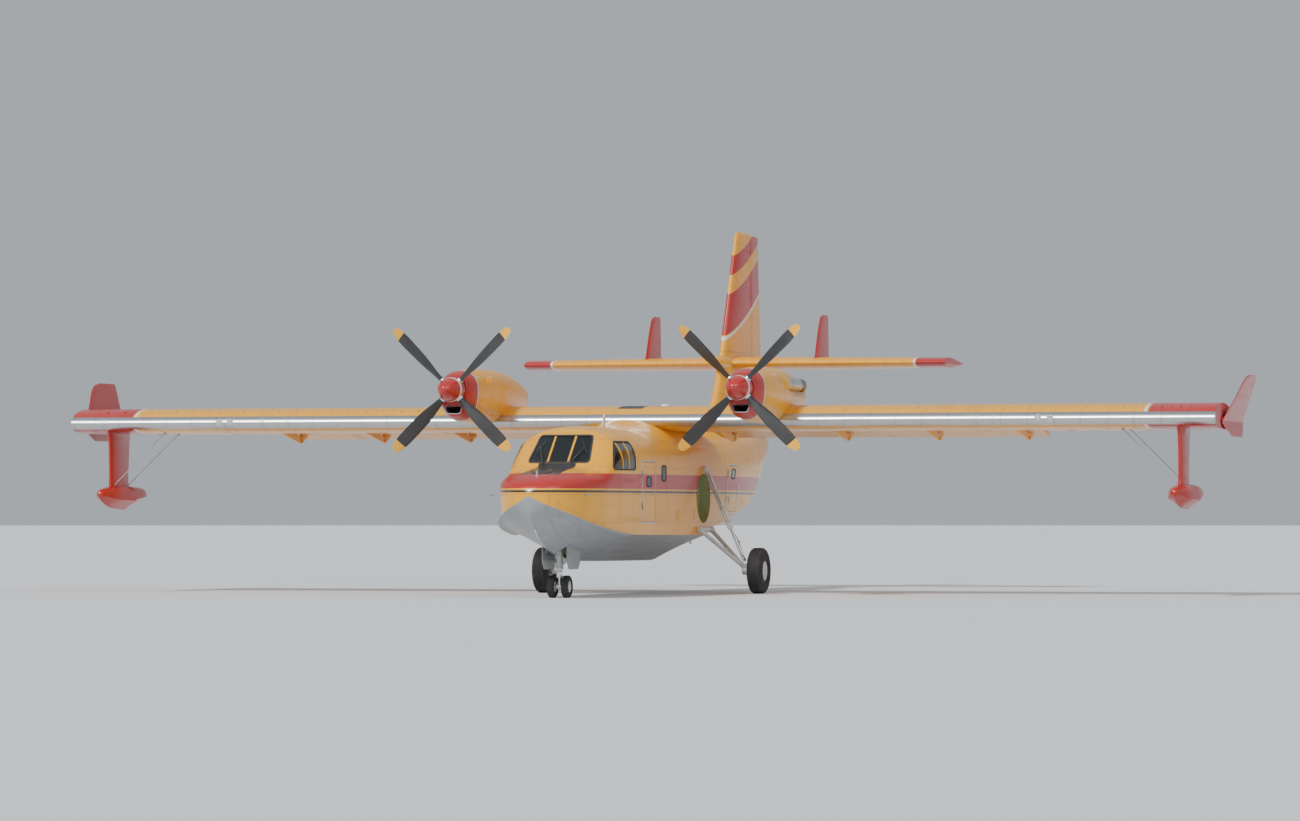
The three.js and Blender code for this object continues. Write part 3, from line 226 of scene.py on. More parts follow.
class Form:
    """Points and faces of a piece, before it becomes an object."""

    def __init__(self) -> None:
        """Starts with no faces."""
        self.mesh = bmesh.new()
        self.settled = False

    def loft(self, rings: Sequence[Ring], caps: bool = True, finish: int = 0, closed: bool = True) -> "Form":
        """Adds a skin over rings of equal length.

        Args:
            rings: The rings in order.
            caps: Whether the first and last ring are filled.
            finish: Which of the piece's finishes the faces take.
            closed: Whether each ring's last point joins its first.

        Returns:
            The form itself.
        """
        rows = [[self.mesh.verts.new(p) for p in ring] for ring in rings]
        count = len(rows[0])
        faces = [
            (low[i], low[(i + 1) % count], high[(i + 1) % count], high[i])
            for low, high in zip(rows, rows[1:])
            for i in range(count if closed else count - 1)
        ]
        if caps:
            faces += [rows[0][::-1], rows[-1]]
        for corners in faces:
            self.mesh.faces.new(corners).material_index = finish
        return self

    def tube(self, path: Sequence[Vector], radius: float | Sequence[float], sides: int = 12,
             finish: int = 0) -> "Form":
        """Adds a round bar along points.

        Args:
            path: The points.
            radius: The bar's radius, or one for each point.
            sides: The number of sides of its section.
            finish: Which of the piece's finishes the faces take.

        Returns:
            The form itself.
        """
        radii = [radius] * len(path) if isinstance(radius, (int, float)) else list(radius)
        first = across_of((path[1] - path[0]).normalized())[0]
        rings = []
        for i, point in enumerate(path):
            along = (path[min(i + 1, len(path) - 1)] - path[max(i - 1, 0)]).normalized()
            first = (first - along * first.dot(along)).normalized()
            second = along.cross(first)
            rings.append([point + (first * math.cos(a) + second * math.sin(a)) * radii[i]
                          for a in turns(sides)])
        return self.loft(rings, finish=finish)

    def lathe(self, profile: Outline, base: Vector, axis: Vector, sides: int = 32, finish: int = 0,
              looped: bool = False) -> "Form":
        """Adds a turned shape.

        Args:
            profile: Pairs of radius and distance along the axis.
            base: Where the distances start.
            axis: The direction of the axis.
            sides: The number of sides of the turned shape.
            finish: Which of the piece's finishes the faces take.
            looped: Whether the profile's last point joins its first, as on a tyre.

        Returns:
            The form itself.
        """
        axis = axis.normalized()
        first, second = across_of(axis)
        rows = [[base + axis * along + (first * math.cos(a) + second * math.sin(a)) * radius
                 for a in turns(sides)] for radius, along in profile]
        if looped:
            rows.append(rows[0])
        return self.loft(rows, caps=not looped, finish=finish)

    def slab(self, outline: Outline, axis: str, low: float, high: float, finish: int = 0) -> "Form":
        """Adds an outline drawn out along an axis.

        Args:
            outline: Pairs of y and z for axis x, station and z for y, or station and y for z.
            axis: The axis it is drawn along.
            low: Where it starts, a station for axis x.
            high: Where it ends.
            finish: Which of the piece's finishes the faces take.

        Returns:
            The form itself.
        """
        place = {
            "x": lambda u, v, w: at(w, u, v),
            "y": lambda u, v, w: at(u, w, v),
            "z": lambda u, v, w: at(u, v, w),
        }[axis]
        return self.loft([[place(u, v, w) for u, v in outline] for w in (low, high)], finish=finish)

    def take(self, other: "Form", moved: Matrix | None = None) -> "Form":
        """Adds another form and frees it.

        Args:
            other: The other form.
            moved: How it is moved first, if wanted.

        Returns:
            The form itself.
        """
        held = bpy.data.meshes.new("held")
        if moved is not None:
            bmesh.ops.transform(other.mesh, matrix=moved, verts=other.mesh.verts)
        other.mesh.to_mesh(held)
        other.mesh.free()
        self.mesh.from_mesh(held)
        bpy.data.meshes.remove(held)
        self.settled = self.settled or other.settled
        return self

    def settle(self) -> "Form":
        """Merges double points and turns each closed shell's faces outwards.

        Returns:
            The form itself.
        """
        bmesh.ops.remove_doubles(self.mesh, verts=self.mesh.verts, dist=2e-5)
        bmesh.ops.dissolve_degenerate(self.mesh, edges=self.mesh.edges, dist=1e-6)
        bmesh.ops.recalc_face_normals(self.mesh, faces=self.mesh.faces)
        self.settled = True
        return self

    def carve(self, *tools: tuple[str, "Form"]) -> "Form":
        """Cuts, joins or keeps what is common with other closed forms, in order.

        Args:
            tools: Pairs of DIFFERENCE, UNION or INTERSECT and a form, which is used up.

        Returns:
            A new form.
        """
        body = bare_object("body", self.settle())
        helpers = [body]
        for operation, tool in tools:
            helper = bare_object("tool", tool.settle())
            helpers.append(helper)
            cut = body.modifiers.new(operation, "BOOLEAN")
            cut.operation, cut.object, cut.solver = operation, helper, "MANIFOLD"
        graph = bpy.context.evaluated_depsgraph_get()
        result = bpy.data.meshes.new_from_object(body.evaluated_get(graph))
        for helper in helpers:
            mesh = helper.data
            bpy.data.objects.remove(helper)
            bpy.data.meshes.remove(mesh)
        made = Form()
        made.mesh.from_mesh(result)
        made.settled = True
        bpy.data.meshes.remove(result)
        if not made.mesh.faces:
            LOG.warning("a carved form came out empty")
        return made


def in_scene(name: str, data: bpy.types.ID) -> Object:
    """A new object in the scene.

    Args:
        name: Its name.
        data: Its mesh, light or camera.

    Returns:
        The object.
    """
    made = bpy.data.objects.new(name, data)
    bpy.context.scene.collection.objects.link(made)
    return made


def bare_object(name: str, form: Form) -> Object:
    """An object in the scene from a form.

    Args:
        name: The object's name.
        form: The form, which is used up.

    Returns:
        The object.
    """
    mesh = bpy.data.meshes.new(name)
    form.mesh.to_mesh(mesh)
    form.mesh.free()
    return in_scene(name, mesh)


# Shader effects and finishes


class Wiring:
    """The nodes of one tree, placed and fed in one call each."""

    def __init__(self, tree: NodeTree) -> None:
        """Takes the tree to be wired."""
        self.tree = tree

    def feed(self, node: Node, values: dict) -> Node:
        """Sets or links a node's inputs.

        Args:
            node: The node.
            values: A value or another node's socket for each input.

        Returns:
            The node.
        """
        for name, value in values.items():
            if isinstance(value, NodeSocket):
                self.tree.links.new(value, node.inputs[name])
            else:
                node.inputs[name].default_value = value
        return node

    def add(self, kind: str, values: dict | None = None, **settings: object) -> Node:
        """Places a node.

        Args:
            kind: The node's type.
            values: A value or another node's socket for each input.
            settings: The node's own settings.

        Returns:
            The node.
        """
        node = self.tree.nodes.new(kind)
        for name, value in settings.items():
            setattr(node, name, value)
        return self.feed(node, values or {})

    def close(self, results: dict[str, NodeSocket]) -> NodeTree:
        """Feeds a group's outputs and gives the group back."""
        self.add("NodeGroupOutput", results)
        return self.tree

    def place(self, group: NodeTree, **values: object) -> NodeOutputs:
        """The outputs of a node group, placed and fed."""
        return self.add("ShaderNodeGroup", values, node_tree=group).outputs

    def math(self, operation: str, *values: object) -> NodeSocket:
        """The result of a Math node."""
        return self.add("ShaderNodeMath", dict(enumerate(values)), operation=operation).outputs[0]

    def times(self, first: object, second: object) -> NodeSocket:
        """One value times another."""
        return self.math("MULTIPLY", first, second)

    def vector(self, operation: str, *values: object) -> NodeSocket:
        """The result of a Vector Math node, a number where its operation gives one."""
        outputs = self.add("ShaderNodeVectorMath", dict(enumerate(values)), operation=operation).outputs
        return outputs["Value" if operation in ("DOT_PRODUCT", "LENGTH") else "Vector"]

    def stretched(self, vector: object, scale: Sequence[float]) -> NodeSocket:
        """Coordinates scaled along each axis."""
        return self.vector("MULTIPLY", vector, scale)

    def ramp(self, value: object, low: float, high: float, start: float = 0.0,
             end: float = 1.0) -> NodeSocket:
        """A smooth step from start to end as a value goes from low to high."""
        values = {"Value": value, "From Min": low, "From Max": high, "To Min": start, "To Max": end}
        return self.add("ShaderNodeMapRange", values, interpolation_type="SMOOTHSTEP").outputs["Result"]

    def blend(self, share: object, under: object, over: object) -> NodeSocket:
        """One colour mixed over another by a share."""
        low, high = (c if isinstance(c, NodeSocket) else (*c, 1) for c in (under, over))
        return self.add("ShaderNodeMix", {0: share, 6: low, 7: high}, data_type="RGBA").outputs[2]

    def noise(self, vector: object, scale: float, detail: float = 4.0, rough: float = 0.55) -> NodeSocket:
        """The value of a noise texture."""
        values = {"Vector": vector, "Scale": scale, "Detail": detail, "Roughness": rough}
        return self.add("ShaderNodeTexNoise", values).outputs[0]

    def bump(self, height: object, distance: float, strength: float, **under: NodeSocket) -> NodeSocket:
        """A normal from a height, over another Normal if there is one."""
        values = {"Height": height, "Distance": distance, "Strength": strength} | under
        return self.add("ShaderNodeBump", values).outputs[0]


class Effects:
    """Shader node groups that more than one finish uses, each built once."""

    def group(self, name: str, inputs: dict[str, str],
              outputs: dict[str, str]) -> tuple[Wiring, NodeOutputs]:
        """A new group with its sockets.

        Args:
            name: The group's name.
            inputs: The type of each input by name.
            outputs: The type of each output by name.

        Returns:
            The wiring, and the sockets that the inputs arrive on.
        """
        tree = bpy.data.node_groups.new(name, "ShaderNodeTree")
        for side, sockets in (("INPUT", inputs), ("OUTPUT", outputs)):
            for label, kind in sockets.items():
                tree.interface.new_socket(label, in_out=side, socket_type="NodeSocket" + kind)
        return Wiring(tree), tree.nodes.new("NodeGroupInput").outputs

    @cache
    def joints(self) -> NodeTree:
        """Lines where sheets meet, with a row of rivets beside each.

        Returns:
            The group.
        """
        rivet_pitch, rivet_row, rivet_radius = 0.044, 0.026, 0.0045
        inputs = dict.fromkeys(("Vector", "Facing", "Pitch", "Shift"), "Vector") | {"Width": "Float"}
        w, given = self.group("sheet_joints", inputs, {"Line": "Float", "Rivet": "Float"})
        moved = w.vector("ADD", given["Vector"], given["Shift"])
        place, pitch, facing = (w.add("ShaderNodeSeparateXYZ", {0: vector}).outputs
                                for vector in (moved, given["Pitch"], given["Facing"]))
        edge = w.times(given["Width"], 1.6)
        lines, rivets = [], []
        for i in range(3):
            off = w.math("PINGPONG", place[i], w.times(pitch[i], 0.5))
            steep = w.ramp(w.math("ABSOLUTE", facing[i]), 0.74, 0.84, 1.0, 0.0)
            near = w.add("ShaderNodeMapRange", {"Value": off, "From Min": given["Width"], "From Max": edge,
                                                "To Min": 1.0, "To Max": 0.0})
            lines.append(w.times(near.outputs["Result"], steep))
            along = w.math("PINGPONG", w.math("ADD", place[(i + 1) % 3], place[(i + 2) % 3]), rivet_pitch / 2)
            beside = w.math("ABSOLUTE", w.math("SUBTRACT", off, rivet_row))
            apart = w.math("SQRT", w.math("ADD", w.math("POWER", along, 2.0), w.math("POWER", beside, 2.0)))
            rivets.append(w.times(w.ramp(apart, rivet_radius, rivet_radius + 0.002, 1.0, 0.0), steep))
        line, rivet = (w.math("MAXIMUM", w.math("MAXIMUM", a, b), c) for a, b, c in (lines, rivets))
        return w.close({"Line": line, "Rivet": rivet})

    @cache
    def weather(self) -> NodeTree:
        """Streaks of dirt along a direction, water runs, broad fading and a fine grain.

        Returns:
            The group.
        """
        w, given = self.group("weathering", {"Vector": "Vector", "Stretch": "Vector"},
                              dict.fromkeys(("Streak", "Run", "Fade", "Grain"), "Float"))
        place = given["Vector"]
        drawn = w.stretched(place, given["Stretch"])
        patch = w.ramp(w.noise(place, 0.55, 3.0), 0.42, 0.66)
        streak = w.times(w.ramp(w.noise(drawn, 1.0, 4.0, 0.55), 0.46, 0.78), patch)
        run = w.ramp(w.noise(w.stretched(place, (9.0, 9.0, 0.55)), 1.0, 3.0, 0.5), 0.5, 0.8)
        fade = w.ramp(w.noise(place, 0.7, 3.0), 0.3, 0.72)
        return w.close({"Streak": streak, "Run": run, "Fade": fade, "Grain": w.noise(place, 90.0, 2.0)})

    @cache
    def wear(self) -> NodeTree:
        """Scattered chips and scratches, more of them as the amount grows.

        Returns:
            The group.
        """
        w, given = self.group("chipped_wear", {"Vector": "Vector", "Amount": "Float"}, {"Bare": "Float"})
        large = w.noise(given["Vector"], 9.0, 5.0, 0.7)
        small = w.noise(w.stretched(given["Vector"], (1.0, 2.5, 1.0)), 38.0, 4.0, 0.7)
        both = w.math("ADD", w.times(large, 0.6), w.times(small, 0.4))
        level = w.math("SUBTRACT", 0.78, w.times(given["Amount"], 0.36))
        return w.close({"Bare": w.ramp(w.math("SUBTRACT", both, level), 0.0, 0.025)})


EFFECTS = Effects()


@dataclass(frozen=True)
class Region:
    """Part of a surface, where every limit holds.

    A limit is a direction with the middle and half width of a band along it. With a centre, the
    limits are distances from a line through it along x, and only their middle and half count.
    """

    limits: tuple[tuple[tuple[float, float, float], float, float], ...]
    colour: Colour = (0.0, 0.0, 0.0)
    centre: tuple[float, float, float] | None = None
    soft: float = 0.0  # how far the edge fades out

    def mask(self, w: Wiring, place: NodeSocket) -> NodeSocket:
        """A value that is 1 inside and 0 outside.

        Args:
            w: The material's wiring.
            place: Its object coordinates.

        Returns:
            The socket with the value.
        """
        result: object = 1.0
        for direction, middle, half in self.limits:
            if self.centre is None:
                reach = w.vector("DOT_PRODUCT", place, direction)
            else:
                off = w.vector("SUBTRACT", place, self.centre)
                reach = w.vector("LENGTH", w.stretched(off, (0.0, 1.0, 1.0)))
            if self.soft:
                off = w.math("ABSOLUTE", w.math("SUBTRACT", reach, middle))
                inside = w.ramp(off, half, half + self.soft, 1.0, 0.0)
            else:
                inside = w.math("COMPARE", reach, middle, half)
            result = w.times(inside, result)
        return result


@dataclass(frozen=True)
class Finish:
    """A surface finish and the record's slot that it stands for."""

    name: str
    slot: str

    @cache
    def material(self) -> Material:
        """The finish as a material, made once.

        Returns:
            The material.
        """
        made = bpy.data.materials.new(self.name)
        made.use_nodes = True
        w = Wiring(made.node_tree)
        shader = made.node_tree.nodes["Principled BSDF"]
        w.feed(shader, self.wire(w, w.add("ShaderNodeTexCoord").outputs["Object"]))
        return made

    def wire(self, w: Wiring, place: NodeSocket) -> dict[str, object]:
        """Wires the material up to its surface shader.

        Args:
            w: The material's wiring.
            place: Its object coordinates.

        Returns:
            A value or socket for each of the shader's inputs.
        """
        raise NotImplementedError


@dataclass(frozen=True)
class Paint(Finish):
    """Gloss paint over riveted sheet, with coloured regions, joints, fading, dirt and chips."""

    colour: Colour = (0.8, 0.8, 0.8)
    regions: tuple[Region, ...] = ()
    chipped: tuple[Region, ...] = ()
    bare: tuple[Region, ...] = ()
    sooty: tuple[Region, ...] = ()
    pitch: tuple[float, float, float] = (0.0, 0.0, 0.0)
    shift: tuple[float, float, float] = (0.0, 0.0, 0.0)
    stretch: tuple[float, float, float] = (0.3, 6.0, 6.0)
    dirt: float = 0.22
    runs: float = 0.1
    chips: float = 0.3
    roughness: float = 0.32
    coat: float = 0.25
    lined: float = 0.6  # how dark the joints between sheets are

    def largest(self, w: Wiring, place: NodeSocket, regions: Sequence[Region]) -> object:
        """The mask of several regions together.

        Args:
            w: The material's wiring.
            place: Its object coordinates.
            regions: The regions.

        Returns:
            The largest of their masks.
        """
        amount: object = 0.0
        for region in regions:
            amount = w.math("MAXIMUM", region.mask(w, place), amount)
        return amount

    def wire(self, w: Wiring, place: NodeSocket) -> dict[str, object]:
        """Wires the paint, as Finish.wire says.

        Args:
            w: The material's wiring.
            place: Its object coordinates.

        Returns:
            The shader's inputs.
        """
        pitch = tuple(p or NO_JOINT for p in self.pitch)
        shift = tuple(s if p else NO_JOINT / 2 for p, s in zip(self.pitch, self.shift))
        facing = w.add("ShaderNodeTexCoord").outputs["Normal"]
        line, rivet = w.place(EFFECTS.joints(), Vector=place, Facing=facing, Pitch=pitch, Shift=shift,
                              Width=0.002)
        streak, run, fade, grain = w.place(EFFECTS.weather(), Vector=place, Stretch=self.stretch)
        colour: object = self.colour
        for region in self.regions:
            colour = w.blend(region.mask(w, place), colour, region.colour)
        pale = w.blend(0.04, colour, CHALK)
        colour = w.blend(w.times(fade, 0.5), colour, pale)
        rough = w.math("ADD", w.times(streak, 0.2), w.math("MULTIPLY_ADD", grain, 0.1, self.roughness - 0.05))
        metallic: object = 0.0
        if self.bare:
            metallic = self.largest(w, place, self.bare)
            metal = w.blend(grain, (0.62, 0.63, 0.64), (0.5, 0.51, 0.52))
            colour = w.blend(metallic, colour, metal)
        if self.chipped:
            amount = w.times(self.largest(w, place, self.chipped), self.chips)
            chip = w.place(EFFECTS.wear(), Vector=place, Amount=amount)["Bare"]
            chip = w.times(chip, w.math("GREATER_THAN", amount, 0.02))
            colour = w.blend(chip, colour, PRIMER)
            metallic = w.math("MAXIMUM", w.times(chip, 0.8), metallic)
        colour = w.blend(w.times(streak, self.dirt), colour, DIRT)
        colour = w.blend(w.times(run, self.runs), colour, WATER_STAIN)
        if self.sooty:
            soot = w.times(self.largest(w, place, self.sooty), w.ramp(streak, -0.3, 0.6, 0.35, 0.9))
            colour = w.blend(soot, colour, SOOT)
            rough = w.math("MULTIPLY_ADD", soot, 0.4, rough)
        colour = w.blend(w.times(line, self.lined), colour, JOINT_SHADE)
        colour = w.blend(w.times(rivet, 0.22), colour, RIVET_SHADE)
        height = w.math("SUBTRACT", w.times(rivet, 0.5), line)
        normal = w.bump(height, 0.004, 0.7, Normal=w.bump(grain, 0.0006, 0.3))
        return {"Base Color": colour, "Roughness": rough, "Metallic": metallic, "Normal": normal,
                "Coat Weight": self.coat, "Coat Roughness": 0.1}


@dataclass(frozen=True)
class Metal(Finish):
    """Bare or plated metal with a drawn grain, stains and a trace of oil."""

    colour: Colour = (0.6, 0.6, 0.6)
    stain: Colour = (0.12, 0.1, 0.08)
    grain: tuple[float, float, float] = (4.0, 40.0, 40.0)
    roughness: float = 0.34
    stained: float = 0.35

    def wire(self, w: Wiring, place: NodeSocket) -> dict[str, object]:
        """Wires the metal, as Finish.wire says.

        Args:
            w: The material's wiring.
            place: Its object coordinates.

        Returns:
            The shader's inputs.
        """
        drawn = w.noise(w.stretched(place, self.grain), 3.0, 5.0, 0.7)
        cloud = w.ramp(w.noise(place, 3.2, 6.0, 0.65), 0.45, 0.75)
        tone = w.blend(w.times(drawn, 0.3), self.colour, tuple(c * 0.72 for c in self.colour))
        colour = w.blend(w.times(cloud, self.stained), tone, self.stain)
        rough = w.math("ADD", w.math("MULTIPLY_ADD", drawn, 0.2, self.roughness - 0.1), w.times(cloud, 0.2))
        return {"Base Color": colour, "Roughness": rough, "Metallic": 1.0,
                "Normal": w.bump(drawn, 0.0008, 0.4)}


@dataclass(frozen=True)
class Rubber(Finish):
    """Dark rubber with a fine grain and patches of dust."""

    colour: Colour = (0.018, 0.018, 0.02)
    dust: Colour = (0.22, 0.2, 0.17)
    dusty: float = 0.4

    def wire(self, w: Wiring, place: NodeSocket) -> dict[str, object]:
        """Wires the rubber, as Finish.wire says.

        Args:
            w: The material's wiring.
            place: Its object coordinates.

        Returns:
            The shader's inputs.
        """
        fine = w.noise(place, 160.0, 3.0)
        patch = w.ramp(w.noise(place, 5.0, 6.0, 0.7), 0.45, 0.8)
        colour = w.blend(w.times(patch, self.dusty), self.colour, self.dust)
        rough = w.math("MULTIPLY_ADD", fine, 0.2, 0.66)
        return {"Base Color": colour, "Roughness": rough, "Normal": w.bump(fine, 0.0008, 0.5)}


@dataclass(frozen=True)
class Glass(Finish):
    """Clear or coloured glass with a faint film of dirt and, on a lamp, some light; on a window with no
    opening, its dark colour is painted shade of the room behind.
    """

    colour: Colour = (0.74, 0.85, 0.86)
    glow: float = 0.0
    clear: float = 1.0

    def wire(self, w: Wiring, place: NodeSocket) -> dict[str, object]:
        """Wires the glass, as Finish.wire says.

        Args:
            w: The material's wiring.
            place: Its object coordinates.

        Returns:
            The shader's inputs.
        """
        film = w.ramp(w.noise(w.stretched(place, (1.0, 1.0, 0.35)), 3.0, 6.0, 0.7), 0.42, 0.8)
        colour = w.blend(w.times(film, 0.08), self.colour, (0.5, 0.48, 0.44))
        return {"Base Color": colour, "Roughness": w.math("MULTIPLY_ADD", film, 0.05, 0.015), "IOR": 1.46,
                "Transmission Weight": self.clear, "Emission Color": (*self.colour, 1),
                "Emission Strength": self.glow}


@dataclass(frozen=True)
class Moulded(Finish):
    """Moulded plastic or painted lining with a leathery grain and rubbed patches."""

    colour: Colour = (0.05, 0.05, 0.055)
    rubbed: Colour = (0.16, 0.16, 0.16)
    scale: float = 240.0

    def wire(self, w: Wiring, place: NodeSocket) -> dict[str, object]:
        """Wires the plastic, as Finish.wire says.

        Args:
            w: The material's wiring.
            place: Its object coordinates.

        Returns:
            The shader's inputs.
        """
        cells = w.add("ShaderNodeTexVoronoi", {"Vector": place, "Scale": self.scale}).outputs[0]
        patch = w.ramp(w.noise(place, 4.0, 6.0, 0.7), 0.5, 0.8)
        colour = w.blend(w.times(patch, 0.35), self.colour, self.rubbed)
        rough = w.math("SUBTRACT", w.math("MULTIPLY_ADD", cells, 0.2, 0.5), w.times(patch, 0.12))
        return {"Base Color": colour, "Roughness": rough, "Normal": w.bump(cells, 0.0008, 0.5)}


@dataclass(frozen=True)
class Cloth(Finish):
    """Woven seat cloth with threads both ways."""

    colour: Colour = (0.06, 0.075, 0.09)
    light: Colour = (0.16, 0.18, 0.2)
    threads: float = 520.0

    def wire(self, w: Wiring, place: NodeSocket) -> dict[str, object]:
        """Wires the cloth, as Finish.wire says.

        Args:
            w: The material's wiring.
            place: Its object coordinates.

        Returns:
            The shader's inputs.
        """
        thread = {"Vector": place, "Scale": self.threads / 6.28, "Distortion": 1.5}
        waves = [w.add("ShaderNodeTexWave", thread, bands_direction=axis).outputs[1]
                 for axis in ("X", "Y", "Z")]
        weave = w.math("MAXIMUM", w.times(waves[0], waves[1]), waves[2])
        colour = w.blend(w.times(weave, w.noise(place, 9.0, 5.0)), self.colour, self.light)
        return {"Base Color": colour, "Roughness": w.math("MULTIPLY_ADD", weave, 0.1, 0.82),
                "Sheen Weight": 0.3, "Normal": w.bump(weave, 0.001, 0.6)}


YELLOW: Colour = (0.84, 0.37, 0.004)
RED: Colour = (0.44, 0.011, 0.007)
BLACK: Colour = (0.018, 0.018, 0.02)
WHITE: Colour = (0.74, 0.74, 0.72)
GREY: Colour = (0.3, 0.32, 0.335)
CHALK: Colour = (0.9, 0.84, 0.74)
PRIMER: Colour = (0.42, 0.42, 0.41)
DIRT: Colour = (0.1, 0.08, 0.055)
WATER_STAIN: Colour = (0.14, 0.11, 0.08)
SOOT: Colour = (0.03, 0.028, 0.026)
JOINT_SHADE: Colour = (0.04, 0.035, 0.03)
RIVET_SHADE: Colour = (0.12, 0.1, 0.08)
NO_JOINT = 1000.0  # a distance between joints that puts none on the piece
X_AXIS, Y_AXIS, Z_AXIS = (1.0, 0.0, 0.0), (0.0, 1.0, 0.0), (0.0, 0.0, 1.0)

STRIPE = Region(((Z_AXIS, 2.62, 0.17),), RED)
PINSTRIPE = Region(((Z_AXIS, 2.385, 0.025),), BLACK)
GLARE = Region(((X_AXIS, 8.42, 0.72), (Y_AXIS, 0.0, 0.44), (Z_AXIS, 2.52, 0.5)), BLACK)
HULL_PAINT = Paint("hull_paint", "yellow_skin", YELLOW, (STRIPE, PINSTRIPE, GLARE),
                   (Region(((X_AXIS, 9.75, 0.35),), soft=0.4),), pitch=(0.92, 0.84, 0.62),
                   shift=(0.31, 0.42, 0.16))
BOTTOM_PAINT = Paint(
    "bottom_paint", "yellow_skin", GREY, chipped=(Region(((Z_AXIS, 0.9, 0.7),), soft=0.5),),
    pitch=(0.92, 0.72, 0.0), shift=(0.31, 0.36, 0.0), dirt=0.4, runs=0.2, chips=0.34, roughness=0.42,
)
ABOVE_CHORD = ((-math.sin(INCIDENCE), 0.0, math.cos(INCIDENCE)), 4.79, 0.5)
WING_PAINT = Paint(
    "wing_paint", "yellow_skin", YELLOW,
    tuple(Region(((Y_AXIS, side * middle, half),), colour) for side in (1, -1)
          for middle, half, colour in ((12.33, 0.035, WHITE), (13.27, 0.87, RED))),
    bare=(Region(((X_AXIS, 2.6, 0.11),)),),
    sooty=tuple(Region(((Y_AXIS, side * (ENGINE_Y + 0.62), 0.02), (X_AXIS, 0.2, 1.0), ABOVE_CHORD), soft=0.35)
                for side in (1, -1)),
    pitch=(0.0, 0.62, 0.0), shift=(0.0, 0.31, 0.0), stretch=(0.3, 5.0, 2.0), dirt=0.26, runs=0.0,
)
TAIL_PAINT = Paint(
    "tail_paint", "yellow_skin", YELLOW,
    tuple(Region((((0.34, 0.0, 0.94), middle, half),), colour) for middle, half, colour in
          ((4.35, 0.42, RED), (3.87, 0.035, WHITE), (5.35, 0.2, RED))),
    pitch=(1.1, 0.0, 0.55), shift=(0.2, 0.0, 0.12),
)
PLANE_PAINT = Paint(
    "tailplane_paint", "yellow_skin", YELLOW,
    tuple(Region(((Y_AXIS, side * middle, half),), colour) for side in (1, -1)
          for middle, half, colour in ((4.72, 0.03, WHITE), (5.2, 0.45, RED))),
    pitch=(0.0, 0.45, 0.0), shift=(0.0, 0.05, 0.0), stretch=(0.3, 5.0, 2.0), runs=0.0,
)
NACELLE_PAINT = Paint("nacelle_paint", "yellow_skin", YELLOW,
                      (Region(((X_AXIS, 4.64, 0.25),), RED), Region(((X_AXIS, 4.375, 0.02),), WHITE)),
                      (Region(((X_AXIS, 4.84, 0.04),)),),
                      sooty=tuple(Region(((Y_AXIS, side * (ENGINE_Y + 0.6), 0.25), (X_AXIS, 0.7, 0.95),
                                          (Z_AXIS, ENGINE_Z + 0.08, 0.1)), soft=0.16) for side in (1, -1)),
                      pitch=(0.74, 0.0, 0.0), shift=(0.1, 0.0, 0.0), dirt=0.3, runs=0.16)
RED_PAINT = Paint("red_paint", "red_skin", RED, pitch=(0.74, 0.0, 0.0), shift=(0.17, 0.0, 0.0), lined=0.4)
WHITE_PAINT = Paint("white_paint", "cabin_lining", WHITE, stretch=(2.0, 2.0, 0.4))
BAY_PAINT = Paint("bay_primer", "cabin_lining", (0.34, 0.4, 0.2), dirt=0.5, roughness=0.5)
WALKWAY = Rubber("walkway_grit", "black_plastic", (0.05, 0.05, 0.052), dusty=0.55)
BLADE_PAINT = {
    side: Paint(
        f"blade_paint_{side.word}", "propeller_metal", BLACK,
        (Region(((X_AXIS, 1.87, 0.12),), (0.82, 0.4, 0.01), (0.0, side * ENGINE_Y, ENGINE_Z)),),
        (Region(((X_AXIS, 1.2, 0.9),), centre=(0.0, side * ENGINE_Y, ENGINE_Z)),),
        stretch=(2.0, 2.0, 2.0), chips=0.2, roughness=0.38, coat=0.1,
    )
    for side in Side
}
SPINNER_PAINT = Paint("spinner_paint", "red_skin", RED, (Region(((X_AXIS, 5.13, 0.035),), WHITE),),
                      roughness=0.24)
ALLOY = Metal("bare_alloy", "bare_alloy", (0.66, 0.67, 0.68))
STEEL = Metal("gear_steel", "gear_steel", (0.5, 0.52, 0.54), stained=0.45)
CHROME = Metal("chromed_piston", "gear_steel", (0.85, 0.86, 0.87), roughness=0.16, stained=0.1)
GEAR_PAINT = Paint("gear_enamel", "gear_steel", (0.62, 0.63, 0.62), stretch=(3.0, 3.0, 1.0), dirt=0.5,
                   roughness=0.36)
HOT_METAL = Metal("heat_tinted_steel", "engine_metal", (0.36, 0.29, 0.24), (0.05, 0.05, 0.08), roughness=0.45,
                  stained=0.7)
ENGINE_CAST = Metal("engine_casting", "engine_metal", (0.33, 0.34, 0.35), roughness=0.5, stained=0.6)
BRAKE = Metal("brake_disc", "engine_metal", (0.3, 0.3, 0.31), (0.2, 0.1, 0.05), (30.0, 30.0, 30.0), 0.4, 0.5)
RIM_PAINT = Paint("wheel_enamel", "bare_alloy", (0.6, 0.61, 0.6), stretch=(4.0, 4.0, 4.0), dirt=0.5)
TYRE = Rubber("tyre_rubber", "tyre", dusty=0.12)
HOSE = Rubber("hose_rubber", "black_plastic", dusty=0.2)
SEAL = Rubber("window_seal", "black_plastic", (0.03, 0.03, 0.032), dusty=0.15)
PANE = Glass("window_glass", "glazing")
# Glass for windows with no opening behind them: a real pane, whose dark, mostly opaque colour is painted
# shade of the unlit room.
SHADED_WINDOW_PANE = Glass("smoked_glass", "glazing", (0.05, 0.08, 0.1), clear=0.25)
LAMP = Glass("lamp_glass", "glazing", (0.95, 0.95, 0.9), 0.08, 0.8)
LAMP_RED = Glass("red_lamp_glass", "glazing", (0.85, 0.03, 0.02), 0.5, 0.5)
LAMP_GREEN = Glass("green_lamp_glass", "glazing", (0.03, 0.7, 0.2), 0.5, 0.5)
PLASTIC = Moulded("black_plastic", "black_plastic")
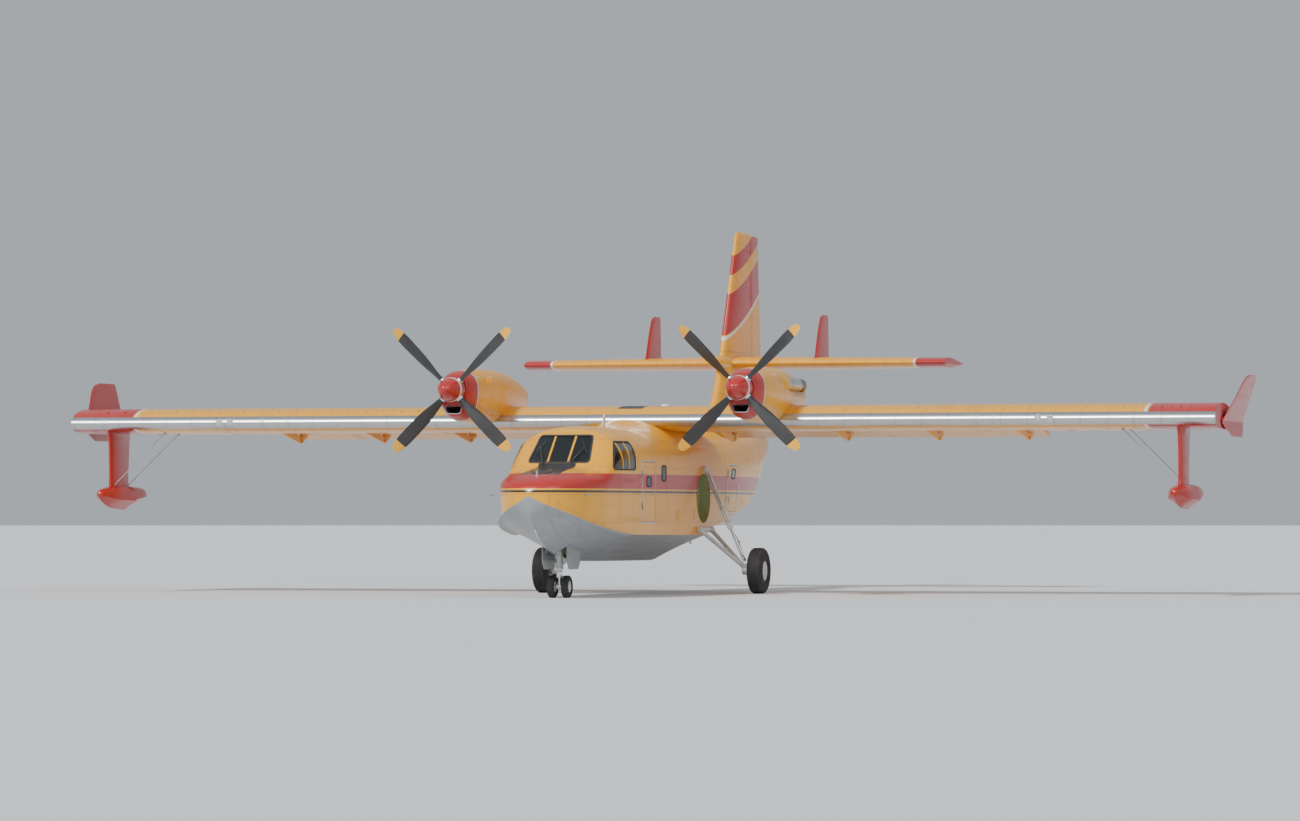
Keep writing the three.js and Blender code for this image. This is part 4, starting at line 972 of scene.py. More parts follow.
DIAL = Moulded("dial_face", "black_plastic", (0.015, 0.015, 0.018), (0.05, 0.05, 0.05), 400.0)
MARKING = Moulded("dial_marks", "black_plastic", (0.75, 0.75, 0.7), (0.5, 0.5, 0.45), 400.0)
CLOTH = Cloth("seat_cloth", "black_plastic")
LINING = Paint("cabin_lining", "cabin_lining", (0.34, 0.37, 0.37), pitch=(0.5, 0.5, 0.0), dirt=0.35,
               roughness=0.55)


# Making pieces


@dataclass(frozen=True)
class Stud:
    """The shape of a rivet, screw, bolt, latch or wick."""

    radius: float
    height: float
    top: float = 0.6  # radius of its top, as a share of its foot's
    sides: int = 6


RIVET, LARGE_RIVET, FLAT_RIVET = Stud(0.005, 0.003), Stud(0.006, 0.003), Stud(0.005, 0.0025)
WICK, SHORT_WICK = Stud(0.004, 0.14, 0.5, 5), Stud(0.004, 0.12, 0.5, 5)
SCREW, LATCH = Stud(0.008, 0.006), Stud(0.016, 0.008, 0.8, 8)
WHEEL_BOLT, SMALL_BOLT = Stud(0.011, 0.014, 0.95), Stud(0.007, 0.009, 0.95)


@cache
def studs_along_lines() -> NodeTree:
    """The geometry tree that stands studs along lines.

    Returns:
        The tree.
    """
    tree = bpy.data.node_groups.new("studs_along_lines", "GeometryNodeTree")
    tree.interface.new_socket("Lines", in_out="INPUT", socket_type="NodeSocketGeometry")
    kinds = dict.fromkeys(("Pitch", "Radius", "Height", "Top"), "Float")
    kinds |= {"Sides": "Int", "Finish": "Material"}
    for name, kind in kinds.items():
        tree.interface.new_socket(name, in_out="INPUT", socket_type="NodeSocket" + kind)
    tree.interface.new_socket("Studs", in_out="OUTPUT", socket_type="NodeSocketGeometry")
    w = Wiring(tree)
    given = tree.nodes.new("NodeGroupInput").outputs
    curve = w.add("GeometryNodeMeshToCurve", {"Mesh": given["Lines"]}).outputs[0]
    along = {"Curve": curve, "Length": given["Pitch"]}
    points = w.add("GeometryNodeResampleCurve", along, mode="LENGTH").outputs[0]
    top = w.times(given["Radius"], given["Top"])
    cone = {"Vertices": given["Sides"], "Radius Top": top, "Radius Bottom": given["Radius"],
            "Depth": given["Height"]}
    stud = w.add("GeometryNodeMeshCone", cone).outputs[0]
    facing = w.add("GeometryNodeInputNamedAttribute", {"Name": "facing"}, data_type="FLOAT_VECTOR").outputs[0]
    turn = w.add("FunctionNodeAlignRotationToVector", {"Vector": facing}, axis="Z").outputs[0]
    placed = w.add("GeometryNodeInstanceOnPoints",
                   {"Points": points, "Instance": stud, "Rotation": turn}).outputs[0]
    real = w.add("GeometryNodeRealizeInstances", {"Geometry": placed}).outputs[0]
    return w.close({"Studs": w.add("GeometryNodeSetMaterial",
                                   {"Geometry": real, "Material": given["Finish"]}).outputs[0]})


@dataclass
class Workshop:
    """Makes pieces, dresses them and puts them on their bodies."""

    pieces: list[str] = field(default_factory=list)
    suffix: str = ""  # what names end in on an assembly that has a side

    def on(self, side: Side) -> "Workshop":
        """A workshop that adds a side to every name but the airframe's."""
        return Workshop(self.pieces, f"_{side.word}")

    def dress(self, made: Object, finishes: Finish | Sequence[Finish], body: str,
              replaces: Sequence[str]) -> Object:
        """Gives an object its finishes and body, and hides the CAD nodes it stands for.

        Args:
            made: The object.
            finishes: Its finish, or several that the faces choose from.
            body: The body it rides on.
            replaces: The CAD nodes it stands for.

        Returns:
            The object.
        """
        chosen = [finishes] if isinstance(finishes, Finish) else list(finishes)
        if not made.data.materials:
            for finish in chosen:
                made.data.materials.append(finish.material())
        body = body if body == AIRFRAME else body + self.suffix
        replaces = [node + self.suffix for node in replaces]
        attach(made, body)
        if replaces:
            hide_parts(*replaces)
        self.pieces.append(made.name)
        LOG.info("%s on %s, %d faces", made.name, body, len(made.data.polygons))
        return made

    def piece(self, name: str, form: Form, finishes: Finish | Sequence[Finish], body: str = AIRFRAME,
              replaces: Sequence[str] = (), crease: float = CREASE, bevel: float = 0.0) -> Object:
        """Makes a piece from a form.

        Args:
            name: The piece's name.
            form: Its shape, which is used up.
            finishes: Its finish, or several that the faces choose from.
            body: The body it rides on.
            replaces: The CAD nodes it stands for.
            crease: The angle between faces, in degrees, above which an edge looks sharp.
            bevel: The width of the chamfer on its edges.

        Returns:
            The object.
        """
        if not form.settled:
            form.settle()
        limit = math.radians(crease)
        for face in form.mesh.faces:
            face.smooth = True
        for edge in form.mesh.edges:
            edge.smooth = len(edge.link_faces) == 2 and edge.calc_face_angle(0.0) < limit
        made = bare_object(name + self.suffix, form)
        if bevel:
            chamfer = made.modifiers.new("edges", "BEVEL")
            chamfer.width, chamfer.segments, chamfer.limit_method = bevel, 2, "ANGLE"
            chamfer.angle_limit = math.radians(40)
            chamfer.use_clamp_overlap = True
        return self.dress(made, finishes, body, replaces)

    def studs(self, name: str, lines: Sequence[Line], finish: Finish, stud: Stud, pitch: float,
              body: str = AIRFRAME) -> Object:
        """Stands studs along lines on a surface.

        Args:
            name: The piece's name.
            lines: The lines.
            finish: The studs' finish.
            stud: Their shape.
            pitch: The distance between them.
            body: The body they ride on.

        Returns:
            The object.
        """
        points = [p for line in lines for p, _ in line]
        facing = [n for line in lines for _, n in line]
        edges, start = [], 0
        for line in lines:
            edges += [(start + i, start + i + 1) for i in range(len(line) - 1)]
            start += len(line)
        mesh = bpy.data.meshes.new(name)
        mesh.from_pydata(points, edges, [])
        held = mesh.attributes.new("facing", "FLOAT_VECTOR", "POINT").data
        held.foreach_set("vector", np.array(facing, np.float32).ravel())
        guide = in_scene(name + "_guide", mesh)
        grow = guide.modifiers.new("studs", "NODES")
        grow.node_group = studs_along_lines()
        values = {"Pitch": pitch, "Radius": stud.radius, "Height": stud.height, "Top": stud.top,
                  "Sides": stud.sides, "Finish": finish.material()}
        for item in grow.node_group.interface.items_tree:
            if item.name in values:
                grow[item.identifier] = values[item.name]
        graph = bpy.context.evaluated_depsgraph_get()
        result = bpy.data.meshes.new_from_object(guide.evaluated_get(graph))
        bpy.data.objects.remove(guide)
        return self.dress(in_scene(name + self.suffix, result), finish, body, ())


@dataclass(frozen=True)
class Cutout:
    """A prism that cuts a surface: an outline drawn out along an axis, as Form.slab takes it."""

    outline: list[tuple[float, float]]
    axis: str
    low: float
    high: float

    def form(self, grow: float = 0.0) -> Form:
        """The prism, with its outline moved outwards if wanted."""
        return Form().slab(grown(self.outline, grow) if grow else self.outline, self.axis, self.low,
                           self.high)

    def holds(self, point: Vector) -> bool:
        """Whether a point lies inside the prism.

        Args:
            point: The point.

        Returns:
            True where it does.
        """
        station = NOSE_X - point.x
        u, v, along = {"x": (point.y, point.z, station), "y": (station, point.z, point.y),
                       "z": (station, point.y, point.z)}[self.axis]
        if not min(self.low, self.high) <= along <= max(self.low, self.high):
            return False
        inside = False
        for (a, b), (c, d) in zip(self.outline, self.outline[1:] + self.outline[:1]):
            if (b > v) != (d > v) and u < a + (v - b) * (c - a) / (d - b):
                inside = not inside
        return inside

    def widened(self, margin: float) -> "Cutout":
        """The same prism with its outline moved outwards."""
        return Cutout(grown(self.outline, margin), self.axis, self.low, self.high)

    def span(self) -> tuple[float, float]:
        """The first and last station that the prism reaches, with a margin."""
        reach = (self.low, self.high) if self.axis == "x" else [u for u, _ in self.outline]
        return min(reach) - 0.15, max(reach) + 0.15


def window(outline: Outline, axis: str, low: float, high: float, radius: float = 0.06) -> Cutout:
    """A cutout with rounded corners."""
    return Cutout(rounded(outline, radius), axis, low, high)


@dataclass
class Hull:
    """The stepped hull: four skins, glazing, doors, wells and what is fixed to them."""

    shop: Workshop
    skin: float = 0.05
    aft_skin: float = 0.028
    step: float = 9.7
    bow_end: float = 6.4
    centre_end: float = 11.6
    aft_end: float = 16.0
    length: float = 19.82
    roof_power: float = 2.4
    nose_round: float = 0.09
    nose_height: float = 2.3
    tip_margin: float = 0.004
    hollow: float = 0.05
    # station, keel, chine out and up, side out and up, roof
    fore_rows: tuple[tuple[float, ...], ...] = (
        (0, 2.12, 0.12, 2.2, 0.15, 2.34, 2.44),
        (0.18, 1.8, 0.43, 2.06, 0.47, 2.4, 2.58),
        (0.6, 1.44, 0.76, 1.88, 0.8, 2.43, 2.73),
        (1.2, 1.16, 1.01, 1.71, 1.04, 2.47, 2.85),
        (2.05, 0.96, 1.18, 1.56, 1.2, 2.54, 2.96),
        (2.15, 0.949, 1.189, 1.549, 1.208, 2.58, 3.053),
        (2.85, 0.871, 1.256, 1.471, 1.262, 2.86, 3.707),
        (2.95, 0.86, 1.265, 1.46, 1.27, 2.9, 3.8),
        (3.8, 0.83, 1.29, 1.42, 1.292, 3.0, 3.88),
        (6.4, 0.81, 1.295, 1.4, 1.295, 3.0, 3.88),
        (9.7, 0.8, 1.295, 1.39, 1.295, 3.0, 3.88),
    )
    aft_rows: tuple[tuple[float, ...], ...] = (
        (9.7, 0.97, 1.29, 1.5, 1.295, 3.0, 3.88),
        (12, 1.29, 1.21, 1.76, 1.27, 3.0, 3.9),
        (14, 1.6, 1.03, 2.04, 1.15, 3.05, 3.95),
        (15.6, 1.9, 0.82, 2.27, 0.96, 3.12, 4.0),
        (17.2, 2.48, 0.56, 2.76, 0.68, 3.3, 4.06),
        (18.6, 3.02, 0.3, 3.22, 0.38, 3.52, 4.06),
        (19.82, 3.48, 0.06, 3.54, 0.08, 3.64, 3.76),
    )
    drop_stations: tuple[float, float] = (6.43, 8.06)
    drop_length: float = 1.6
    well: tuple[float, float, float, float] = (9.48, 2.25, 0.59, 0.3)  # station, height, radius, depth

    def __post_init__(self) -> None:
        """Draws the curves and names the cutouts."""
        self.fore, self.aft = Curves(self.fore_rows), Curves(self.aft_rows)
        self.front_door = window(box_outline(4.45, 5.48, 1.7, 3.07), "y", 0.9, 1.5, 0.09)
        self.rear_door = window(box_outline(11.75, 12.78, 1.93, 3.05), "y", 0.9, 1.5, 0.09)
        self.windscreen = window([(-0.7, 3.06), (0.7, 3.06), (0.6, 3.64), (-0.6, 3.64)], "x", 1.9, 2.99)
        pane = [(2.48, 2.9), (3.9, 2.9), (3.9, 3.5), (2.99, 3.5)]
        self.side_windows = {side: window(pane, "y", side * 0.65, side * 1.4, 0.09) for side in Side}
        self.cabin_windows = {
            side: window(box_outline(6.02, 6.34, 2.66, 2.98), "y", side * 0.9, side * 1.5, 0.08)
            for side in Side
        }
        station, up, radius, _ = self.well
        circle = [(station + radius * math.cos(a), up + radius * math.sin(a)) for a in turns(36)]
        self.bay = Cutout(box_outline(1.9, 2.9, -0.275, 0.275), "z", 0.7, 1.616)
        openings = [self.front_door, self.rear_door, self.windscreen, self.bay,
                    *self.side_windows.values(), *self.cabin_windows.values(),
                    *(self.drop_door(s, side) for side in Side for s in self.drop_stations),
                    *(Cutout(circle, "y", side * 1.0, side * 1.5) for side in Side)]
        self.openings = [cut.widened(0.05) for cut in openings]

    def between(self, lines: Sequence[Line]) -> list[Line]:
        """The parts of lines on the skin that cross no opening.

        Args:
            lines: The lines.

        Returns:
            The parts, with their points close together.
        """
        made, apart = [], 0.03
        for line in lines:
            part: Line = []
            for (first, facing), (last, turned) in zip(line, line[1:]):
                count = max(1, math.ceil((last - first).length / apart))
                for k in range(count):
                    point = first.lerp(last, k / count)
                    if any(cut.holds(point) for cut in self.openings):
                        made.append(part)
                        part = []
                    else:
                        part.append((point, facing.lerp(turned, k / count)))
            made.append(part)
        return [part for part in made if len(part) > 1]

    def zoned(self, form: Form) -> Form:
        """Gives a skin's faces finish 0 on the topsides, 1 on the planing bottom and 2 inside.

        Args:
            form: The skin.

        Returns:
            The skin itself.
        """
        form.mesh.normal_update()
        for face in form.mesh.faces:
            centre = face.calc_center_median()
            station = min(max(NOSE_X - centre.x, 0.0), self.length)
            keel, _, chine, _, _, roof = self.row(station)
            size = self.rounding(station)
            chine = mix(self.nose_height, chine, size) + self.tip_margin * (1 - size)
            outward = Vector((0, centre.y, centre.z - (keel + roof) / 2))
            upright = abs(face.normal.x) > 0.95
            bulkhead = upright and 0.5 < station < self.length - 0.1 and abs(station - self.step) > 0.1
            if bulkhead or (face.normal.dot(outward) < 0 and not upright):
                face.material_index = 2
            elif centre.z < chine:
                face.material_index = 1
            else:
                face.material_index = 0
        return form

    def row(self, station: float) -> list[float]:
        """The hull's values at a station."""
        return (self.fore if station < self.step else self.aft)(station)

    def rounding(self, station: float) -> float:
        """How much of its full size an outline has at a station, less than 1 at the round nose."""
        return math.sqrt(max(0.0, 1 - (1 - min(1.0, (station + 0.002) / self.nose_round)) ** 2))

    def bottom(self, keel: float, chine: float, share: float) -> float:
        """Height of the hollow bottom at a share of the way from a keel's height to a chine's."""
        return mix(keel, chine, share) + self.hollow * math.sin(math.pi * share) * (chine - keel)

    def ring(self, station: float, inset: float = 0.0) -> Ring:
        """The hull's outline at a station.

        Args:
            station: Where it is taken.
            inset: How far it is moved in, or out where it is negative.

        Returns:
            Its points from the keel up to port and down to starboard.
        """
        keel, chine_y, chine_z, side_y, side_z, roof = self.row(station)
        keel, chine_y, chine_z = keel + 1.1 * inset, chine_y - inset, chine_z + 0.6 * inset
        side_y, roof = side_y - inset, roof - inset
        power = 2 / self.roof_power
        half = [(chine_y * t, self.bottom(keel, chine_z, t)) for t in shares(6)]
        half += [(mix(chine_y, side_y, t), mix(chine_z, side_z, t)) for t in shares(5)[1:]]
        for t in shares(14)[1:]:
            across, up = math.cos(t * math.pi / 2), math.sin(t * math.pi / 2)
            half.append((side_y * max(across, 0.0) ** power, side_z + (roof - side_z) * up**power))
        half[-1] = (0.0, roof)
        scale = self.rounding(station)
        outline = half + [(-y, z) for y, z in half[-2:0:-1]]
        return [at(station, y * scale, mix(self.nose_height, z, scale)) for y, z in outline]

    def stations(self, start: float, end: float) -> list[float]:
        """Stations that are close together at the nose and at the step.

        Args:
            start: The first of them.
            end: The last of them.

        Returns:
            The stations in order.
        """
        wanted = [0.01, 0.03, 0.06, 0.09, 0.13, 0.18, 0.25, 0.35, 0.45, 0.6, 0.75, 0.9, 1.05]
        wanted += spaced(1.2, 0.15, 6) + spaced(2.05, 0.05, 20)
        wanted += spaced(3.1, 0.175, 38) + [self.step - 0.001, self.step] + spaced(9.9, 0.25, 40)
        return within(wanted, start, end)

    def solid(self, start: float, end: float, inset: float = 0.0) -> Form:
        """The hull as a closed solid between two stations, moved in or out."""
        return Form().loft([self.ring(s, inset) for s in self.stations(start, end)])

    def patch(self, cutout: Cutout, proud: float, depth: float, grow: float = 0.0,
              hole: float | None = None) -> Form:
        """A panel that follows the hull's skin.

        Args:
            cutout: The prism whose outline it has.
            proud: How far it stands out of the skin.
            depth: How deep under the skin it ends.
            grow: How far its outline is moved outwards.
            hole: How far the cutout's own outline is moved outwards as a hole, if there is one.

        Returns:
            The panel.
        """
        start, end = cutout.span()
        start, end = max(start, 0.0), min(end, self.length)
        tools = [("INTERSECT", cutout.form(grow)),
                 ("DIFFERENCE", self.solid(max(start - 0.1, 0.0), end + 0.1, depth))]
        if hole is not None:
            tools.append(("DIFFERENCE", cutout.form(hole)))
        return self.solid(start, end, -proud).carve(*tools)

    def line(self, station: float, low: int, high: int) -> Line:
        """Part of the outline at a station.

        Args:
            station: Where it is taken.
            low: The number of its first point.
            high: The number of its last point.

        Returns:
            The line.
        """
        ring = self.ring(station)
        count = len(ring)
        made = []
        for i in range(low, high + 1):
            along = ring[(i + 1) % count] - ring[i - 1]
            made.append((ring[i % count], Vector((0, along.z, -along.y)).normalized()))
        return made

    def drop_door(self, station: float, side: Side) -> Cutout:
        """The opening of a drop door in the hull's bottom."""
        edges = sorted((side * 0.14, side * 0.88))
        return Cutout(box_outline(station, station + self.drop_length, *edges), "z", 0.6, 1.35)

    def well_tool(self, side: Side, radius: float, out: float, back: float) -> Form:
        """A cylinder about a wheel well's axis.

        Args:
            side: The well's side.
            radius: The cylinder's radius.
            out: How far from the hull's middle it ends.
            back: How far from the middle it starts.

        Returns:
            The cylinder.
        """
        station, up, _, _ = self.well
        base = at(station, side * back, up)
        return Form().lathe([(radius, 0.0), (radius, out - back)], base, PORT * side, 48)

    def build_skins(self) -> None:
        """Makes the four skins with their openings."""
        bay = self.bay
        bow = self.solid(0.0, self.bow_end).carve(
            ("DIFFERENCE", self.solid(0.42, self.bow_end - self.skin, self.skin)),
            *(("DIFFERENCE", cut.form())
              for cut in (bay, self.windscreen, *self.side_windows.values(), self.front_door)),
        )
        self.shop.piece("bow_skin", self.zoned(bow), (HULL_PAINT, BOTTOM_PAINT, LINING),
                        replaces=["hull_bow"])
        wall = 0.024
        liner = self.solid(1.7, 3.1, 0.004).carve(
            ("INTERSECT", Cutout(grown(bay.outline, wall), "z", bay.low, bay.high + wall).form()),
            ("DIFFERENCE", bay.form()),
        )
        self.shop.piece("nose_bay_liner", liner, BAY_PAINT)
        tools = [("DIFFERENCE", self.solid(self.bow_end + self.skin, self.centre_end + 0.01, self.skin))]
        for side in Side:
            tools.append(("DIFFERENCE", self.well_tool(side, self.well[2], 1.4, 1.1)))
            tools += [("DIFFERENCE", self.drop_door(s, side).form()) for s in self.drop_stations]
        centre = self.zoned(self.solid(self.bow_end, self.centre_end).carve(*tools))
        self.shop.piece("centre_skin", centre, (HULL_PAINT, BOTTOM_PAINT, BAY_PAINT),
                        replaces=["hull_centre"])
        aft = self.solid(self.centre_end, self.aft_end).carve(
            ("DIFFERENCE", self.solid(self.centre_end - 0.01, self.aft_end - self.aft_skin, self.aft_skin)),
            ("DIFFERENCE", self.rear_door.form()),
        )
        self.shop.piece("aft_skin", self.zoned(aft), (HULL_PAINT, BOTTOM_PAINT, BAY_PAINT),
                        replaces=["hull_aft"])
        cone = self.zoned(self.solid(self.aft_end, self.length).settle())
        self.shop.piece("tail_cone_skin", cone, (HULL_PAINT, BOTTOM_PAINT), replaces=["tail_cone"])

    def build_wells(self) -> None:
        """Makes the wheel wells' cups with their ribs."""
        station, up, radius, depth = self.well
        for side in Side:
            shop = self.shop.on(side)
            base, out = at(station, 0, up), PORT * side
            under, floor = 1.275 - depth, 1.295 - depth
            cup = [(radius + 0.02, 1.286), (radius + 0.02, under), (0.0, under), (0.0, floor),
                   (radius - 0.03, floor), (radius, 1.325 - depth), (radius, 1.286)]
            form = Form().lathe(cup, base, out, 64, looped=True)
            outline = box_outline(station + 0.1, station + radius - 0.05, up - 0.012, up + 0.012)
            for a in turns(8):
                spoke = Matrix.Rotation(a, 4, "Y")
                bar = Form().slab(outline, "y", side * (1.29 - depth), side * (1.33 - depth))
                form.take(bar, Matrix.Translation(base) @ spoke @ Matrix.Translation(-base))
            shop.piece("wheel_well", form, BAY_PAINT, crease=40)
            lip = [(-0.004, 1.29), (0.03, 1.29), (0.03, 1.299), (-0.004, 1.303)]
            lip = [(radius + more, along) for more, along in lip]
            shop.piece("wheel_well_lip", Form().lathe(lip, base, out, 64, looped=True), HULL_PAINT)

    def build_glazing(self) -> None:
        """Makes the panes, their seals, the posts and the wipers."""
        self.shop.piece("windscreen_panes", self.patch(self.windscreen, -0.003, 0.02, -0.0015), PANE,
                        replaces=["windscreen"])
        self.shop.piece("windscreen_frame", self.patch(self.windscreen, 0.008, 0.06, 0.035, 0.0), SEAL)
        bars = [Cutout(box_outline(y - 0.022, y + 0.022, 3.03, 3.67), "x", 1.9, 2.99) for y in (-0.24, 0.24)]
        posts = self.patch(bars[0], 0.006, 0.026)
        posts.take(self.patch(bars[1], 0.006, 0.026))
        self.shop.piece("windscreen_posts", posts, HULL_PAINT)
        for side, cut in self.side_windows.items():
            shop = self.shop.on(side)
            shop.piece("side_panes", self.patch(cut, -0.003, 0.02, -0.0015), PANE,
                            replaces=["side_window"])
            shop.piece("side_pane_frame", self.patch(cut, 0.008, 0.06, 0.035, 0.0), SEAL)
            form = Form()
            for station in (3.02, 3.46):
                bar = Cutout(box_outline(station - 0.022, station + 0.022, 2.88, 3.52), "y", side * 0.65,
                             side * 1.4)
                form.take(self.patch(bar, 0.006, 0.026))
            shop.piece("side_posts", form, HULL_PAINT)
            cabin = self.cabin_windows[side]
            # The cabin window is a dark sheet on unbroken skin: glass, with painted shade standing for the
            # unlit cabin behind it.
            shop.piece("cabin_pane", self.patch(cabin, 0.003, 0.01, -0.004), SHADED_WINDOW_PANE)
            shop.piece("cabin_pane_frame", self.patch(cabin, 0.01, 0.01, 0.03, -0.004), SEAL)
            wiper = Form()
            foot = at(2.1, side * 0.34, 3.02)
            tip = at(2.5, side * 0.52, 3.4)
            wiper.tube([foot, foot + Vector((0.0, 0, 0.05)), tip], [0.014, 0.012, 0.007], 8)
            blade = at(2.35, side * 0.62, 3.26)
            wiper.tube([blade, tip, tip + (tip - blade) * 0.9], 0.006, 6)
            shop.piece("wiper", wiper, PLASTIC)

    def knuckles(self, station: float, out: float, sill: float, height: float, on_door: bool) -> Form:
        """The knuckles of a side door's upright hinge.

        Args:
            station: Where the hinge stands.
            out: How far out it stands.
            sill: The height of the door's foot.
            height: The door's height.
            on_door: Whether the knuckles ride on the door, where they take its last finish.

        Returns:
            The knuckles.
        """
        form = Form()
        finish = 3 if on_door else 0
        for share in (0.2, 0.75):
            low = sill + share * height + (0.0 if on_door else 0.0804)
            form.lathe([(0.013, 0.0), (0.013, 0.08)], at(station, out, low), UP, 16, finish)
            near, far = sorted((station, station + (0.045 if on_door else -0.045)))
            form.slab(box_outline(near, far, low + 0.004, low + 0.076), "y", out - 0.02, out - 0.006, finish)
        return form

    def build_doors(self) -> None:
        """Makes the two side doors and the four drop doors with their frames."""
        rows = (("front_door", self.front_door, 4.45, 1.31, 1.7, 1.37, self.skin),
                ("rear_door", self.rear_door, 11.75, 1.289, 1.93, 1.12, self.aft_skin))
        for name, cut, station, out, sill, height, skin in rows:
            leaf = self.zoned(self.patch(cut, 0.0, skin, -RUN))
            leaf.take(self.knuckles(station, out, sill, height, True))
            latch = sill + 0.62
            grip = [at(station + 0.86, out + 0.012, latch), at(station + 0.72, out + 0.012, latch)]
            leaf.tube([grip[0] - PORT * 0.05, *grip, grip[1] - PORT * 0.05], 0.009, 8, 3)
            inner = out - skin - 0.03
            lever = ((0.88, inner + 0.03), (0.88, inner), (0.7, inner))
            leaf.tube([at(station + back, y, latch) for back, y in lever], 0.01, 8, 3)
            self.shop.piece(f"{name}_leaf", leaf, (HULL_PAINT, BOTTOM_PAINT, LINING, ALLOY), name, [name])
            surround = self.patch(cut, 0.004, skin, 0.03, 0.0)
            surround.take(self.knuckles(station, out, sill, height, False))
            self.shop.piece(f"{name}_frame", surround, ALLOY)
            pane = window(box_outline(station + 0.36, station + 0.7, sill + 0.82, sill + 1.02), "y", 0.9, 1.5,
                          0.06)
            # The door window is a dark sheet on the unbroken leaf: glass, with painted shade standing for the
            # unlit room behind it.
            self.shop.piece(f"{name}_pane", self.patch(pane, 0.003, 0.01, -0.004), SHADED_WINDOW_PANE, name)
            self.shop.piece(f"{name}_pane_frame", self.patch(pane, 0.009, 0.01, 0.025, -0.004), SEAL, name)
        for side in Side:
            for station, word in zip(self.drop_stations, ("front", "rear")):
                name = f"drop_door_{word}_{side.word}"
                leaf = self.zoned(self.patch(self.drop_door(station, side), 0.0, self.skin, -RUN))
                for share in (0.2, 0.75):
                    start = station + share * self.drop_length
                    leaf.lathe([(0.013, 0.0), (0.013, 0.08)], at(start + 0.08, side * 0.882, 1.186), AHEAD,
                               16, 3)
                self.shop.piece(f"{name}_leaf", leaf, (BOTTOM_PAINT, BOTTOM_PAINT, BAY_PAINT, ALLOY), name,
                                [name])
                ribs = Form()
                for share in (0.12, 0.5, 0.88):
                    ribs.take(self.rib(station + share * self.drop_length, side))
                self.shop.piece(f"{name}_ribs", ribs, BAY_PAINT, name)

    def rib(self, station: float, side: Side) -> Form:
        """A stiffener across a drop door's inner face.

        Args:
            station: Where its middle is.
            side: The door's side.

        Returns:
            The stiffener.
        """
        ring = self.ring(station, self.skin)
        keel, chine = ring[0].z, ring[6].z
        feet = sorted((side * y, self.bottom(keel, chine, share)) for y, share in ((0.18, 0.18), (0.76, 0.6)))
        outline = [(y, z - 0.004) for y, z in feet] + [(y, z + 0.03) for y, z in reversed(feet)]
        return Form().slab(outline, "x", station - 0.012, station + 0.012)

    def build_fittings(self) -> None:
        """Makes the rails, keel band, hatches, straps, rivets, lamps and aerials."""
        for side in Side:
            rail = []
            for s in spaced(0.3, 0.2, 17):
                _, y, z, _, _, _ = self.row(s)
                fade = min(1.0, (s - 0.2) / 0.6, (3.7 - s) / 0.6)
                section = [(-0.03, -0.012), (-0.01, 0.02)]
                section += [(0.085 * fade, -0.035 * fade), (0.08 * fade, -0.05 * fade)]
                rail.append([at(s, side * (y + out), z + up) for out, up in section])
            self.shop.on(side).piece("spray_rail", Form().loft(rail), BOTTOM_PAINT)
        keel = [at(s, 0, self.row(s)[0] - 0.002) for s in spaced(0.5, 0.3, 31)]
        self.shop.piece("keel_band", Form().tube(keel, 0.016, 8), ALLOY)
        lines = []
        for s in spaced(0.33, 0.46, 42):
            if 6.8 < s < 11.2:
                lines += [self.line(s, 7, 16), self.line(s, 34, 43)]
            else:
                lines.append(self.line(s, 7, 43))
        self.shop.studs("hull_rivets", self.between(lines), HULL_PAINT, LARGE_RIVET, 0.085)
        bottom = []
        for s in spaced(1.25, 0.46, 34):
            bottom += [self.line(s, 1, 6), self.line(s, 44, 49)]
        self.shop.studs("bottom_rivets", self.between(bottom), BOTTOM_PAINT, LARGE_RIVET, 0.1)
        straps = Form()
        for s in (4.2, 6.4, 11.6, 16.0):
            band = Cutout(box_outline(-1.6, 1.6, 1.9 if s < 16 else 2.6, 4.4), "x", s - 0.03, s + 0.03)
            straps.take(self.patch(band, 0.003, 0.004))
        self.shop.piece("joint_straps", straps, HULL_PAINT)
        hatch = window(box_outline(0.85, 1.35, -0.22, 0.22), "z", 2.5, 3.2, 0.14)
        self.shop.piece("bow_hatch", self.patch(hatch, 0.012, 0.02), HULL_PAINT, bevel=0.003)
        roof_hatch = window(box_outline(4.7, 5.3, -0.28, 0.28), "z", 3.5, 4.2, 0.08)
        self.shop.piece("roof_hatch", self.patch(roof_hatch, 0.01, 0.02), HULL_PAINT, bevel=0.003)
        post = [(0.05, -0.03), (0.05, 0.0), (0.022, 0.015), (0.022, 0.08), (0.04, 0.095), (0.04, 0.11),
                (0.0, 0.118)]
        self.shop.piece("bow_bollard", Form().lathe(post, at(0.62, 0, self.row(0.62)[5]), UP, 20), ALLOY)
        ring = [at(0.08, 0.04 * math.cos(a), 2.25 + 0.04 * math.sin(a)) for a in turns(16, 1)]
        self.shop.piece("mooring_ring", Form().tube(ring, 0.008, 8), STEEL)
        aerials = Form()
        for s, z, height in ((5.6, 3.87, 0.32), (13.1, 3.91, 0.28)):
            outline = [(s - 0.12, z - 0.02), (s + 0.14, z - 0.02), (s + 0.2, z + height),
                       (s + 0.08, z + height)]
            aerials.slab(rounded(outline, 0.03), "y", -0.012, 0.012)
        aerials.slab(rounded([(12.6, 1.4), (12.86, 1.44), (12.94, 1.16), (12.82, 1.14)], 0.02), "y", -0.01,
                     0.01)
        self.shop.piece("blade_aerials", aerials, WHITE_PAINT, bevel=0.004)
        dome = [(0.06, 0.0), (0.06, 0.02), (0.045, 0.075), (0.02, 0.1), (0.0, 0.105)]
        self.shop.piece("roof_beacon", Form().lathe(dome, at(12.2, 0, 3.895), UP, 24), LAMP_RED)
        for side in Side:
            shop = self.shop.on(side)
            probe = [at(1.05, side * 0.98, 2.3), at(1.0, side * 1.12, 2.3), at(0.72, side * 1.14, 2.3)]
            shop.piece("pitot", Form().tube(probe, [0.016, 0.014, 0.009], 10), ALLOY)
            outline = [(9.74, 1.06), (9.74, 1.2), (10.1, 1.25), (10.1, 1.14)]
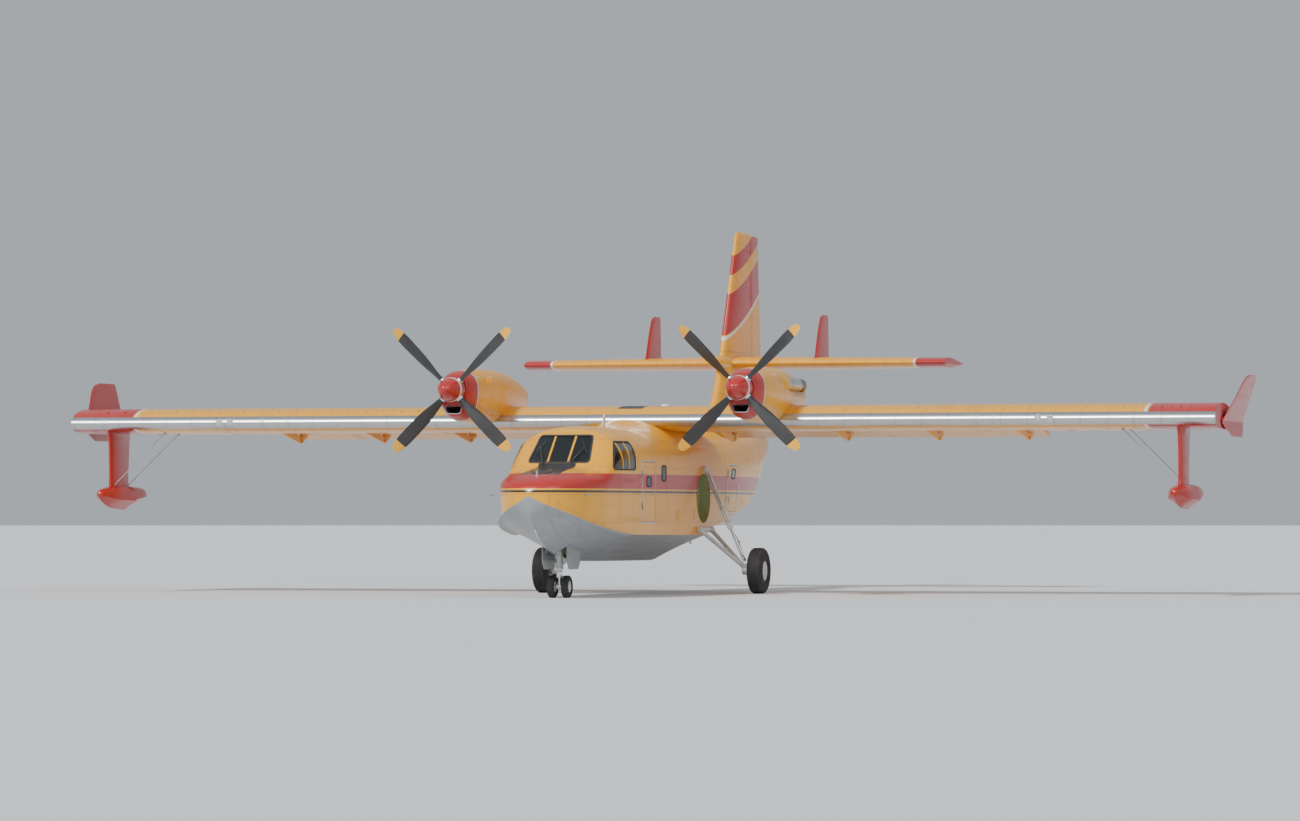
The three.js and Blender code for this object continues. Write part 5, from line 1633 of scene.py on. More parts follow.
            shop.piece("water_scoop", Form().slab(outline, "y", side * 0.36, side * 0.5), ALLOY, bevel=0.008)
            vents = Form()
            slat = ((1.285, 0.0), (1.314, 0.0), (1.297, 0.032), (1.285, 0.032))
            for start in (7.2, 8.6):
                for z in (1.76, 1.81, 1.86, 1.91, 1.96):
                    vents.slab([(side * y, z + up) for y, up in slat], "x", start, start + 0.22)
            shop.piece("tank_vents", vents, HULL_PAINT, bevel=0.003)

    def build(self) -> None:
        """Builds the whole hull."""
        self.build_skins()
        self.build_wells()
        self.build_glazing()
        self.build_doors()
        self.build_fittings()


@dataclass
class Cabin:
    """The flight deck's seats, panel, controls and floor, and the tank behind."""

    shop: Workshop
    hull: Hull
    floor: float = 1.74
    panel_station: float = 2.56
    seat_station: float = 3.35
    seat_y: float = 0.5

    def build_panel(self) -> None:
        """Makes the instrument panel, its coaming, dials and pedestal."""
        s = self.panel_station
        room = self.hull.solid(1.6, 4.0, 0.053)
        board = Form().slab(rounded(box_outline(-1.02, 1.02, 2.28, 2.86), 0.06), "x", s, s + 0.06)
        board = board.carve(("INTERSECT", room))
        board.slab(rounded(box_outline(-0.17, 0.17, self.floor, 2.32), 0.03), "x", s, s + 0.62)
        self.shop.piece("panel_board", board.settle(), PLASTIC, replaces=["instrument_panel"])
        section = ((0.13, 2.84), (0.1, 2.87), (-0.22, 2.86), (-0.22, 2.83))
        hood = [[at(s + back, y, z - 0.1 * y * y) for back, z in section]
                for y in (-0.86, -0.6, -0.3, 0.0, 0.3, 0.6, 0.86)]
        self.shop.piece("panel_hood", Form().loft(hood), PLASTIC, crease=25)
        bezels, faces, marks = Form(), Form(), Form()
        for side in (-1, 1):
            for column in range(4):
                for line in range(3):
                    centre = at(s + 0.06, side * (0.24 + 0.17 * column), 2.44 + 0.145 * line)
                    rim = [(0.064, 0.0), (0.064, 0.012), (0.05, 0.014), (0.05, 0.0)]
                    bezels.lathe(rim, centre, -AHEAD, 20, looped=True)
                    faces.lathe([(0.05, 0.0), (0.05, 0.006), (0.0, 0.006)], centre, -AHEAD, 20)
                    needle = centre - AHEAD * 0.009
                    tip = across_x(0.7 * column + 1.1 * line + side) * 0.04
                    marks.tube([needle - tip * 0.3, needle + tip], 0.0022, 4)
                    for angle in spaced(0.0, 0.628, 10):
                        tick = across_x(angle)
                        marks.tube([needle + tick * 0.038, needle + tick * 0.046], 0.0014, 4)
        self.shop.piece("dial_bezels", bezels, PLASTIC)
        self.shop.piece("dial_faces", faces, DIAL)
        self.shop.piece("dial_marks", marks, MARKING)

    def build_seats(self) -> None:
        """Makes the two seats with cushions and control wheels."""
        s = self.seat_station
        for side in Side:
            shop = self.shop.on(side)
            y = side * self.seat_y
            shell = Form()
            shell.slab(rounded(box_outline(s, s + 0.5, y - 0.23, y + 0.23), 0.05), "z", 2.09, 2.12)
            shell.slab(rounded(box_outline(y - 0.23, y + 0.23, 2.1, 2.99), 0.08), "x", s + 0.47, s + 0.505)
            for edge in (-0.15, 0.15):
                shell.tube([at(s + 0.05, y + edge, self.floor), at(s + 0.16, y + edge, 2.09)], 0.018, 10)
                shell.tube([at(s + 0.46, y + edge, self.floor), at(s + 0.4, y + edge, 2.09)], 0.018, 10)
                shell.slab(box_outline(s, s + 0.55, y + edge - 0.02, y + edge + 0.02), "z", self.floor,
                           self.floor + 0.02)
                shell.tube([at(s + 0.46, y + edge * 1.53, 2.35), at(s + 0.12, y + edge * 1.53, 2.36)], 0.02,
                           10)
            shop.piece("seat_frame", shell, ALLOY, replaces=["seat"], bevel=0.003)
            for name, low, high in (("pan", (s + 0.02, y - 0.21, 2.12), (s + 0.45, y + 0.21, 2.2)),
                                    ("back", (s + 0.4, y - 0.2, 2.22), (s + 0.47, y + 0.2, 2.9))):
                made = shop.piece(f"seat_{name}_cushion", self.cushion(low, high), CLOTH, crease=60)
            hub, up = s - 0.42, 2.48
            angles = (math.radians(a) for a in spaced(-50, 28, 11))
            wheel = [at(hub, y + 0.16 * math.cos(a), up + 0.14 * math.sin(a)) for a in angles]
            column = Form().tube(wheel, 0.013, 8)
            column.tube([at(hub, y - 0.15, up), at(hub, y + 0.15, up)], 0.014, 8)
            column.tube([at(hub, y, up), at(s - 0.5, y, up - 0.02), at(s - 0.52, y, self.floor)], 0.022, 10)
            shop.piece("control_wheel", column, PLASTIC)

    def cushion(self, low: Sequence[float], high: Sequence[float]) -> Form:
        """A crowned pad with pulled-in sides.

        Args:
            low: Its lowest station, y and height.
            high: Its highest.

        Returns:
            The pad.
        """
        rings = []
        for t in shares(10):
            pinch = 1 - 0.22 * abs(2 * t - 1) ** 4
            ring = []
            for a in turns(28):
                c, d = math.cos(a), math.sin(a)
                reach = 0.5 * (abs(c) ** 5 + abs(d) ** 5) ** -0.2 * pinch
                ring.append(at(mix(low[0], high[0], 0.5 + c * reach), mix(low[1], high[1], 0.5 + d * reach),
                               mix(low[2], high[2], t)))
            rings.append(ring)
        return Form().loft(rings)

    def build(self) -> None:
        """Builds the cabin and dresses the solids that stay."""
        self.build_panel()
        self.build_seats()
        kept = {"cabin_floor": LINING, "water_tank": ALLOY, "engine_left": ENGINE_CAST,
                "engine_right": ENGINE_CAST}
        for node, finish in kept.items():
            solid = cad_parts[node]
            solid.data.materials.clear()
            solid.data.materials.append(finish.material())


def half_thickness(x: float, thickness: float) -> float:
    """Half the thickness of a wing section at a share of its chord."""
    return 5 * thickness * (0.2969 * math.sqrt(x) - 0.126 * x - 0.3516 * x**2 + 0.2843 * x**3 - 0.1036 * x**4)


def camber(x: float) -> float:
    """The camber of the wing section.

    Args:
        x: The share of its chord.

    Returns:
        The camber, as a share of the chord.
    """
    crest, height = 0.4, 0.04
    if x < crest:
        return height / crest**2 * (2 * crest * x - x**2)
    return height / (1 - crest) ** 2 * (1 - 2 * crest + 2 * crest * x - x**2)


def wing_point(along: float, up: float) -> tuple[float, float]:
    """A point given by the wing's chord.

    Args:
        along: How far it lies along the chord.
        up: How far above it.

    Returns:
        The point's station and height.
    """
    x = along - CHORD / 4
    return (WING_NOSE + CHORD / 4 + x * math.cos(INCIDENCE) + up * math.sin(INCIDENCE),
            WING_Z - x * math.sin(INCIDENCE) + up * math.cos(INCIDENCE))


def face_height(x: float, face: int) -> float:
    """How far the wing's upper or lower face, 1 or -1, lies above its chord line."""
    return CHORD * (camber(x) + face * half_thickness(x, THICKNESS))


def upper(x: float, up: float = 0.0) -> tuple[float, float]:
    """A point of the wing's upper surface at a share of the chord."""
    return wing_point(x * CHORD, face_height(x, 1) + up)


def lower(x: float, up: float = 0.0) -> tuple[float, float]:
    """A point of the wing's lower surface at a share of the chord."""
    return wing_point(x * CHORD, face_height(x, -1) + up)


def around(steps: int) -> list[tuple[float, int]]:
    """Shares of a section's chord aft along one face and forward along the other, with each face's sign."""
    aft = shares(steps, True)
    return [(t, 1) for t in aft] + [(t, -1) for t in aft[-2:0:-1]]


def bulge(radius: float, share: float) -> float:
    """How far a control surface's face stands out of a straight line at a share of its length."""
    return 0.03 * radius * math.sin(math.pi * share)


def control_ring(hinge: tuple[float, float], radius: float,
                 end: tuple[float, float]) -> list[tuple[float, float]]:
    """A control surface's outline: a round nose about its hinge and a thin end.

    Args:
        hinge: Where its hinge lies.
        radius: The radius of its nose.
        end: Where it ends.

    Returns:
        The points of the outline.
    """
    nose = [(hinge[0] + radius * math.cos(a), hinge[1] + radius * math.sin(a))
            for a in (math.pi / 2 + math.pi * t for t in shares(14))]
    faces = [[(mix(hinge[0], end[0], t),
               mix(hinge[1] + side * radius, end[1] + side * THIN / 2, t) + side * bulge(radius, t))
              for t in (0.35, 0.7, 1.0)] for side in (-1, 1)]
    return nose + faces[0] + faces[1][::-1]


@dataclass
class Wing:
    """One half of the wing with its flap, aileron, winglet, float and fittings."""

    shop: Workshop
    side: Side
    root: float = 1.35
    tip: float = 13.95
    flap: tuple[float, float] = (1.4, 9.4)
    aileron: tuple[float, float] = (9.48, 13.7)
    flap_lower: float = 0.7
    flap_upper: float = 0.79
    hinge_share: float = 0.775
    flap_rest: float = 10.0
    arms: tuple[float, ...] = (1.9, 4.7, 6.9, 9.05)
    end: float = 0.985
    # height, distance out, nose and end station
    winglet_rows: tuple[tuple[float, ...], ...] = (
        (3.66, 14.01, 9.02, 10.3),
        (3.75, 13.995, 8.72, 10.5),
        (4.0, 13.951, 8.08, 10.78),
        (4.14, 13.98, 8.33, 10.78),
        (4.5, 14.09, 8.8, 10.82),
        (5.04, 14.252, 9.52, 10.89),
        (5.1, 14.269, 9.9, 10.86),
    )
    # share of the length, share of the beam, then heights of keel, chine and deck
    float_fore: tuple[tuple[float, ...], ...] = (
        (0, 0.1, 0.31, 0.355, 0.43),
        (0.03, 0.3, 0.25, 0.335, 0.465),
        (0.08, 0.5, 0.18, 0.31, 0.5),
        (0.25, 0.9, 0.05, 0.24, 0.56),
        (0.56, 1.0, 0.0, 0.22, 0.58),
    )
    float_aft: tuple[tuple[float, ...], ...] = (
        (0.56, 0.98, 0.06, 0.25, 0.58),
        (0.85, 0.7, 0.19, 0.32, 0.54),
        (1.0, 0.2, 0.31, 0.36, 0.46),
    )
    float_step: float = 0.56
    float_y: float = 13.08

    def spread(self, section: Outline, low: float, high: float) -> Form:
        """A wing section of this side drawn out between two distances from the middle."""
        return Form().slab(section, "y", self.side * low, self.side * high)

    def __post_init__(self) -> None:
        """Works out the aileron's nose and the bay in front of it."""
        self.nose_radius = CHORD * half_thickness(self.hinge_share, THICKNESS) * 0.98
        self.bay = self.hinge_share - (self.nose_radius + RUN + 0.004) / CHORD

    def section(self, cut: tuple[float, float] | None) -> list[tuple[float, float]]:
        """The wing's outline, with what lies behind a line folded onto that line.

        Args:
            cut: The shares of the chord where the line meets the lower and upper surface, if any.

        Returns:
            Station and height of each point, equally many with and without a cut.
        """
        even = [self.end * t for t in shares(26, True)]
        tops = sorted(set(even + [self.flap_upper, self.bay]), reverse=True)
        bottoms = sorted(set(even + [self.flap_lower, self.bay]))[1:]
        if cut is None:
            return [upper(x) for x in tops] + [lower(x) for x in bottoms]
        low, high = lower(cut[0]), upper(cut[1])
        above = [upper(x) for x in tops if x <= cut[1] + 1e-6]
        below = [lower(x) for x in bottoms if x <= cut[0] + 1e-6]
        gone_above, gone_below = len(tops) - len(above), len(bottoms) - len(below)
        line = [0.5 + 0.5 * i / gone_above for i in range(gone_above)]
        line += [0.5 * (i + 1) / gone_below for i in range(gone_below)]
        folded = [(mix(low[0], high[0], t) - 0.03 * math.sin(math.pi * t), mix(low[1], high[1], t))
                  for t in line]
        return folded[:gone_above] + above + below + folded[gone_above:]

    def build_panel(self) -> None:
        """Makes the fixed part of the wing with its flap arms and jacking pad."""
        whole = self.section(None)
        zones = [(self.root, whole)]
        for (low, high), cut in ((self.flap, (self.flap_lower, self.flap_upper)),
                                 (self.aileron, (self.bay, self.bay))):
            short = self.section(cut)
            zones += [(low - RUN, whole), (low - RUN, short), (high + RUN, short), (high + RUN, whole)]
        rings = [[at(s, self.side * y, z) for s, z in outline] for y, outline in zones + [(self.tip, whole)]]
        self.shop.piece("wing_panel", Form().loft(rings), WING_PAINT, replaces=["wing"])
        hinge = self.hinge_share * CHORD
        arms = Form()
        for y in self.arms:
            outline = [lower(0.42, 0.02), lower(0.42, -0.012), lower(0.5, -0.07), lower(0.6, -0.14),
                       wing_point(hinge - 0.03, -0.3), wing_point(hinge + 0.04, -0.28),
                       wing_point(hinge + 0.045, -0.2), lower(0.69, -0.03), lower(0.69, 0.02)]
            arms.take(self.spread(rounded(outline, 0.012, 3), y - 0.03, y + 0.03))
        self.shop.piece("flap_arms", arms, WING_PAINT, bevel=0.01)
        station, z = lower(0.28)
        foot = 3.72
        pad = Form().lathe([(0.07, 0.0), (0.07, z + 0.02 - foot)], at(station, self.side * ENGINE_Y, foot),
                           UP, 24)
        self.shop.piece("jack_pad", pad, ALLOY)

    def flap_turn(self) -> tuple[Matrix, Vector]:
        """The turn of the flap about its hinge to its rest.

        Returns:
            The turn and the hinge.
        """
        station, z = wing_point(self.hinge_share * CHORD, -0.23)
        hinge = at(station, 0, z)
        turn = Matrix.Rotation(math.radians(-self.flap_rest), 4, "Y")
        return Matrix.Translation(hinge) @ turn @ Matrix.Translation(-hinge), hinge

    def build_flap(self) -> None:
        """Makes the flap with its hinge cheeks, at its rest."""
        low = (self.flap_lower * CHORD, face_height(self.flap_lower, -1))
        high = (self.flap_upper * CHORD, face_height(self.flap_upper, 1))
        back = Curves([(0.0, 0.075), (0.06, 0.034), (0.3, 0.014), (0.75, 0.014), (0.94, 0.034), (1.0, 0.06)])
        nose = [wing_point(mix(low[0], high[0], t) + back(t)[0], mix(low[1], high[1], t))
                for t in shares(12)[:-1]]
        top = [upper(mix(0.806, self.end, t), -0.006) for t in shares(10)]
        bottom = [lower(mix(0.75, self.end, t)) for t in shares(10)][::-1]
        turn, hinge = self.flap_turn()
        form = self.spread(nose + top + bottom, *self.flap)
        station, z = NOSE_X - hinge.x, hinge.z
        for y in self.arms:
            for cheek in (-1, 1):
                outline = [(station - 0.04, z), (station, z - 0.045), (station + 0.06, z), lower(0.87, 0.03),
                           lower(0.77, 0.03)]
                form.take(self.spread(rounded(outline, 0.012, 3), y + cheek * 0.04, y + cheek * 0.056))
                pin = at(station, self.side * (y + cheek * 0.0305), z)
                form.lathe([(0.026, 0.0), (0.026, 0.026)], pin, PORT * (self.side * cheek), 16)
        self.shop.piece("flap_skin", Form().take(form, turn), WING_PAINT, "flap", ["flap"])

    def build_aileron(self) -> None:
        """Makes the aileron with its pins, static wicks and rivets."""
        hinge = wing_point(self.hinge_share * CHORD, CHORD * camber(self.hinge_share))
        end = wing_point(0.995 * CHORD, CHORD * camber(0.995))
        radius = self.nose_radius
        form = self.spread(control_ring(hinge, radius, end), *self.aileron)
        for y, out in zip(self.aileron, (-1, 1)):
            pin = at(hinge[0], self.side * (y - out * 0.02), hinge[1])
            form.lathe([(0.03, 0.0), (0.03, 0.03)], pin, PORT * (self.side * out), 16)
        self.shop.piece("aileron_skin", form, WING_PAINT, "aileron", ["aileron"])
        wicks = [[(at(end[0] - 0.01, self.side * y, end[1]), Vector((-1, 0, -0.05))) for y in (10.2, 13.5)]]
        self.shop.studs("aileron_wicks", wicks, PLASTIC, WICK, 0.6, "aileron")
        lines = []
        for y in spaced(self.aileron[0] + 0.12, 0.44, 10):
            for face in (1, -1):
                line = []
                for t in (0.1, 0.5, 0.92):
                    rise = mix(radius, THIN / 2, t) + bulge(radius, t) - 0.001
                    z = mix(hinge[1], end[1], t) + face * rise
                    line.append((at(mix(hinge[0], end[0], t), self.side * y, z), UP * face))
                lines.append(line)
        self.shop.studs("aileron_rivets", lines, WING_PAINT, FLAT_RIVET, 0.07, "aileron")

    def build_winglet(self) -> None:
        """Makes the plate that closes the wing tip, leaning outwards, with its lamp."""
        rows = Curves(self.winglet_rows)
        foot, crest, half = self.winglet_rows[0][0], self.winglet_rows[-1][0], 0.023
        rings = []
        for z in [mix(foot, crest, t) for t in shares(24)]:
            y, nose, end = rows(z)
            thin = 0.45 + 0.55 * min(1.0, (z - foot) / 0.1, (crest - z) / 0.06)
            out = [(t, y + half + face * thin * half * min(1.0, half_thickness(t, 1.0) * 2 + 0.06))
                   for t, face in around(8)]
            rings.append([at(mix(nose, end, t), self.side * across, z) for t, across in out])
        self.shop.piece("winglet_skin", Form().loft(rings), RED_PAINT, replaces=["winglet"], crease=40)
        shape = [(0.0, 0.11), (0.02, 0.1), (0.032, 0.05), (0.034, -0.05), (0.02, -0.1), (0.0, -0.11)]
        lamp = Form().lathe(shape, at(8.3, self.side * 13.985, 4.05), AHEAD, 20)
        self.shop.piece("tip_lamp", lamp, LAMP_RED if self.side is Side.LEFT else LAMP_GREEN)

    def build_float(self) -> None:
        """Makes the float with its step, the pylon that carries it and the braces to the wing."""
        y0, nose, length, keel, beam = self.side * self.float_y, 6.95, 2.9, 1.98, 0.31
        fore, aft = Curves(self.float_fore), Curves(self.float_aft)
        places = [0.0, 0.01, 0.03, 0.06, 0.1, 0.15, 0.2, 0.27, 0.35, 0.45, 0.559, 0.56, 0.65, 0.75, 0.85,
                  0.92, 0.97, 1.0]
        rings = []
        for share in places:
            wide, low, chine, top = (fore if share < self.float_step else aft)(share)
            blunt = 0.35 if share in (0.0, 1.0) else 1.0
            half = wide * beam * blunt
            middle = 0.5 * (low + top)
            low, chine, top = (mix(middle, v, blunt) for v in (low, chine, top))
            outline = [(0.0, low), (half * 0.5, mix(low, chine, 0.5) + 0.012 * blunt), (half, chine)]
            for t in shares(8)[1:]:
                a = t * math.pi / 2
                outline.append((half * 0.98 * math.cos(a) ** 0.7, chine + (top - chine) * math.sin(a) ** 0.8))
            outline[-1] = (0.0, top)
            outline += [(-y, z) for y, z in outline[-2:0:-1]]
            rings.append([at(nose + share * length, y0 + y, keel + z) for y, z in outline])
        self.shop.piece("float_shell", Form().loft(rings), RED_PAINT, replaces=["float"])
        foot, head = 2.56, 4.06
        rows = []
        for z in (2.54, 2.6, 2.8, 3.1, 3.4, 3.62, 3.78, 3.95):
            fillet = 0.08 * max(0.0, (z - 3.5) / 0.45) ** 2 + 0.05 * max(0.0, (2.64 - z) / 0.1)
            share = (z - foot) / (head - foot)
            nose, chord = mix(7.65, 7.59, share) - fillet, mix(1.15, 1.33, share) + 2 * fillet
            out = [(t, face * (half_thickness(t, 0.13) * chord + 0.3 * fillet * math.sin(math.pi * t)))
                   for t, face in around(12)]
            rows.append([at(nose + t * chord, y0 + across, z) for t, across in out])
        self.shop.piece("float_pylon_skin", Form().loft(rows), RED_PAINT, replaces=["float_pylon"])
        wires, inboard = Form(), y0 - self.side * 1.35
        for station in (7.75, 8.65):
            wires.tube([at(station, y0 - self.side * 0.05, foot), at(station + 0.1, inboard, 3.83)], 0.011, 8)
            wires.lathe([(0.03, -0.02), (0.03, 0.02), (0.0, 0.03)], at(station + 0.1, inboard, 3.81), UP, 12)
        self.shop.piece("float_braces", wires, STEEL)

    def set_discs(self, name: str, finish: Finish, places: Sequence[float], seat: tuple[float, float],
                  axis: Vector, sides: int, profile: Outline) -> None:
        """Makes one piece of equal round fittings that stand in a row along the span.

        Args:
            name: The piece's name.
            finish: Its finish.
            places: How far out each fitting sits.
            seat: The station and the height of the row.
            axis: The direction of the fittings' axes.
            sides: The number of sides of a fitting.
            profile: Pairs of radius and distance along the axis.
        """
        form = Form()
        for y in places:
            form.lathe(profile, at(seat[0], self.side * y, seat[1]), axis, sides)
        self.shop.piece(name, form, finish)

    def build_fittings(self) -> None:
        """Makes rivets, landing lamp, vortex plates, fuel caps and access plates."""
        side, faces = self.side, ((upper, 1), (lower, -1))
        lines = [[(at(surface(x)[0], side * y, surface(x)[1]), UP * face) for y in (1.5, 13.9)]
                 for x in (0.03, 0.16, 0.34, 0.52, 0.64) for surface, face in faces]
        self.shop.studs("spar_rivets", lines, WING_PAINT, RIVET, 0.09)
        lines = []
        for y in spaced(1.62, 0.62, 20):
            for surface, face in faces:
                line = []
                for x in spaced(0.02, 0.06, 11):
                    here = Vector(surface(x))
                    slope = (Vector(surface(x + 0.02)) - here).normalized()
                    line.append((at(here.x, side * y, here.y), Vector((slope.y * face, 0, slope.x * face))))
                lines.append(line)
        self.shop.studs("rib_rivets", lines, WING_PAINT, RIVET, 0.075)
        lamp = [(0.0, 0.05), (0.05, 0.045), (0.085, 0.02), (0.095, -0.02), (0.0, -0.02)]
        cap = [(0.09, -0.03), (0.09, 0.004), (0.075, 0.009), (0.03, 0.009), (0.03, 0.016), (0.0, 0.016)]
        plate = [(0.11, 0.02), (0.11, -0.003), (0.1, -0.005), (0.0, -0.005)]
        spots = (2.3, 4.9, 6.6, 8.4, 10.3, 12.2)
        self.set_discs("landing_lamp", LAMP, (9.86, 10.14), wing_point(0.03, 0.015), AHEAD, 24, lamp)
        plates = Form()
        s, z = upper(0.09)
        for k in range(38):
            y, toe = side * (5.2 + 0.22 * k), 0.014 * (-1) ** k
            foot = [at(s + along, y + toe * along / 0.04 + across, z + 0.16 * along - 0.004)
                    for along, across in ((-0.04, -0.002), (-0.04, 0.002), (0.04, 0.002), (0.04, -0.002))]
            crest = [p + Vector((0.0 if i > 1 else -0.03, 0, 0.03)) for i, p in enumerate(foot)]
            plates.loft([foot, crest])
        self.shop.piece("vortex_plates", plates, WING_PAINT)
        self.set_discs("fuel_caps", ALLOY, (5.6, 8.2), upper(0.42), Vector((0.06, 0, 1)), 28, cap)
        self.set_discs("access_plates", WING_PAINT, spots, lower(0.45), Vector((0.09, 0, 1)), 28, plate)

    def build(self) -> None:
        """Builds this half of the wing."""
        self.build_panel()
        self.build_flap()
        self.build_aileron()
        self.build_winglet()
        self.build_float()
        self.build_fittings()


@dataclass
class WingCentre:
    """The wing over the hull, the fairing under it and its walkway."""

    shop: Workshop
    hull: Hull
    half: float = 1.35
    saddle: float = 1.2  # half the fairing's width
    # station, rise over the roof
    rises: tuple[tuple[float, ...], ...] = (
        (5.8, 0.0),
        (6.5, 0.03),
        (7.0, 0.12),
        (7.4, 0.24),
        (8.0, 0.3),
        (10.2, 0.26),
        (10.9, 0.08),
        (11.5, 0.0),
    )

    def roof(self, station: float, y: float) -> float:
        """The hull's roof.

        Args:
            station: Where it is taken.
            y: How far from its middle.

        Returns:
            Its height there.
        """
        _, _, _, side_y, side_z, roof = self.hull.row(station)
        power = self.hull.roof_power
        return side_z + (roof - side_z) * (1 - (abs(y) / side_y) ** power) ** (1 / power)

    def build(self) -> None:
        """Builds the middle of the wing."""
        tops = [0.985 * t for t in shares(26, True)]
        outline = [upper(x) for x in reversed(tops)] + [lower(x) for x in tops[1:]]
        self.shop.piece("wing_middle", Form().slab(outline, "y", -self.half, self.half), WING_PAINT,
                        replaces=["wing_centre"])
        rise = Curves(self.rises)
        rings = []
        for s in [mix(self.rises[0][0], self.rises[-1][0], t) for t in shares(44)]:
            top, under = [], []
            for y in [mix(-self.saddle, self.saddle, t) for t in shares(28)]:
                share = max(0.0, math.cos(math.pi * y / 2 / self.saddle)) ** 0.7
                top.append(at(s, y, self.roof(s, y) - 0.012 + rise(s)[0] * share))
                under.append(at(s, y, self.roof(s, y) - 0.04))
            rings.append(top + under[::-1])
        self.shop.piece("wing_saddle", Form().loft(rings), HULL_PAINT)
        walk = [[at(s, y, z + up) for y, up in box_outline(-0.3, 0.3, -0.004, 0.003)]
                for s, z in (upper(x) for x in spaced(0.12, 0.05, 10))]
        self.shop.piece("wing_walkway", Form().loft(walk), WALKWAY)
        s, z = upper(0.35)
        dome = [(0.12, -0.04), (0.12, 0.0), (0.1, 0.035), (0.05, 0.055), (0.0, 0.06)]
        self.shop.piece("satellite_dome", Form().lathe(dome, at(s, 0.62, z), UP, 28), WHITE_PAINT)


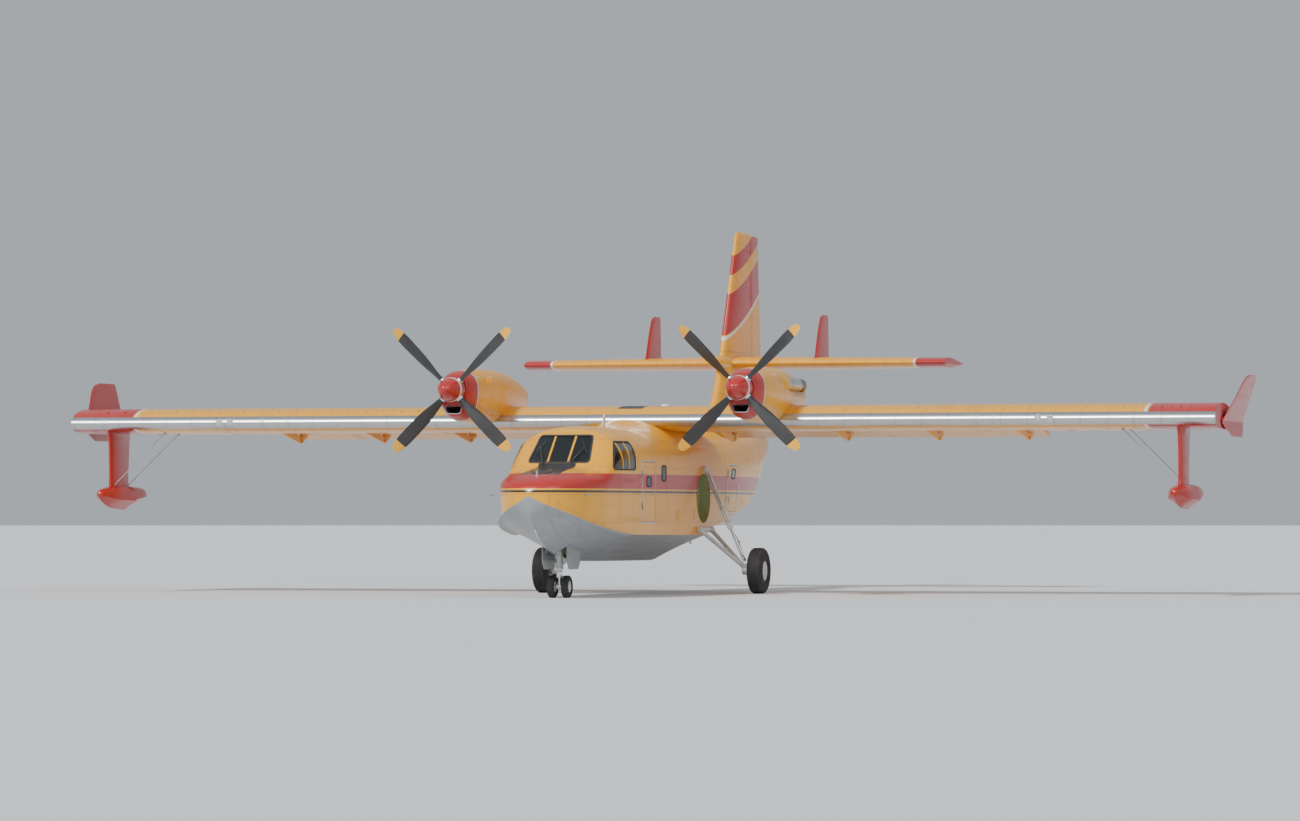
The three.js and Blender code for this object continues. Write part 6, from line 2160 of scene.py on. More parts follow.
@dataclass
class Nacelle:
    """One engine's nacelle with its intake, exhaust and propeller."""

    shop: Workshop
    side: Side
    front: float = 5.06
    wall: float = 0.026
    # station, half width, top above the shaft, bottom below the shaft
    rows: tuple[tuple[float, ...], ...] = (
        (5.06, 0.33, 0.34, 0.6),
        (5.4, 0.43, 0.44, 0.7),
        (6.2, 0.49, 0.51, 0.76),
        (7.3, 0.5, 0.53, 0.78),
        (8.2, 0.45, 0.48, 0.7),
        (9.3, 0.33, 0.31, 0.56),
        (10.25, 0.17, 0.04, 0.48),
    )
    radius: float = 1.985
    blade_station: float = 4.905
    # share of the radius, chord, thickness, pitch
    blade_rows: tuple[tuple[float, ...], ...] = (
        (0.1, 0.15, 0.11, 58),
        (0.22, 0.21, 0.08, 52),
        (0.5, 0.33, 0.044, 38),
        (0.8, 0.32, 0.026, 28),
        (0.97, 0.21, 0.014, 23),
        (1.0, 0.09, 0.008, 22),
    )

    def __post_init__(self) -> None:
        """Draws the curves."""
        self.curves, self.blades = Curves(self.rows), Curves(self.blade_rows)
        self.y = self.side * ENGINE_Y

    def ring(self, station: float, inset: float = 0.0) -> Ring:
        """The nacelle's outline.

        Args:
            station: Where it is taken.
            inset: How far it is moved in.

        Returns:
            Its points.
        """
        wide, top, bottom = self.curves(max(station, self.front))
        lip = math.sqrt(max(0.0, 1 - (1 - min(1.0, (station - self.front + 0.004) / 0.06)) ** 2))
        scale = mix(0.9, 1.0, lip) * math.sqrt(1 - (max(0.0, station - 10.07) / 0.19) ** 2)
        middle = ENGINE_Z + (top - bottom) / 2 * min(1.0, max(0.0, station - 9.6) / 0.4)
        made = []
        for a in turns(48):
            c, d = math.cos(a), math.sin(a)
            reach = (top if d > 0 else bottom) - inset
            up = ENGINE_Z + reach * math.copysign(abs(d) ** 0.9, d)
            across = (wide - inset) * math.copysign(abs(c) ** 0.85, c)
            made.append(at(station, self.y + scale * across, mix(middle, up, scale)))
        return made

    def solid(self, start: float, end: float, inset: float = 0.0) -> Form:
        """The nacelle as a solid.

        Args:
            start: The station where it starts.
            end: The station where it ends.
            inset: How far it is moved in.

        Returns:
            The solid.
        """
        wanted = [5.064, 5.07, 5.08, 5.1, 5.13, 10.1, 10.14, 10.17, 10.2, 10.225, 10.24]
        wanted += spaced(5.2, 0.15, 33)
        return Form().loft([self.ring(s, inset) for s in within(wanted, start, end)])

    def build_shell(self) -> None:
        """Makes the cowling with its intake lip, exhaust, latches and oil cooler outlet."""
        side, y = self.side, self.y
        corners = ((-0.21, 0.385), (0.21, 0.385), (0.15, 0.545), (-0.15, 0.545))
        mouth = rounded([(y + out, ENGINE_Z - down) for out, down in corners], 0.05)
        end = self.rows[-1][0]
        shell = self.solid(self.front, end).carve(
            ("DIFFERENCE", self.solid(self.front + self.wall, end - 0.05, self.wall)),
            ("DIFFERENCE", Form().slab(mouth, "x", 5.0, 5.16)),
            ("DIFFERENCE", Form().lathe([(0.075, 0.0), (0.075, 0.2)], at(5.15, y, ENGINE_Z), AHEAD, 32)),
        )
        self.shop.piece("cowling", shell, NACELLE_PAINT, replaces=["nacelle"])
        path = ((5.09, 0.02), (5.045, 0.016), (5.036, 0.0), (5.045, -0.004), (5.3, -0.02), (5.3, -0.012),
                (5.09, 0.0), (5.09, 0.02))
        rings = [[at(s, u, v) for u, v in (grown(mouth, out) if out else mouth)] for s, out in path]
        self.shop.piece("intake_lip", Form().loft(rings, caps=False), ALLOY)
        start, end = at(7.0, y + side * 0.33, ENGINE_Z + 0.15), at(8.25, y + side * 0.56, ENGINE_Z + 0.12)
        axis = (end - start).normalized()
        long = (end - start).length
        pipe = [(0.12, 0.0), (0.15, 0.25), (0.15, long - 0.02), (0.156, long), (0.14, long),
                (0.134, long - 0.03), (0.134, 0.3), (0.1, 0.05)]
        self.shop.piece("exhaust", Form().lathe(pipe, start, axis, 36, looped=True), HOT_METAL)
        baffle = Form().lathe([(0.136, 0.0), (0.136, 0.012), (0.0, 0.012)], start + axis * 0.4, axis, 24)
        self.shop.piece("exhaust_baffle", baffle, HOT_METAL)
        shield = []
        for a in (math.radians(a) for a in spaced(20, 20, 8)):
            out = Vector((0, side * 0.165 * math.sin(a), 0.165 * math.cos(a)))
            shield.append([start + axis * (long * t) + out * r
                           for t, r in ((0.2, 0.88), (0.28, 1.0), (0.8, 1.0), (0.8, 0.97), (0.28, 0.97))])
        self.shop.piece("exhaust_shield", Form().loft(shield), ALLOY)
        fairing = [(0.0, -0.5), (0.07, -0.42), (0.125, -0.25), (0.16, 0.0), (0.174, 0.2), (0.176, 0.3),
                   (0.17, 0.34), (0.152, 0.35), (0.152, 0.2), (0.0, 0.1)]
        self.shop.piece("exhaust_fairing", Form().lathe(fairing, start, axis, 40), NACELLE_PAINT)
        latches = []
        for s in (5.75, 6.55):
            ring = self.ring(s)
            for k in (5, 19, 29, 43):
                face = (ring[k] - at(s, y, ENGINE_Z)).normalized()
                latch = ring[k] - face * 0.002
                latches.append([(latch, face), (latch + AHEAD * 0.16, face)])
        self.shop.studs("cowl_latches", latches, ALLOY, LATCH, 0.08)
        rivets = []
        for s in (5.5, 6.3, 7.1, 7.9, 8.7, 9.4):
            ring = self.ring(s)
            line = [(p, (p - at(s, y, ENGINE_Z)).normalized()) for p in ring[:25] + ring[40:]]
            rivets += [line[:25], line[25:]]
        self.shop.studs("cowl_rivets", rivets, NACELLE_PAINT, RIVET, 0.06)
        vent = Form()
        for s in spaced(6.05, 0.09, 5):
            p = self.ring(s)[3 if side < 0 else 21]
            slat = ((-0.03, -0.1), (0.025, -0.1), (0.01, 0.1), (-0.03, 0.1))
            vent.slab([(s + back, p.z + up) for back, up in slat], "y", p.y - side * 0.03, p.y - side * 0.008)
        self.shop.piece("cowl_louvres", vent, NACELLE_PAINT, bevel=0.004)

    def build_propeller(self) -> None:
        """Makes the spinner, its back plate and four twisted blades with cuffs."""
        y = self.y
        spinner = [(0.0, 0.76), (0.035, 0.752), (0.075, 0.73), (0.12, 0.69), (0.17, 0.62), (0.215, 0.53),
                   (0.255, 0.41), (0.282, 0.28), (0.298, 0.12), (0.3, 0.02), (0.297, 0.004), (0.06, 0.0),
                   (0.06, -0.075), (0.0, -0.075)]
        self.shop.piece("spinner", Form().lathe(spinner, at(5.05, y, ENGINE_Z), AHEAD, 48), SPINNER_PAINT,
                        "propeller")
        places = [0.1, 0.13, 0.16, 0.2, 0.26, 0.33, 0.41, 0.5, 0.6, 0.7, 0.8, 0.88, 0.94, 0.97, 0.985, 0.995,
                  1.0]
        blade = Form().loft([self.blade_ring(share) for share in places])
        cuff = [(0.0, 0.2), (0.085, 0.2), (0.09, 0.29), (0.075, 0.33), (0.0, 0.335)]
        blade.lathe(cuff, Vector((0, 0, 0)), UP, 24, 1)
        held = bpy.data.meshes.new("blade")
        blade.settle().mesh.to_mesh(held)
        blade.mesh.free()
        every, hub = Form(), Matrix.Translation(at(self.blade_station, y, ENGINE_Z))
        for turn in spaced(math.pi / 4, math.pi / 2, 4):
            one = Form()
            one.mesh.from_mesh(held)
            every.take(one, hub @ Matrix.Rotation(turn, 4, "X"))
        bpy.data.meshes.remove(held)
        self.shop.piece("propeller_blades", every, (BLADE_PAINT[self.side], ALLOY), "propeller",
                        ["propeller"], crease=40)
        rim = at(4.86, y, ENGINE_Z)
        screws = [[(rim + across_x(a) * 0.292, across_x(a)) for a in turns(48, 1)]]
        self.shop.studs("spinner_screws", screws, ALLOY, SCREW, 0.11, "propeller")

    def blade_ring(self, share: float) -> Ring:
        """A section of a blade that stands up from the middle of its hub.

        Args:
            share: Where it is taken, as a share of the propeller's radius.

        Returns:
            Its points.
        """
        chord, thick, pitch = self.blades(share)
        angle = math.radians(pitch)
        shank = max(0.0, 1 - (share - 0.1) / 0.1)
        made = []
        for a in turns(22):
            along = 0.5 * math.cos(a)
            up = mix(0.42 * math.sin(a) * (1 + 1.1 * along), 0.5 * math.sin(a), shank) * thick
            along *= mix(chord, 0.12, shank)
            up = mix(up, 0.06 * math.sin(a), shank)
            ahead = along * math.sin(angle) + up * math.cos(angle)
            across = along * math.cos(angle) - up * math.sin(angle)
            made.append(Vector((-ahead, -across, share * self.radius)))
        return made

    def build(self) -> None:
        """Builds the nacelle and its propeller."""
        self.build_shell()
        self.build_propeller()


@dataclass
class Tail:
    """Fin, rudder, tailplane, elevators, finlets and their fittings."""

    shop: Workshop
    hull: Hull
    hinge: float = 18.05
    plane_hinge: float = 17.95
    height: float = 8.98
    thickness: float = 0.105
    plane_thickness: float = 0.12
    half_span: float = 5.485

    def __post_init__(self) -> None:
        """Draws the fin's leading edge."""
        self.nose = Curves([(3.7, 12.85), (4.02, 13.45), (4.42, 14.56), (4.8, 14.99), (8.98, 17.0)])

    def rudder_end(self, z: float) -> float:
        """Station of the rudder's trailing edge at a height."""
        return mix(19.49, 19.0, (z - 4.0) / (self.height - 4.0))

    def rudder_radius(self, z: float) -> float:
        """Radius of the rudder's nose at a height."""
        chord = self.rudder_end(z) - mix(14.6, 17.0, (z - 4.0) / (self.height - 4.0))
        return chord * half_thickness(1 - (self.rudder_end(z) - self.hinge) / chord, self.thickness)

    def elevator_end(self, y: float) -> float:
        """Station of the elevator's trailing edge at a distance out."""
        return mix(18.83, 18.7, y / self.half_span)

    def plane_nose(self, y: float) -> float:
        """Station of the tailplane's leading edge at a distance out."""
        return mix(15.9, 16.6, y / self.half_span)

    def elevator_radius(self, y: float) -> float:
        """Radius of the elevator's nose at a distance out."""
        chord = self.elevator_end(y) - self.plane_nose(y)
        return chord * half_thickness((self.plane_hinge - self.plane_nose(y)) / chord, self.plane_thickness)

    def foil(self, nose: float, end: float, cut: float, thickness: float,
             steps: int = 18) -> list[tuple[float, float]]:
        """A symmetric section from its nose to a cut.

        Args:
            nose: The station of its nose.
            end: The station where the whole section would end.
            cut: The station of the cut.
            thickness: Its thickness, as a share of its chord.
            steps: The number of edges on each face.

        Returns:
            Station and distance across of each point.
        """
        chord = end - nose
        half = [(nose + (cut - nose) * t, chord * half_thickness((cut - nose) * t / chord, thickness))
                for t in shares(steps, True)]
        hollow = [(cut - 0.03 * math.sin(math.pi * t), half[-1][1] * (1 - 2 * t)) for t in (0.25, 0.5, 0.75)]
        return half + hollow + [(s, -a) for s, a in half[:0:-1]]

    def build_fin(self) -> None:
        """Makes the fin with its fillet, the bullet at the tailplane, and the rudder."""
        rings = []
        for z in [3.72, 3.86, 4.02, 4.15, 4.28, 4.42, 4.55, 4.7, 4.8, 5.2, 6.0, 7.0, 8.0, 8.8, 8.93, 8.98]:
            nose = self.nose(z)[0]
            thickness = self.thickness * mix(0.9, 1.0, min(1.0, max(0.0, (z - 4.42) / 0.4)))
            shrink = mix(1.0, 0.55, max(0.0, (z - 8.9) / 0.08) ** 2)
            cut = self.hinge - self.rudder_radius(z) - RUN
            outline = self.foil(nose + 0.12 * (1 - shrink), self.rudder_end(z), cut, thickness)
            rings.append([at(s, a * shrink, z) for s, a in outline])
        self.shop.piece("fin_skin", Form().loft(rings), TAIL_PAINT, replaces=["fin"])
        shape = [(0.0, 0.0), (0.05, 0.03), (0.09, 0.1), (0.13, 0.25), (0.17, 0.55), (0.2, 1.1), (0.195, 1.5),
                 (0.15, 1.98), (0.08, 2.28), (0.0, 2.35)]
        self.shop.piece("tail_bullet", Form().lathe(shape, at(14.95, 0, TAIL_Z), -AHEAD, 36), TAIL_PAINT)
        rings = []
        for z in [4.13, 4.16] + spaced(4.5, 0.55, 8) + [8.9, 8.93]:
            outline = control_ring((self.hinge, 0.0), self.rudder_radius(z), (self.rudder_end(z), 0.0))
            rings.append([at(s, a, z) for s, a in outline])
        rudder = Form().loft(rings)
        foot = self.rudder_radius(4.13) - 0.006
        rudder.lathe([(foot, 0.0), (foot, 0.11)], at(self.hinge, 0, 4.064), UP, 24)
        self.shop.piece("rudder_skin", rudder, TAIL_PAINT, "rudder", ["rudder"])
        tab = Form()
        for sign in (1, -1):
            ring = []
            for z in (4.4, 6.4):
                end, radius = self.rudder_end(z), self.rudder_radius(z)
                ring.append([at(mix(self.hinge, end, t),
                                sign * (mix(radius, THIN / 2, t) + bulge(radius, t) + out), z)
                             for t, out in box_outline(0.72, 0.99, -0.001, 0.003)])
            tab.loft(ring)
        self.shop.piece("rudder_tab_skins", tab, TAIL_PAINT, "rudder")
        rod = Form()
        for sign in (1, -1):
            start = at(18.3, sign * 0.19, 5.4)
            end = at(mix(self.hinge, self.rudder_end(5.4), 0.76), sign * 0.075, 5.4)
            rod.tube([start, end], 0.008, 8)
            rod.lathe([(0.02, -0.03), (0.02, 0.03)], start, UP, 12)
            rod.lathe([(0.016, -0.02), (0.016, 0.02)], end, UP, 12)
        self.shop.piece("rudder_tab_rods", rod, STEEL, "rudder")
        wicks = [[(at(self.rudder_end(z) - 0.008, 0, z), Vector((-1, 0, -0.1))) for z in (6.8, 8.8)]]
        self.shop.studs("rudder_wicks", wicks, PLASTIC, WICK, 0.5, "rudder")
        lines = []
        for z in spaced(4.5, 0.4, 11):
            for sign in (1, -1):
                nose, chord = self.nose(z)[0], self.rudder_end(z) - self.nose(z)[0]
                last = (self.hinge - self.rudder_radius(z) - 0.05 - nose) / chord
                line = []
                for t in shares(8):
                    x = mix(0.02, last, t)
                    line.append((at(nose + chord * x, sign * chord * half_thickness(x, self.thickness), z),
                                 PORT * sign))
                lines.append(line)
        self.shop.studs("fin_rivets", lines, TAIL_PAINT, RIVET, 0.08)
        beacon = Form().lathe([(0.045, 0.0), (0.045, 0.015), (0.034, 0.04), (0.0, 0.046)], at(17.5, 0, 8.93),
                              UP, 24)
        self.shop.piece("fin_beacon", beacon, LAMP_RED)
        lamp = Form().lathe([(0.0, 0.03), (0.03, 0.02), (0.05, -0.02), (0.0, -0.03)], at(19.78, 0, 3.62),
                            -AHEAD, 20)
        self.shop.piece("tail_lamp", lamp, LAMP)

    def build_plane(self, side: Side) -> None:
        """Makes one half of the tailplane with its elevator and finlet.

        Args:
            side: The half to make.
        """
        shop = self.shop.on(side)
        rings = []
        inner, outer = 0.56, 5.33
        for y, tip in ((0.0, False), (outer + RUN, False), (outer + RUN, True), (self.half_span - 0.03, True),
                       (self.half_span, True)):
            shrink = 0.6 if y == self.half_span else 1.0
            cut = self.elevator_end(y) - 0.04 if tip else self.plane_hinge - self.elevator_radius(y) - RUN
            outline = self.foil(self.plane_nose(y), self.elevator_end(y), cut, self.plane_thickness)
            rings.append([at(s, side * y, TAIL_Z + a * shrink) for s, a in outline])
        shop.piece("tailplane_skin", Form().loft(rings), PLANE_PAINT, replaces=["tailplane"])
        rings = []
        for y in (inner, 1.5, 2.5, 3.5, 4.5, outer):
            outline = control_ring((self.plane_hinge, TAIL_Z), self.elevator_radius(y),
                                   (self.elevator_end(y), TAIL_Z))
            rings.append([at(s, side * y, z) for s, z in outline])
        form = Form().loft(rings)
        form.lathe([(0.03, 0.0), (0.03, 0.05)], at(self.plane_hinge, side * (outer - 0.04), TAIL_Z),
                   PORT * side, 16)
        shop.piece("elevator_skin", form, PLANE_PAINT, "elevator", ["elevator"])
        wicks = [[(at(self.elevator_end(y) - 0.008, side * y, TAIL_Z), -AHEAD) for y in (3.2, 5.2)]]
        shop.studs("elevator_wicks", wicks, PLASTIC, SHORT_WICK, 0.5, "elevator")
        lines = []
        for y in spaced(0.5, 0.45, 11):
            nose, chord = self.plane_nose(y), self.elevator_end(y) - self.plane_nose(y)
            rises = [(x, chord * half_thickness(x, self.plane_thickness))
                     for x in (0.03, 0.1, 0.2, 0.32, 0.45, 0.6)]
            lines += [[(at(nose + chord * x, side * y, TAIL_Z + up * rise), UP * up) for x, rise in rises]
                      for up in (1, -1)]
        shop.studs("tailplane_rivets", lines, PLANE_PAINT, RIVET, 0.07)
        rows = Curves([(5.65, 16.35, 17.82), (6.7, 16.88, 17.77), (6.83, 17.02, 17.755), (6.87, 17.2, 17.72)])
        rings = []
        for z in (5.66, 6.0, 6.4, 6.7, 6.8, 6.84, 6.87):
            nose, end = rows(z)
            shrink = 0.6 if z == 6.87 else 1.0
            rings.append([at(s, side * 2.2 + a * shrink, z)
                          for s, a in self.foil(nose, end, end - 0.02, 0.07, 12)])
        shop.piece("finlet_skin", Form().loft(rings), RED_PAINT, replaces=["finlet"])

    def build(self) -> None:
        """Builds the tail."""
        self.build_fin()
        for side in Side:
            self.build_plane(side)


def tyre(base: Vector, radius: float, width: float, rim: float, grooves: int) -> Form:
    """A tyre with a rounded tread and grooves round it.

    Args:
        base: The wheel's middle.
        radius: The tyre's radius.
        width: Its width.
        rim: The rim's radius.
        grooves: The number of grooves.

    Returns:
        The tyre.
    """
    half = width / 2
    wall = ((0.2, 0.94), (0.42, 1.0), (0.62, 0.97), (0.8, 0.87), (0.9, 0.76), (0.96, 0.62))
    side = [(rim, 0.68), (rim + 0.01, 0.76), *((mix(rim, radius, t), out) for t, out in wall),
            (radius * 0.996, 0.5)]
    tread = []
    for k in range(grooves):
        middle = mix(-0.42, 0.42, k / (grooves - 1))
        crown = radius - 0.004 * (middle / 0.42) ** 2
        floor = crown - 0.012
        tread += [(crown, middle - 0.05), (floor, middle - 0.035), (floor, middle + 0.035),
                  (crown, middle + 0.05)]
    profile = [(r, -x) for r, x in side] + tread + side[::-1]
    return Form().lathe([(r, half * x) for r, x in profile], base, PORT, 64, looped=True)


@dataclass
class MainGear:
    """One main leg with its strut, wheel, tyre and brake."""

    shop: Workshop
    side: Side
    station: float = 9.48
    y: float = 2.655
    radius: float = 0.545
    width: float = 0.38
    rim: float = 0.215
    axle: float = 0.054
    up: float = 0.54034

    def build_wheel(self) -> None:
        """Makes the wheel, its bolts, the brake disc and the tyre."""
        body, rim, bore = "main_wheel", self.rim, self.axle + 0.0005
        base, out, half = at(self.station, self.side * self.y, self.up), PORT * self.side, self.width / 2
        cover = tyre(base, self.radius, self.width, rim, 5)
        self.shop.piece("main_tyre_tread", cover, TYRE, body, ["main_tyre"], crease=45)
        section = [(bore, -0.6), (0.12, -0.62), (rim - 0.012, -0.7), (rim + 0.012, -0.78),
                   (rim + 0.012, -0.7), (rim, -0.66), (rim, 0.66), (rim + 0.012, 0.7), (rim + 0.012, 0.78),
                   (rim - 0.012, 0.72), (rim * 0.85, 0.5), (rim * 0.6, 0.22), (rim * 0.42, 0.2),
                   (rim * 0.4, 0.34), (bore, 0.34)]
        wheel = Form().lathe([(r, half * x) for r, x in section], base, out, 56, looped=True)
        self.shop.piece("main_wheel_rim", wheel, RIM_PAINT, body, ["main_wheel"])
        face = base + out * (half * 0.27)
        bolts = [[(face + across_y(a) * (rim * 0.66), out) for a in turns(60, 1)]]
        self.shop.studs("wheel_bolts", bolts, STEEL, WHEEL_BOLT, 0.089, body)
        section = [(r, half * x) for r, x in ((0.09, -0.86), (0.185, -0.86), (0.185, -0.74), (0.09, -0.74))]
        self.shop.piece("brake_disc", Form().lathe(section, base, out, 48, looped=True), BRAKE, body)

    def build_leg(self) -> None:
        """Makes the fork-shaped leg, the strut with its piston, the caliper and the hose."""
        sign, out = self.side, PORT * self.side
        hub_end = self.y - self.width / 2 - 0.012
        tube_y, tube_z = sign * 1.35535, 1.51
        knee = at(self.station, sign * (hub_end - 0.1), self.up + 0.04)
        axle = [(0.0, 0.0), (0.08, 0.0), (0.095, 0.02), (0.095, 0.175), (0.08, 0.19), (self.axle, 0.19),
                (self.axle, 0.452), (0.044, 0.462), (0.0, 0.462)]
        leg = Form().lathe(axle, at(self.station, sign * (hub_end - 0.19), self.up), out, 28)
        leg.tube([at(8.92, tube_y, tube_z), at(10.04, tube_y, tube_z)], 0.06, 24)
        for station in (9.0, 9.96):
            start = at(station, tube_y, tube_z)
            leg.tube([start, start.lerp(knee, 0.12), start.lerp(knee, 0.88), knee],
                     [0.062, 0.05, 0.046, 0.06], 20)
            leg.lathe([(0.074, -0.05), (0.074, 0.05)], start, AHEAD, 24)
        brace = [at(9.0, tube_y, tube_z).lerp(knee, 0.5), at(9.96, tube_y, tube_z).lerp(knee, 0.5)]
        leg.tube(brace, 0.026, 14)
        self.shop.piece("main_leg_tubes", leg, GEAR_PAINT, replaces=["main_leg"])
        top = at(self.station, sign * 1.35735, 2.96)
        foot = at(self.station, sign * (hub_end - 0.1), self.up + 0.13)
        strut = Form()
        strut.tube([top, top.lerp(foot, 0.6)], 0.062, 24)
        strut.tube([top.lerp(foot, 0.575), top.lerp(foot, 0.62)], 0.07, 24)
        strut.lathe([(0.045, -0.09), (0.062, -0.08), (0.062, 0.08), (0.045, 0.09)], top, AHEAD, 24)
        strut.tube([top.lerp(foot, 0.6), top.lerp(foot, 0.96)], 0.04, 24, 1)
        strut.lathe([(0.05, -0.04), (0.05, 0.04)], foot, AHEAD, 20)
        self.shop.piece("main_strut_tubes", strut, (GEAR_PAINT, CHROME), replaces=["main_strut"])
        links = Form()
        apex = top.lerp(foot, 0.76) + Vector((-0.2, 0, 0.0))
        for end in (top.lerp(foot, 0.6), top.lerp(foot, 0.94)):
            links.tube([end + Vector((-0.03, 0, 0)), apex], [0.022, 0.013], 10)
        links.lathe([(0.02, -0.03), (0.02, 0.03)], apex, out, 14)
        self.shop.piece("torque_links", links, STEEL)
        outline = box_outline(self.station - 0.06, self.station + 0.06, self.up + 0.11, self.up + 0.21)
        caliper = Form().slab(rounded(outline, 0.02), "y", sign * (hub_end - 0.03), sign * (hub_end + 0.008))
        self.shop.piece("brake_caliper", caliper, ENGINE_CAST, bevel=0.006)
        way = [top.lerp(foot, t) + Vector((0.069 + 0.004 * math.sin(9 * t), sign * 0.02, 0.012))
               for t in (0.05, 0.2, 0.35, 0.5, 0.65, 0.8, 0.9)]
        way.append(at(self.station - 0.05, sign * (hub_end - 0.02), self.up + 0.2))
        self.shop.piece("brake_line", Form().tube(way, 0.006, 8), HOSE)
        clamps = Form()
        for share in (0.08, 0.24, 0.4, 0.54):
            clamps.tube([top.lerp(foot, share), top.lerp(foot, share + 0.012)], 0.0655, 24)
            clip = top.lerp(foot, share + 0.006) + Vector((0.068, sign * 0.02, 0.012))
            clamps.lathe([(0.012, -0.012), (0.012, 0.012)], clip, (foot - top).normalized(), 12)
        self.shop.piece("strut_clamps", clamps, STEEL)

    def build(self) -> None:
        """Builds the main gear of this side."""
        self.build_wheel()
        self.build_leg()


@dataclass
class NoseGear:
    """The nose leg with its fork, pair of wheels and bay doors."""

    shop: Workshop
    hull: Hull
    station: float = 2.3
    y: float = 0.168
    radius: float = 0.255
    width: float = 0.165
    rim: float = 0.12
    up: float = 0.25186

    def build(self) -> None:
        """Builds the nose gear."""
        self.build_leg()
        self.build_wheels()
        self.build_lamp()
        for side in Side:
            self.build_door(side)

    def build_leg(self) -> None:
        """Makes the leg with its cross tube and brace, and the fork with its links."""
        s, z, wall = self.station, self.up, 0.2745
        sleeve = [(0.0, 0.0), (0.07, 0.0), (0.082, 0.02), (0.082, 0.3), (0.09, 0.31), (0.09, 0.36),
                  (0.078, 0.37), (0.078, 0.86), (0.088, 0.87), (0.088, 0.92), (0.0525, 0.92), (0.0525, 0.74),
                  (0.0, 0.74)]
        leg = Form().lathe(sleeve, at(s, 0, 1.56), -UP, 32)
        leg.tube([at(s, -wall, 1.48), at(s, wall, 1.48)], 0.055, 24)
        leg.tube([at(s, 0, 0.9), at(2.84, 0, 1.56)], 0.034, 18)
        leg.tube([at(2.84, -wall, 1.56), at(2.84, wall, 1.56)], 0.034, 18)
        self.shop.piece("nose_leg_tubes", leg, GEAR_PAINT, replaces=["nose_leg"])
        fork = Form().lathe([(0.052, 0.0), (0.052, 0.5), (0.0, 0.5)], at(s, 0, 0.76), -UP, 28, 1)
        hub = [(0.0, 0.0), (0.05, 0.0), (0.058, 0.01), (0.058, 0.13), (0.05, 0.14), (0.0, 0.14)]
        fork.lathe(hub, at(s, -0.07, z), PORT, 28)
        links = [at(s + 0.06, 0, 0.6), at(s + 0.2, 0, 0.47), at(s + 0.05, 0, 0.33)]
        fork.tube(links[:2], [0.02, 0.012], 10)
        fork.tube(links[1:], [0.012, 0.02], 10)
        fork.lathe([(0.018, -0.03), (0.018, 0.03)], links[1], PORT, 14)
        fork.lathe([(0.064, -0.022), (0.066, 0.0), (0.064, 0.022)], at(s, 0, 0.6), -UP, 28)
        self.shop.piece("nose_fork_tubes", fork, (GEAR_PAINT, CHROME), "nose_fork", ["nose_fork"])

    def build_wheels(self) -> None:
        """Makes the pair of wheels with their axle, tyres and bolts."""
        s, z, rim, half = self.station, self.up, self.rim, self.width / 2
        section = [(0.0, -0.5), (0.1, -0.6), (rim + 0.006, -0.72), (rim, -0.6), (rim, 0.6),
                   (rim + 0.006, 0.76), (rim - 0.01, 0.76), (0.092, 0.36), (0.056, 0.28), (0.05, 0.6),
                   (0.042, 0.68), (0.0, 0.7)]
        tyres, rims, bolts = Form(), Form(), []
        for side in Side:
            base, out = at(s, side * self.y, z), PORT * side
            tyres.take(tyre(base, self.radius, self.width, rim, 3))
            rims.lathe([(r, half * x) for r, x in section], base, out, 40)
            face = base + out * (half * 0.31)
            bolts.append([(face + across_y(a) * 0.075, out) for a in turns(36, 1)])
        rims.tube([at(s, -self.y, z), at(s, self.y, z)], 0.0275, 20)
        self.shop.piece("nose_tyres", tyres, TYRE, "nose_wheels", ["nose_wheels"], crease=45)
        self.shop.piece("nose_rims", rims, RIM_PAINT, "nose_wheels")
        self.shop.studs("nose_wheel_bolts", bolts, STEEL, SMALL_BOLT, 0.058, "nose_wheels")

    def build_lamp(self) -> None:
        """Makes the taxi lamp on the leg with its shell and bracket."""
        s, up = self.station, 1.02
        glass = [(0.0, -0.04), (0.05, -0.03), (0.07, 0.0), (0.074, 0.03), (0.07, 0.034), (0.0, 0.028)]
        self.shop.piece("taxi_lamp", Form().lathe(glass, at(s - 0.13, 0, up), AHEAD, 28), LAMP)
        shell = [(0.0, -0.06), (0.04, -0.05), (0.076, -0.01), (0.084, 0.03), (0.084, 0.042), (0.075, 0.042),
                 (0.073, 0.0), (0.0, -0.05)]
        self.shop.piece("taxi_lamp_shell", Form().lathe(shell, at(s - 0.13, 0, up), AHEAD, 32), ALLOY)
        bracket = Form().slab(box_outline(s - 0.12, s - 0.07, up - 0.03, up + 0.03), "y", -0.03, 0.03)
        self.shop.piece("taxi_lamp_bracket", bracket, STEEL, bevel=0.003)

    def build_door(self, side: Side) -> None:
        """Makes a bay door with its ribs and rods.

        Args:
            side: The door's side.
        """
        shop, inner = self.shop.on(side), 0.279
        outline = rounded([(1.91, 1.4), (2.89, 1.4), (2.89, 0.8), (2.75, 0.64), (2.05, 0.64), (1.91, 0.84)],
                          0.06)
        door = Form().slab(outline, "y", side * inner, side * (inner + 0.022))
        door = door.carve(("DIFFERENCE", self.hull.solid(1.0, 4.0, -0.0005)))
        shop.piece("nose_door_skin", door.settle(), BOTTOM_PAINT, replaces=["nose_gear_door"], bevel=0.003)
        ribs = Form()
        for up in (0.72, 0.83):
            ribs.slab(box_outline(2.08, 2.72, up, up + 0.02), "y", side * (inner - 0.012),
                      side * (inner + 0.002))
        shop.piece("nose_door_ribs", ribs, BAY_PAINT, bevel=0.002)
        rods = Form()
        for end in (2.12, 2.62):
            near, far = at(end, side * 0.2, 1.22), at(end, side * (inner + 0.004), 1.0)
            rods.tube([at(end, side * 0.262, 1.3), near, far], 0.009, 8)
            rods.lathe([(0.016, -0.02), (0.016, 0.02)], far, AHEAD, 12)
        shop.piece("nose_door_rods", rods, STEEL)


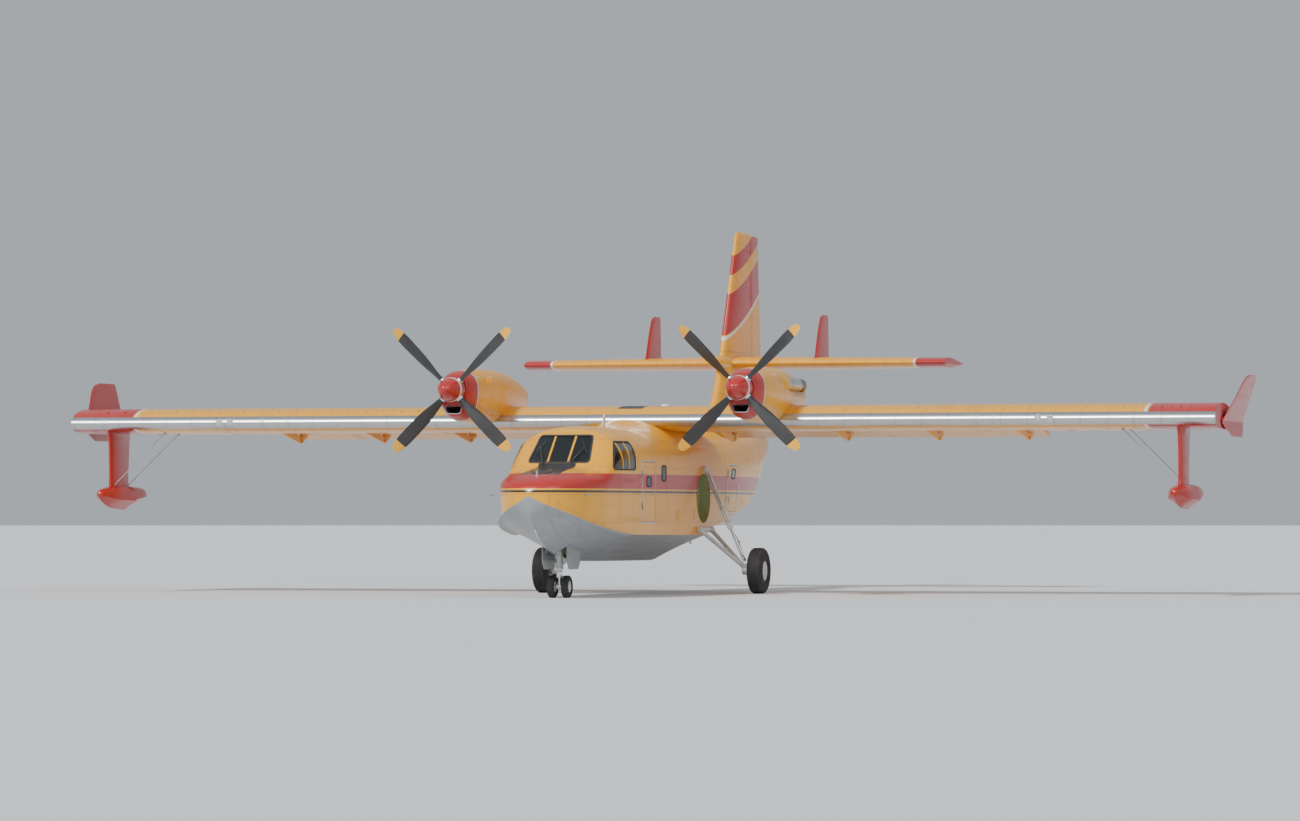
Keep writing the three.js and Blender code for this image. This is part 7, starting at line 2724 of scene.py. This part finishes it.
@dataclass
class Studio:
    """The floor, light and camera."""

    azimuth: float = 106.5
    distance: float = 125.0
    eye: float = 1.9
    target: tuple[float, float, float] = (0.0, -0.15, 4.35)
    wide: float = 31.0
    floor: float = 700.0

    def build(self) -> None:
        """Makes the floor, the sky light, the soft sun and the camera."""
        rings = [[Vector((self.floor * math.cos(a), self.floor * math.sin(a), z)) for a in turns(64)]
                 for z in (-0.05, 0.0)]
        floor = bare_object("floor", Form().loft(rings).settle())
        pale = bpy.data.materials.new("pale_floor")
        pale.use_nodes = True
        w = Wiring(pale.node_tree)
        cloud = w.noise(w.add("ShaderNodeTexCoord").outputs["Object"], 0.05, 3.0)
        tone = w.blend(cloud, (0.66, 0.67, 0.68), (0.7, 0.71, 0.72))
        w.feed(pale.node_tree.nodes["Principled BSDF"], {"Base Color": tone, "Roughness": 0.85})
        floor.data.materials.append(pale)
        world = bpy.data.worlds.new("soft_sky")
        world.use_nodes = True
        Wiring(world.node_tree).feed(world.node_tree.nodes["Background"], {0: (0.74, 0.8, 0.86, 1), 1: 0.6})
        bpy.context.scene.world = world
        suns = (("key_light", 3.3, 9.0, (48, 8, 62)), ("fill_light", 0.8, 40.0, (55, 0, 150)))
        for name, energy, spread, turn in suns:
            sun = bpy.data.lights.new(name, "SUN")
            sun.energy, sun.angle = energy, math.radians(spread)
            in_scene(name, sun).rotation_euler = [math.radians(a) for a in turn]
        camera = bpy.data.cameras.new("camera")
        camera.sensor_width = 36.0
        camera.lens = camera.sensor_width * self.distance / self.wide
        camera.clip_end = 2000.0
        eye = in_scene("camera", camera)
        a = math.radians(self.azimuth)
        eye.location = Vector((math.sin(a) * self.distance, -math.cos(a) * self.distance, self.eye))
        eye.rotation_euler = (Vector(self.target) - eye.location).to_track_quat("-Z", "Y").to_euler()
        bpy.context.scene.camera = eye


def main() -> None:
    """Builds every sub-assembly in order and reports each piece."""
    logging.basicConfig(level=logging.INFO, format="%(name)s: %(message)s")
    Studio().build()
    shop = Workshop()
    hull = Hull(shop)
    hull.build()
    Cabin(shop, hull).build()
    WingCentre(shop, hull).build()
    for side in Side:
        Wing(shop.on(side), side).build()
        Nacelle(shop.on(side), side).build()
        MainGear(shop.on(side), side).build()
    Tail(shop, hull).build()
    NoseGear(shop, hull).build()
    LOG.info("%d pieces made", len(shop.pieces))


if __name__ == "__main__":
    main()
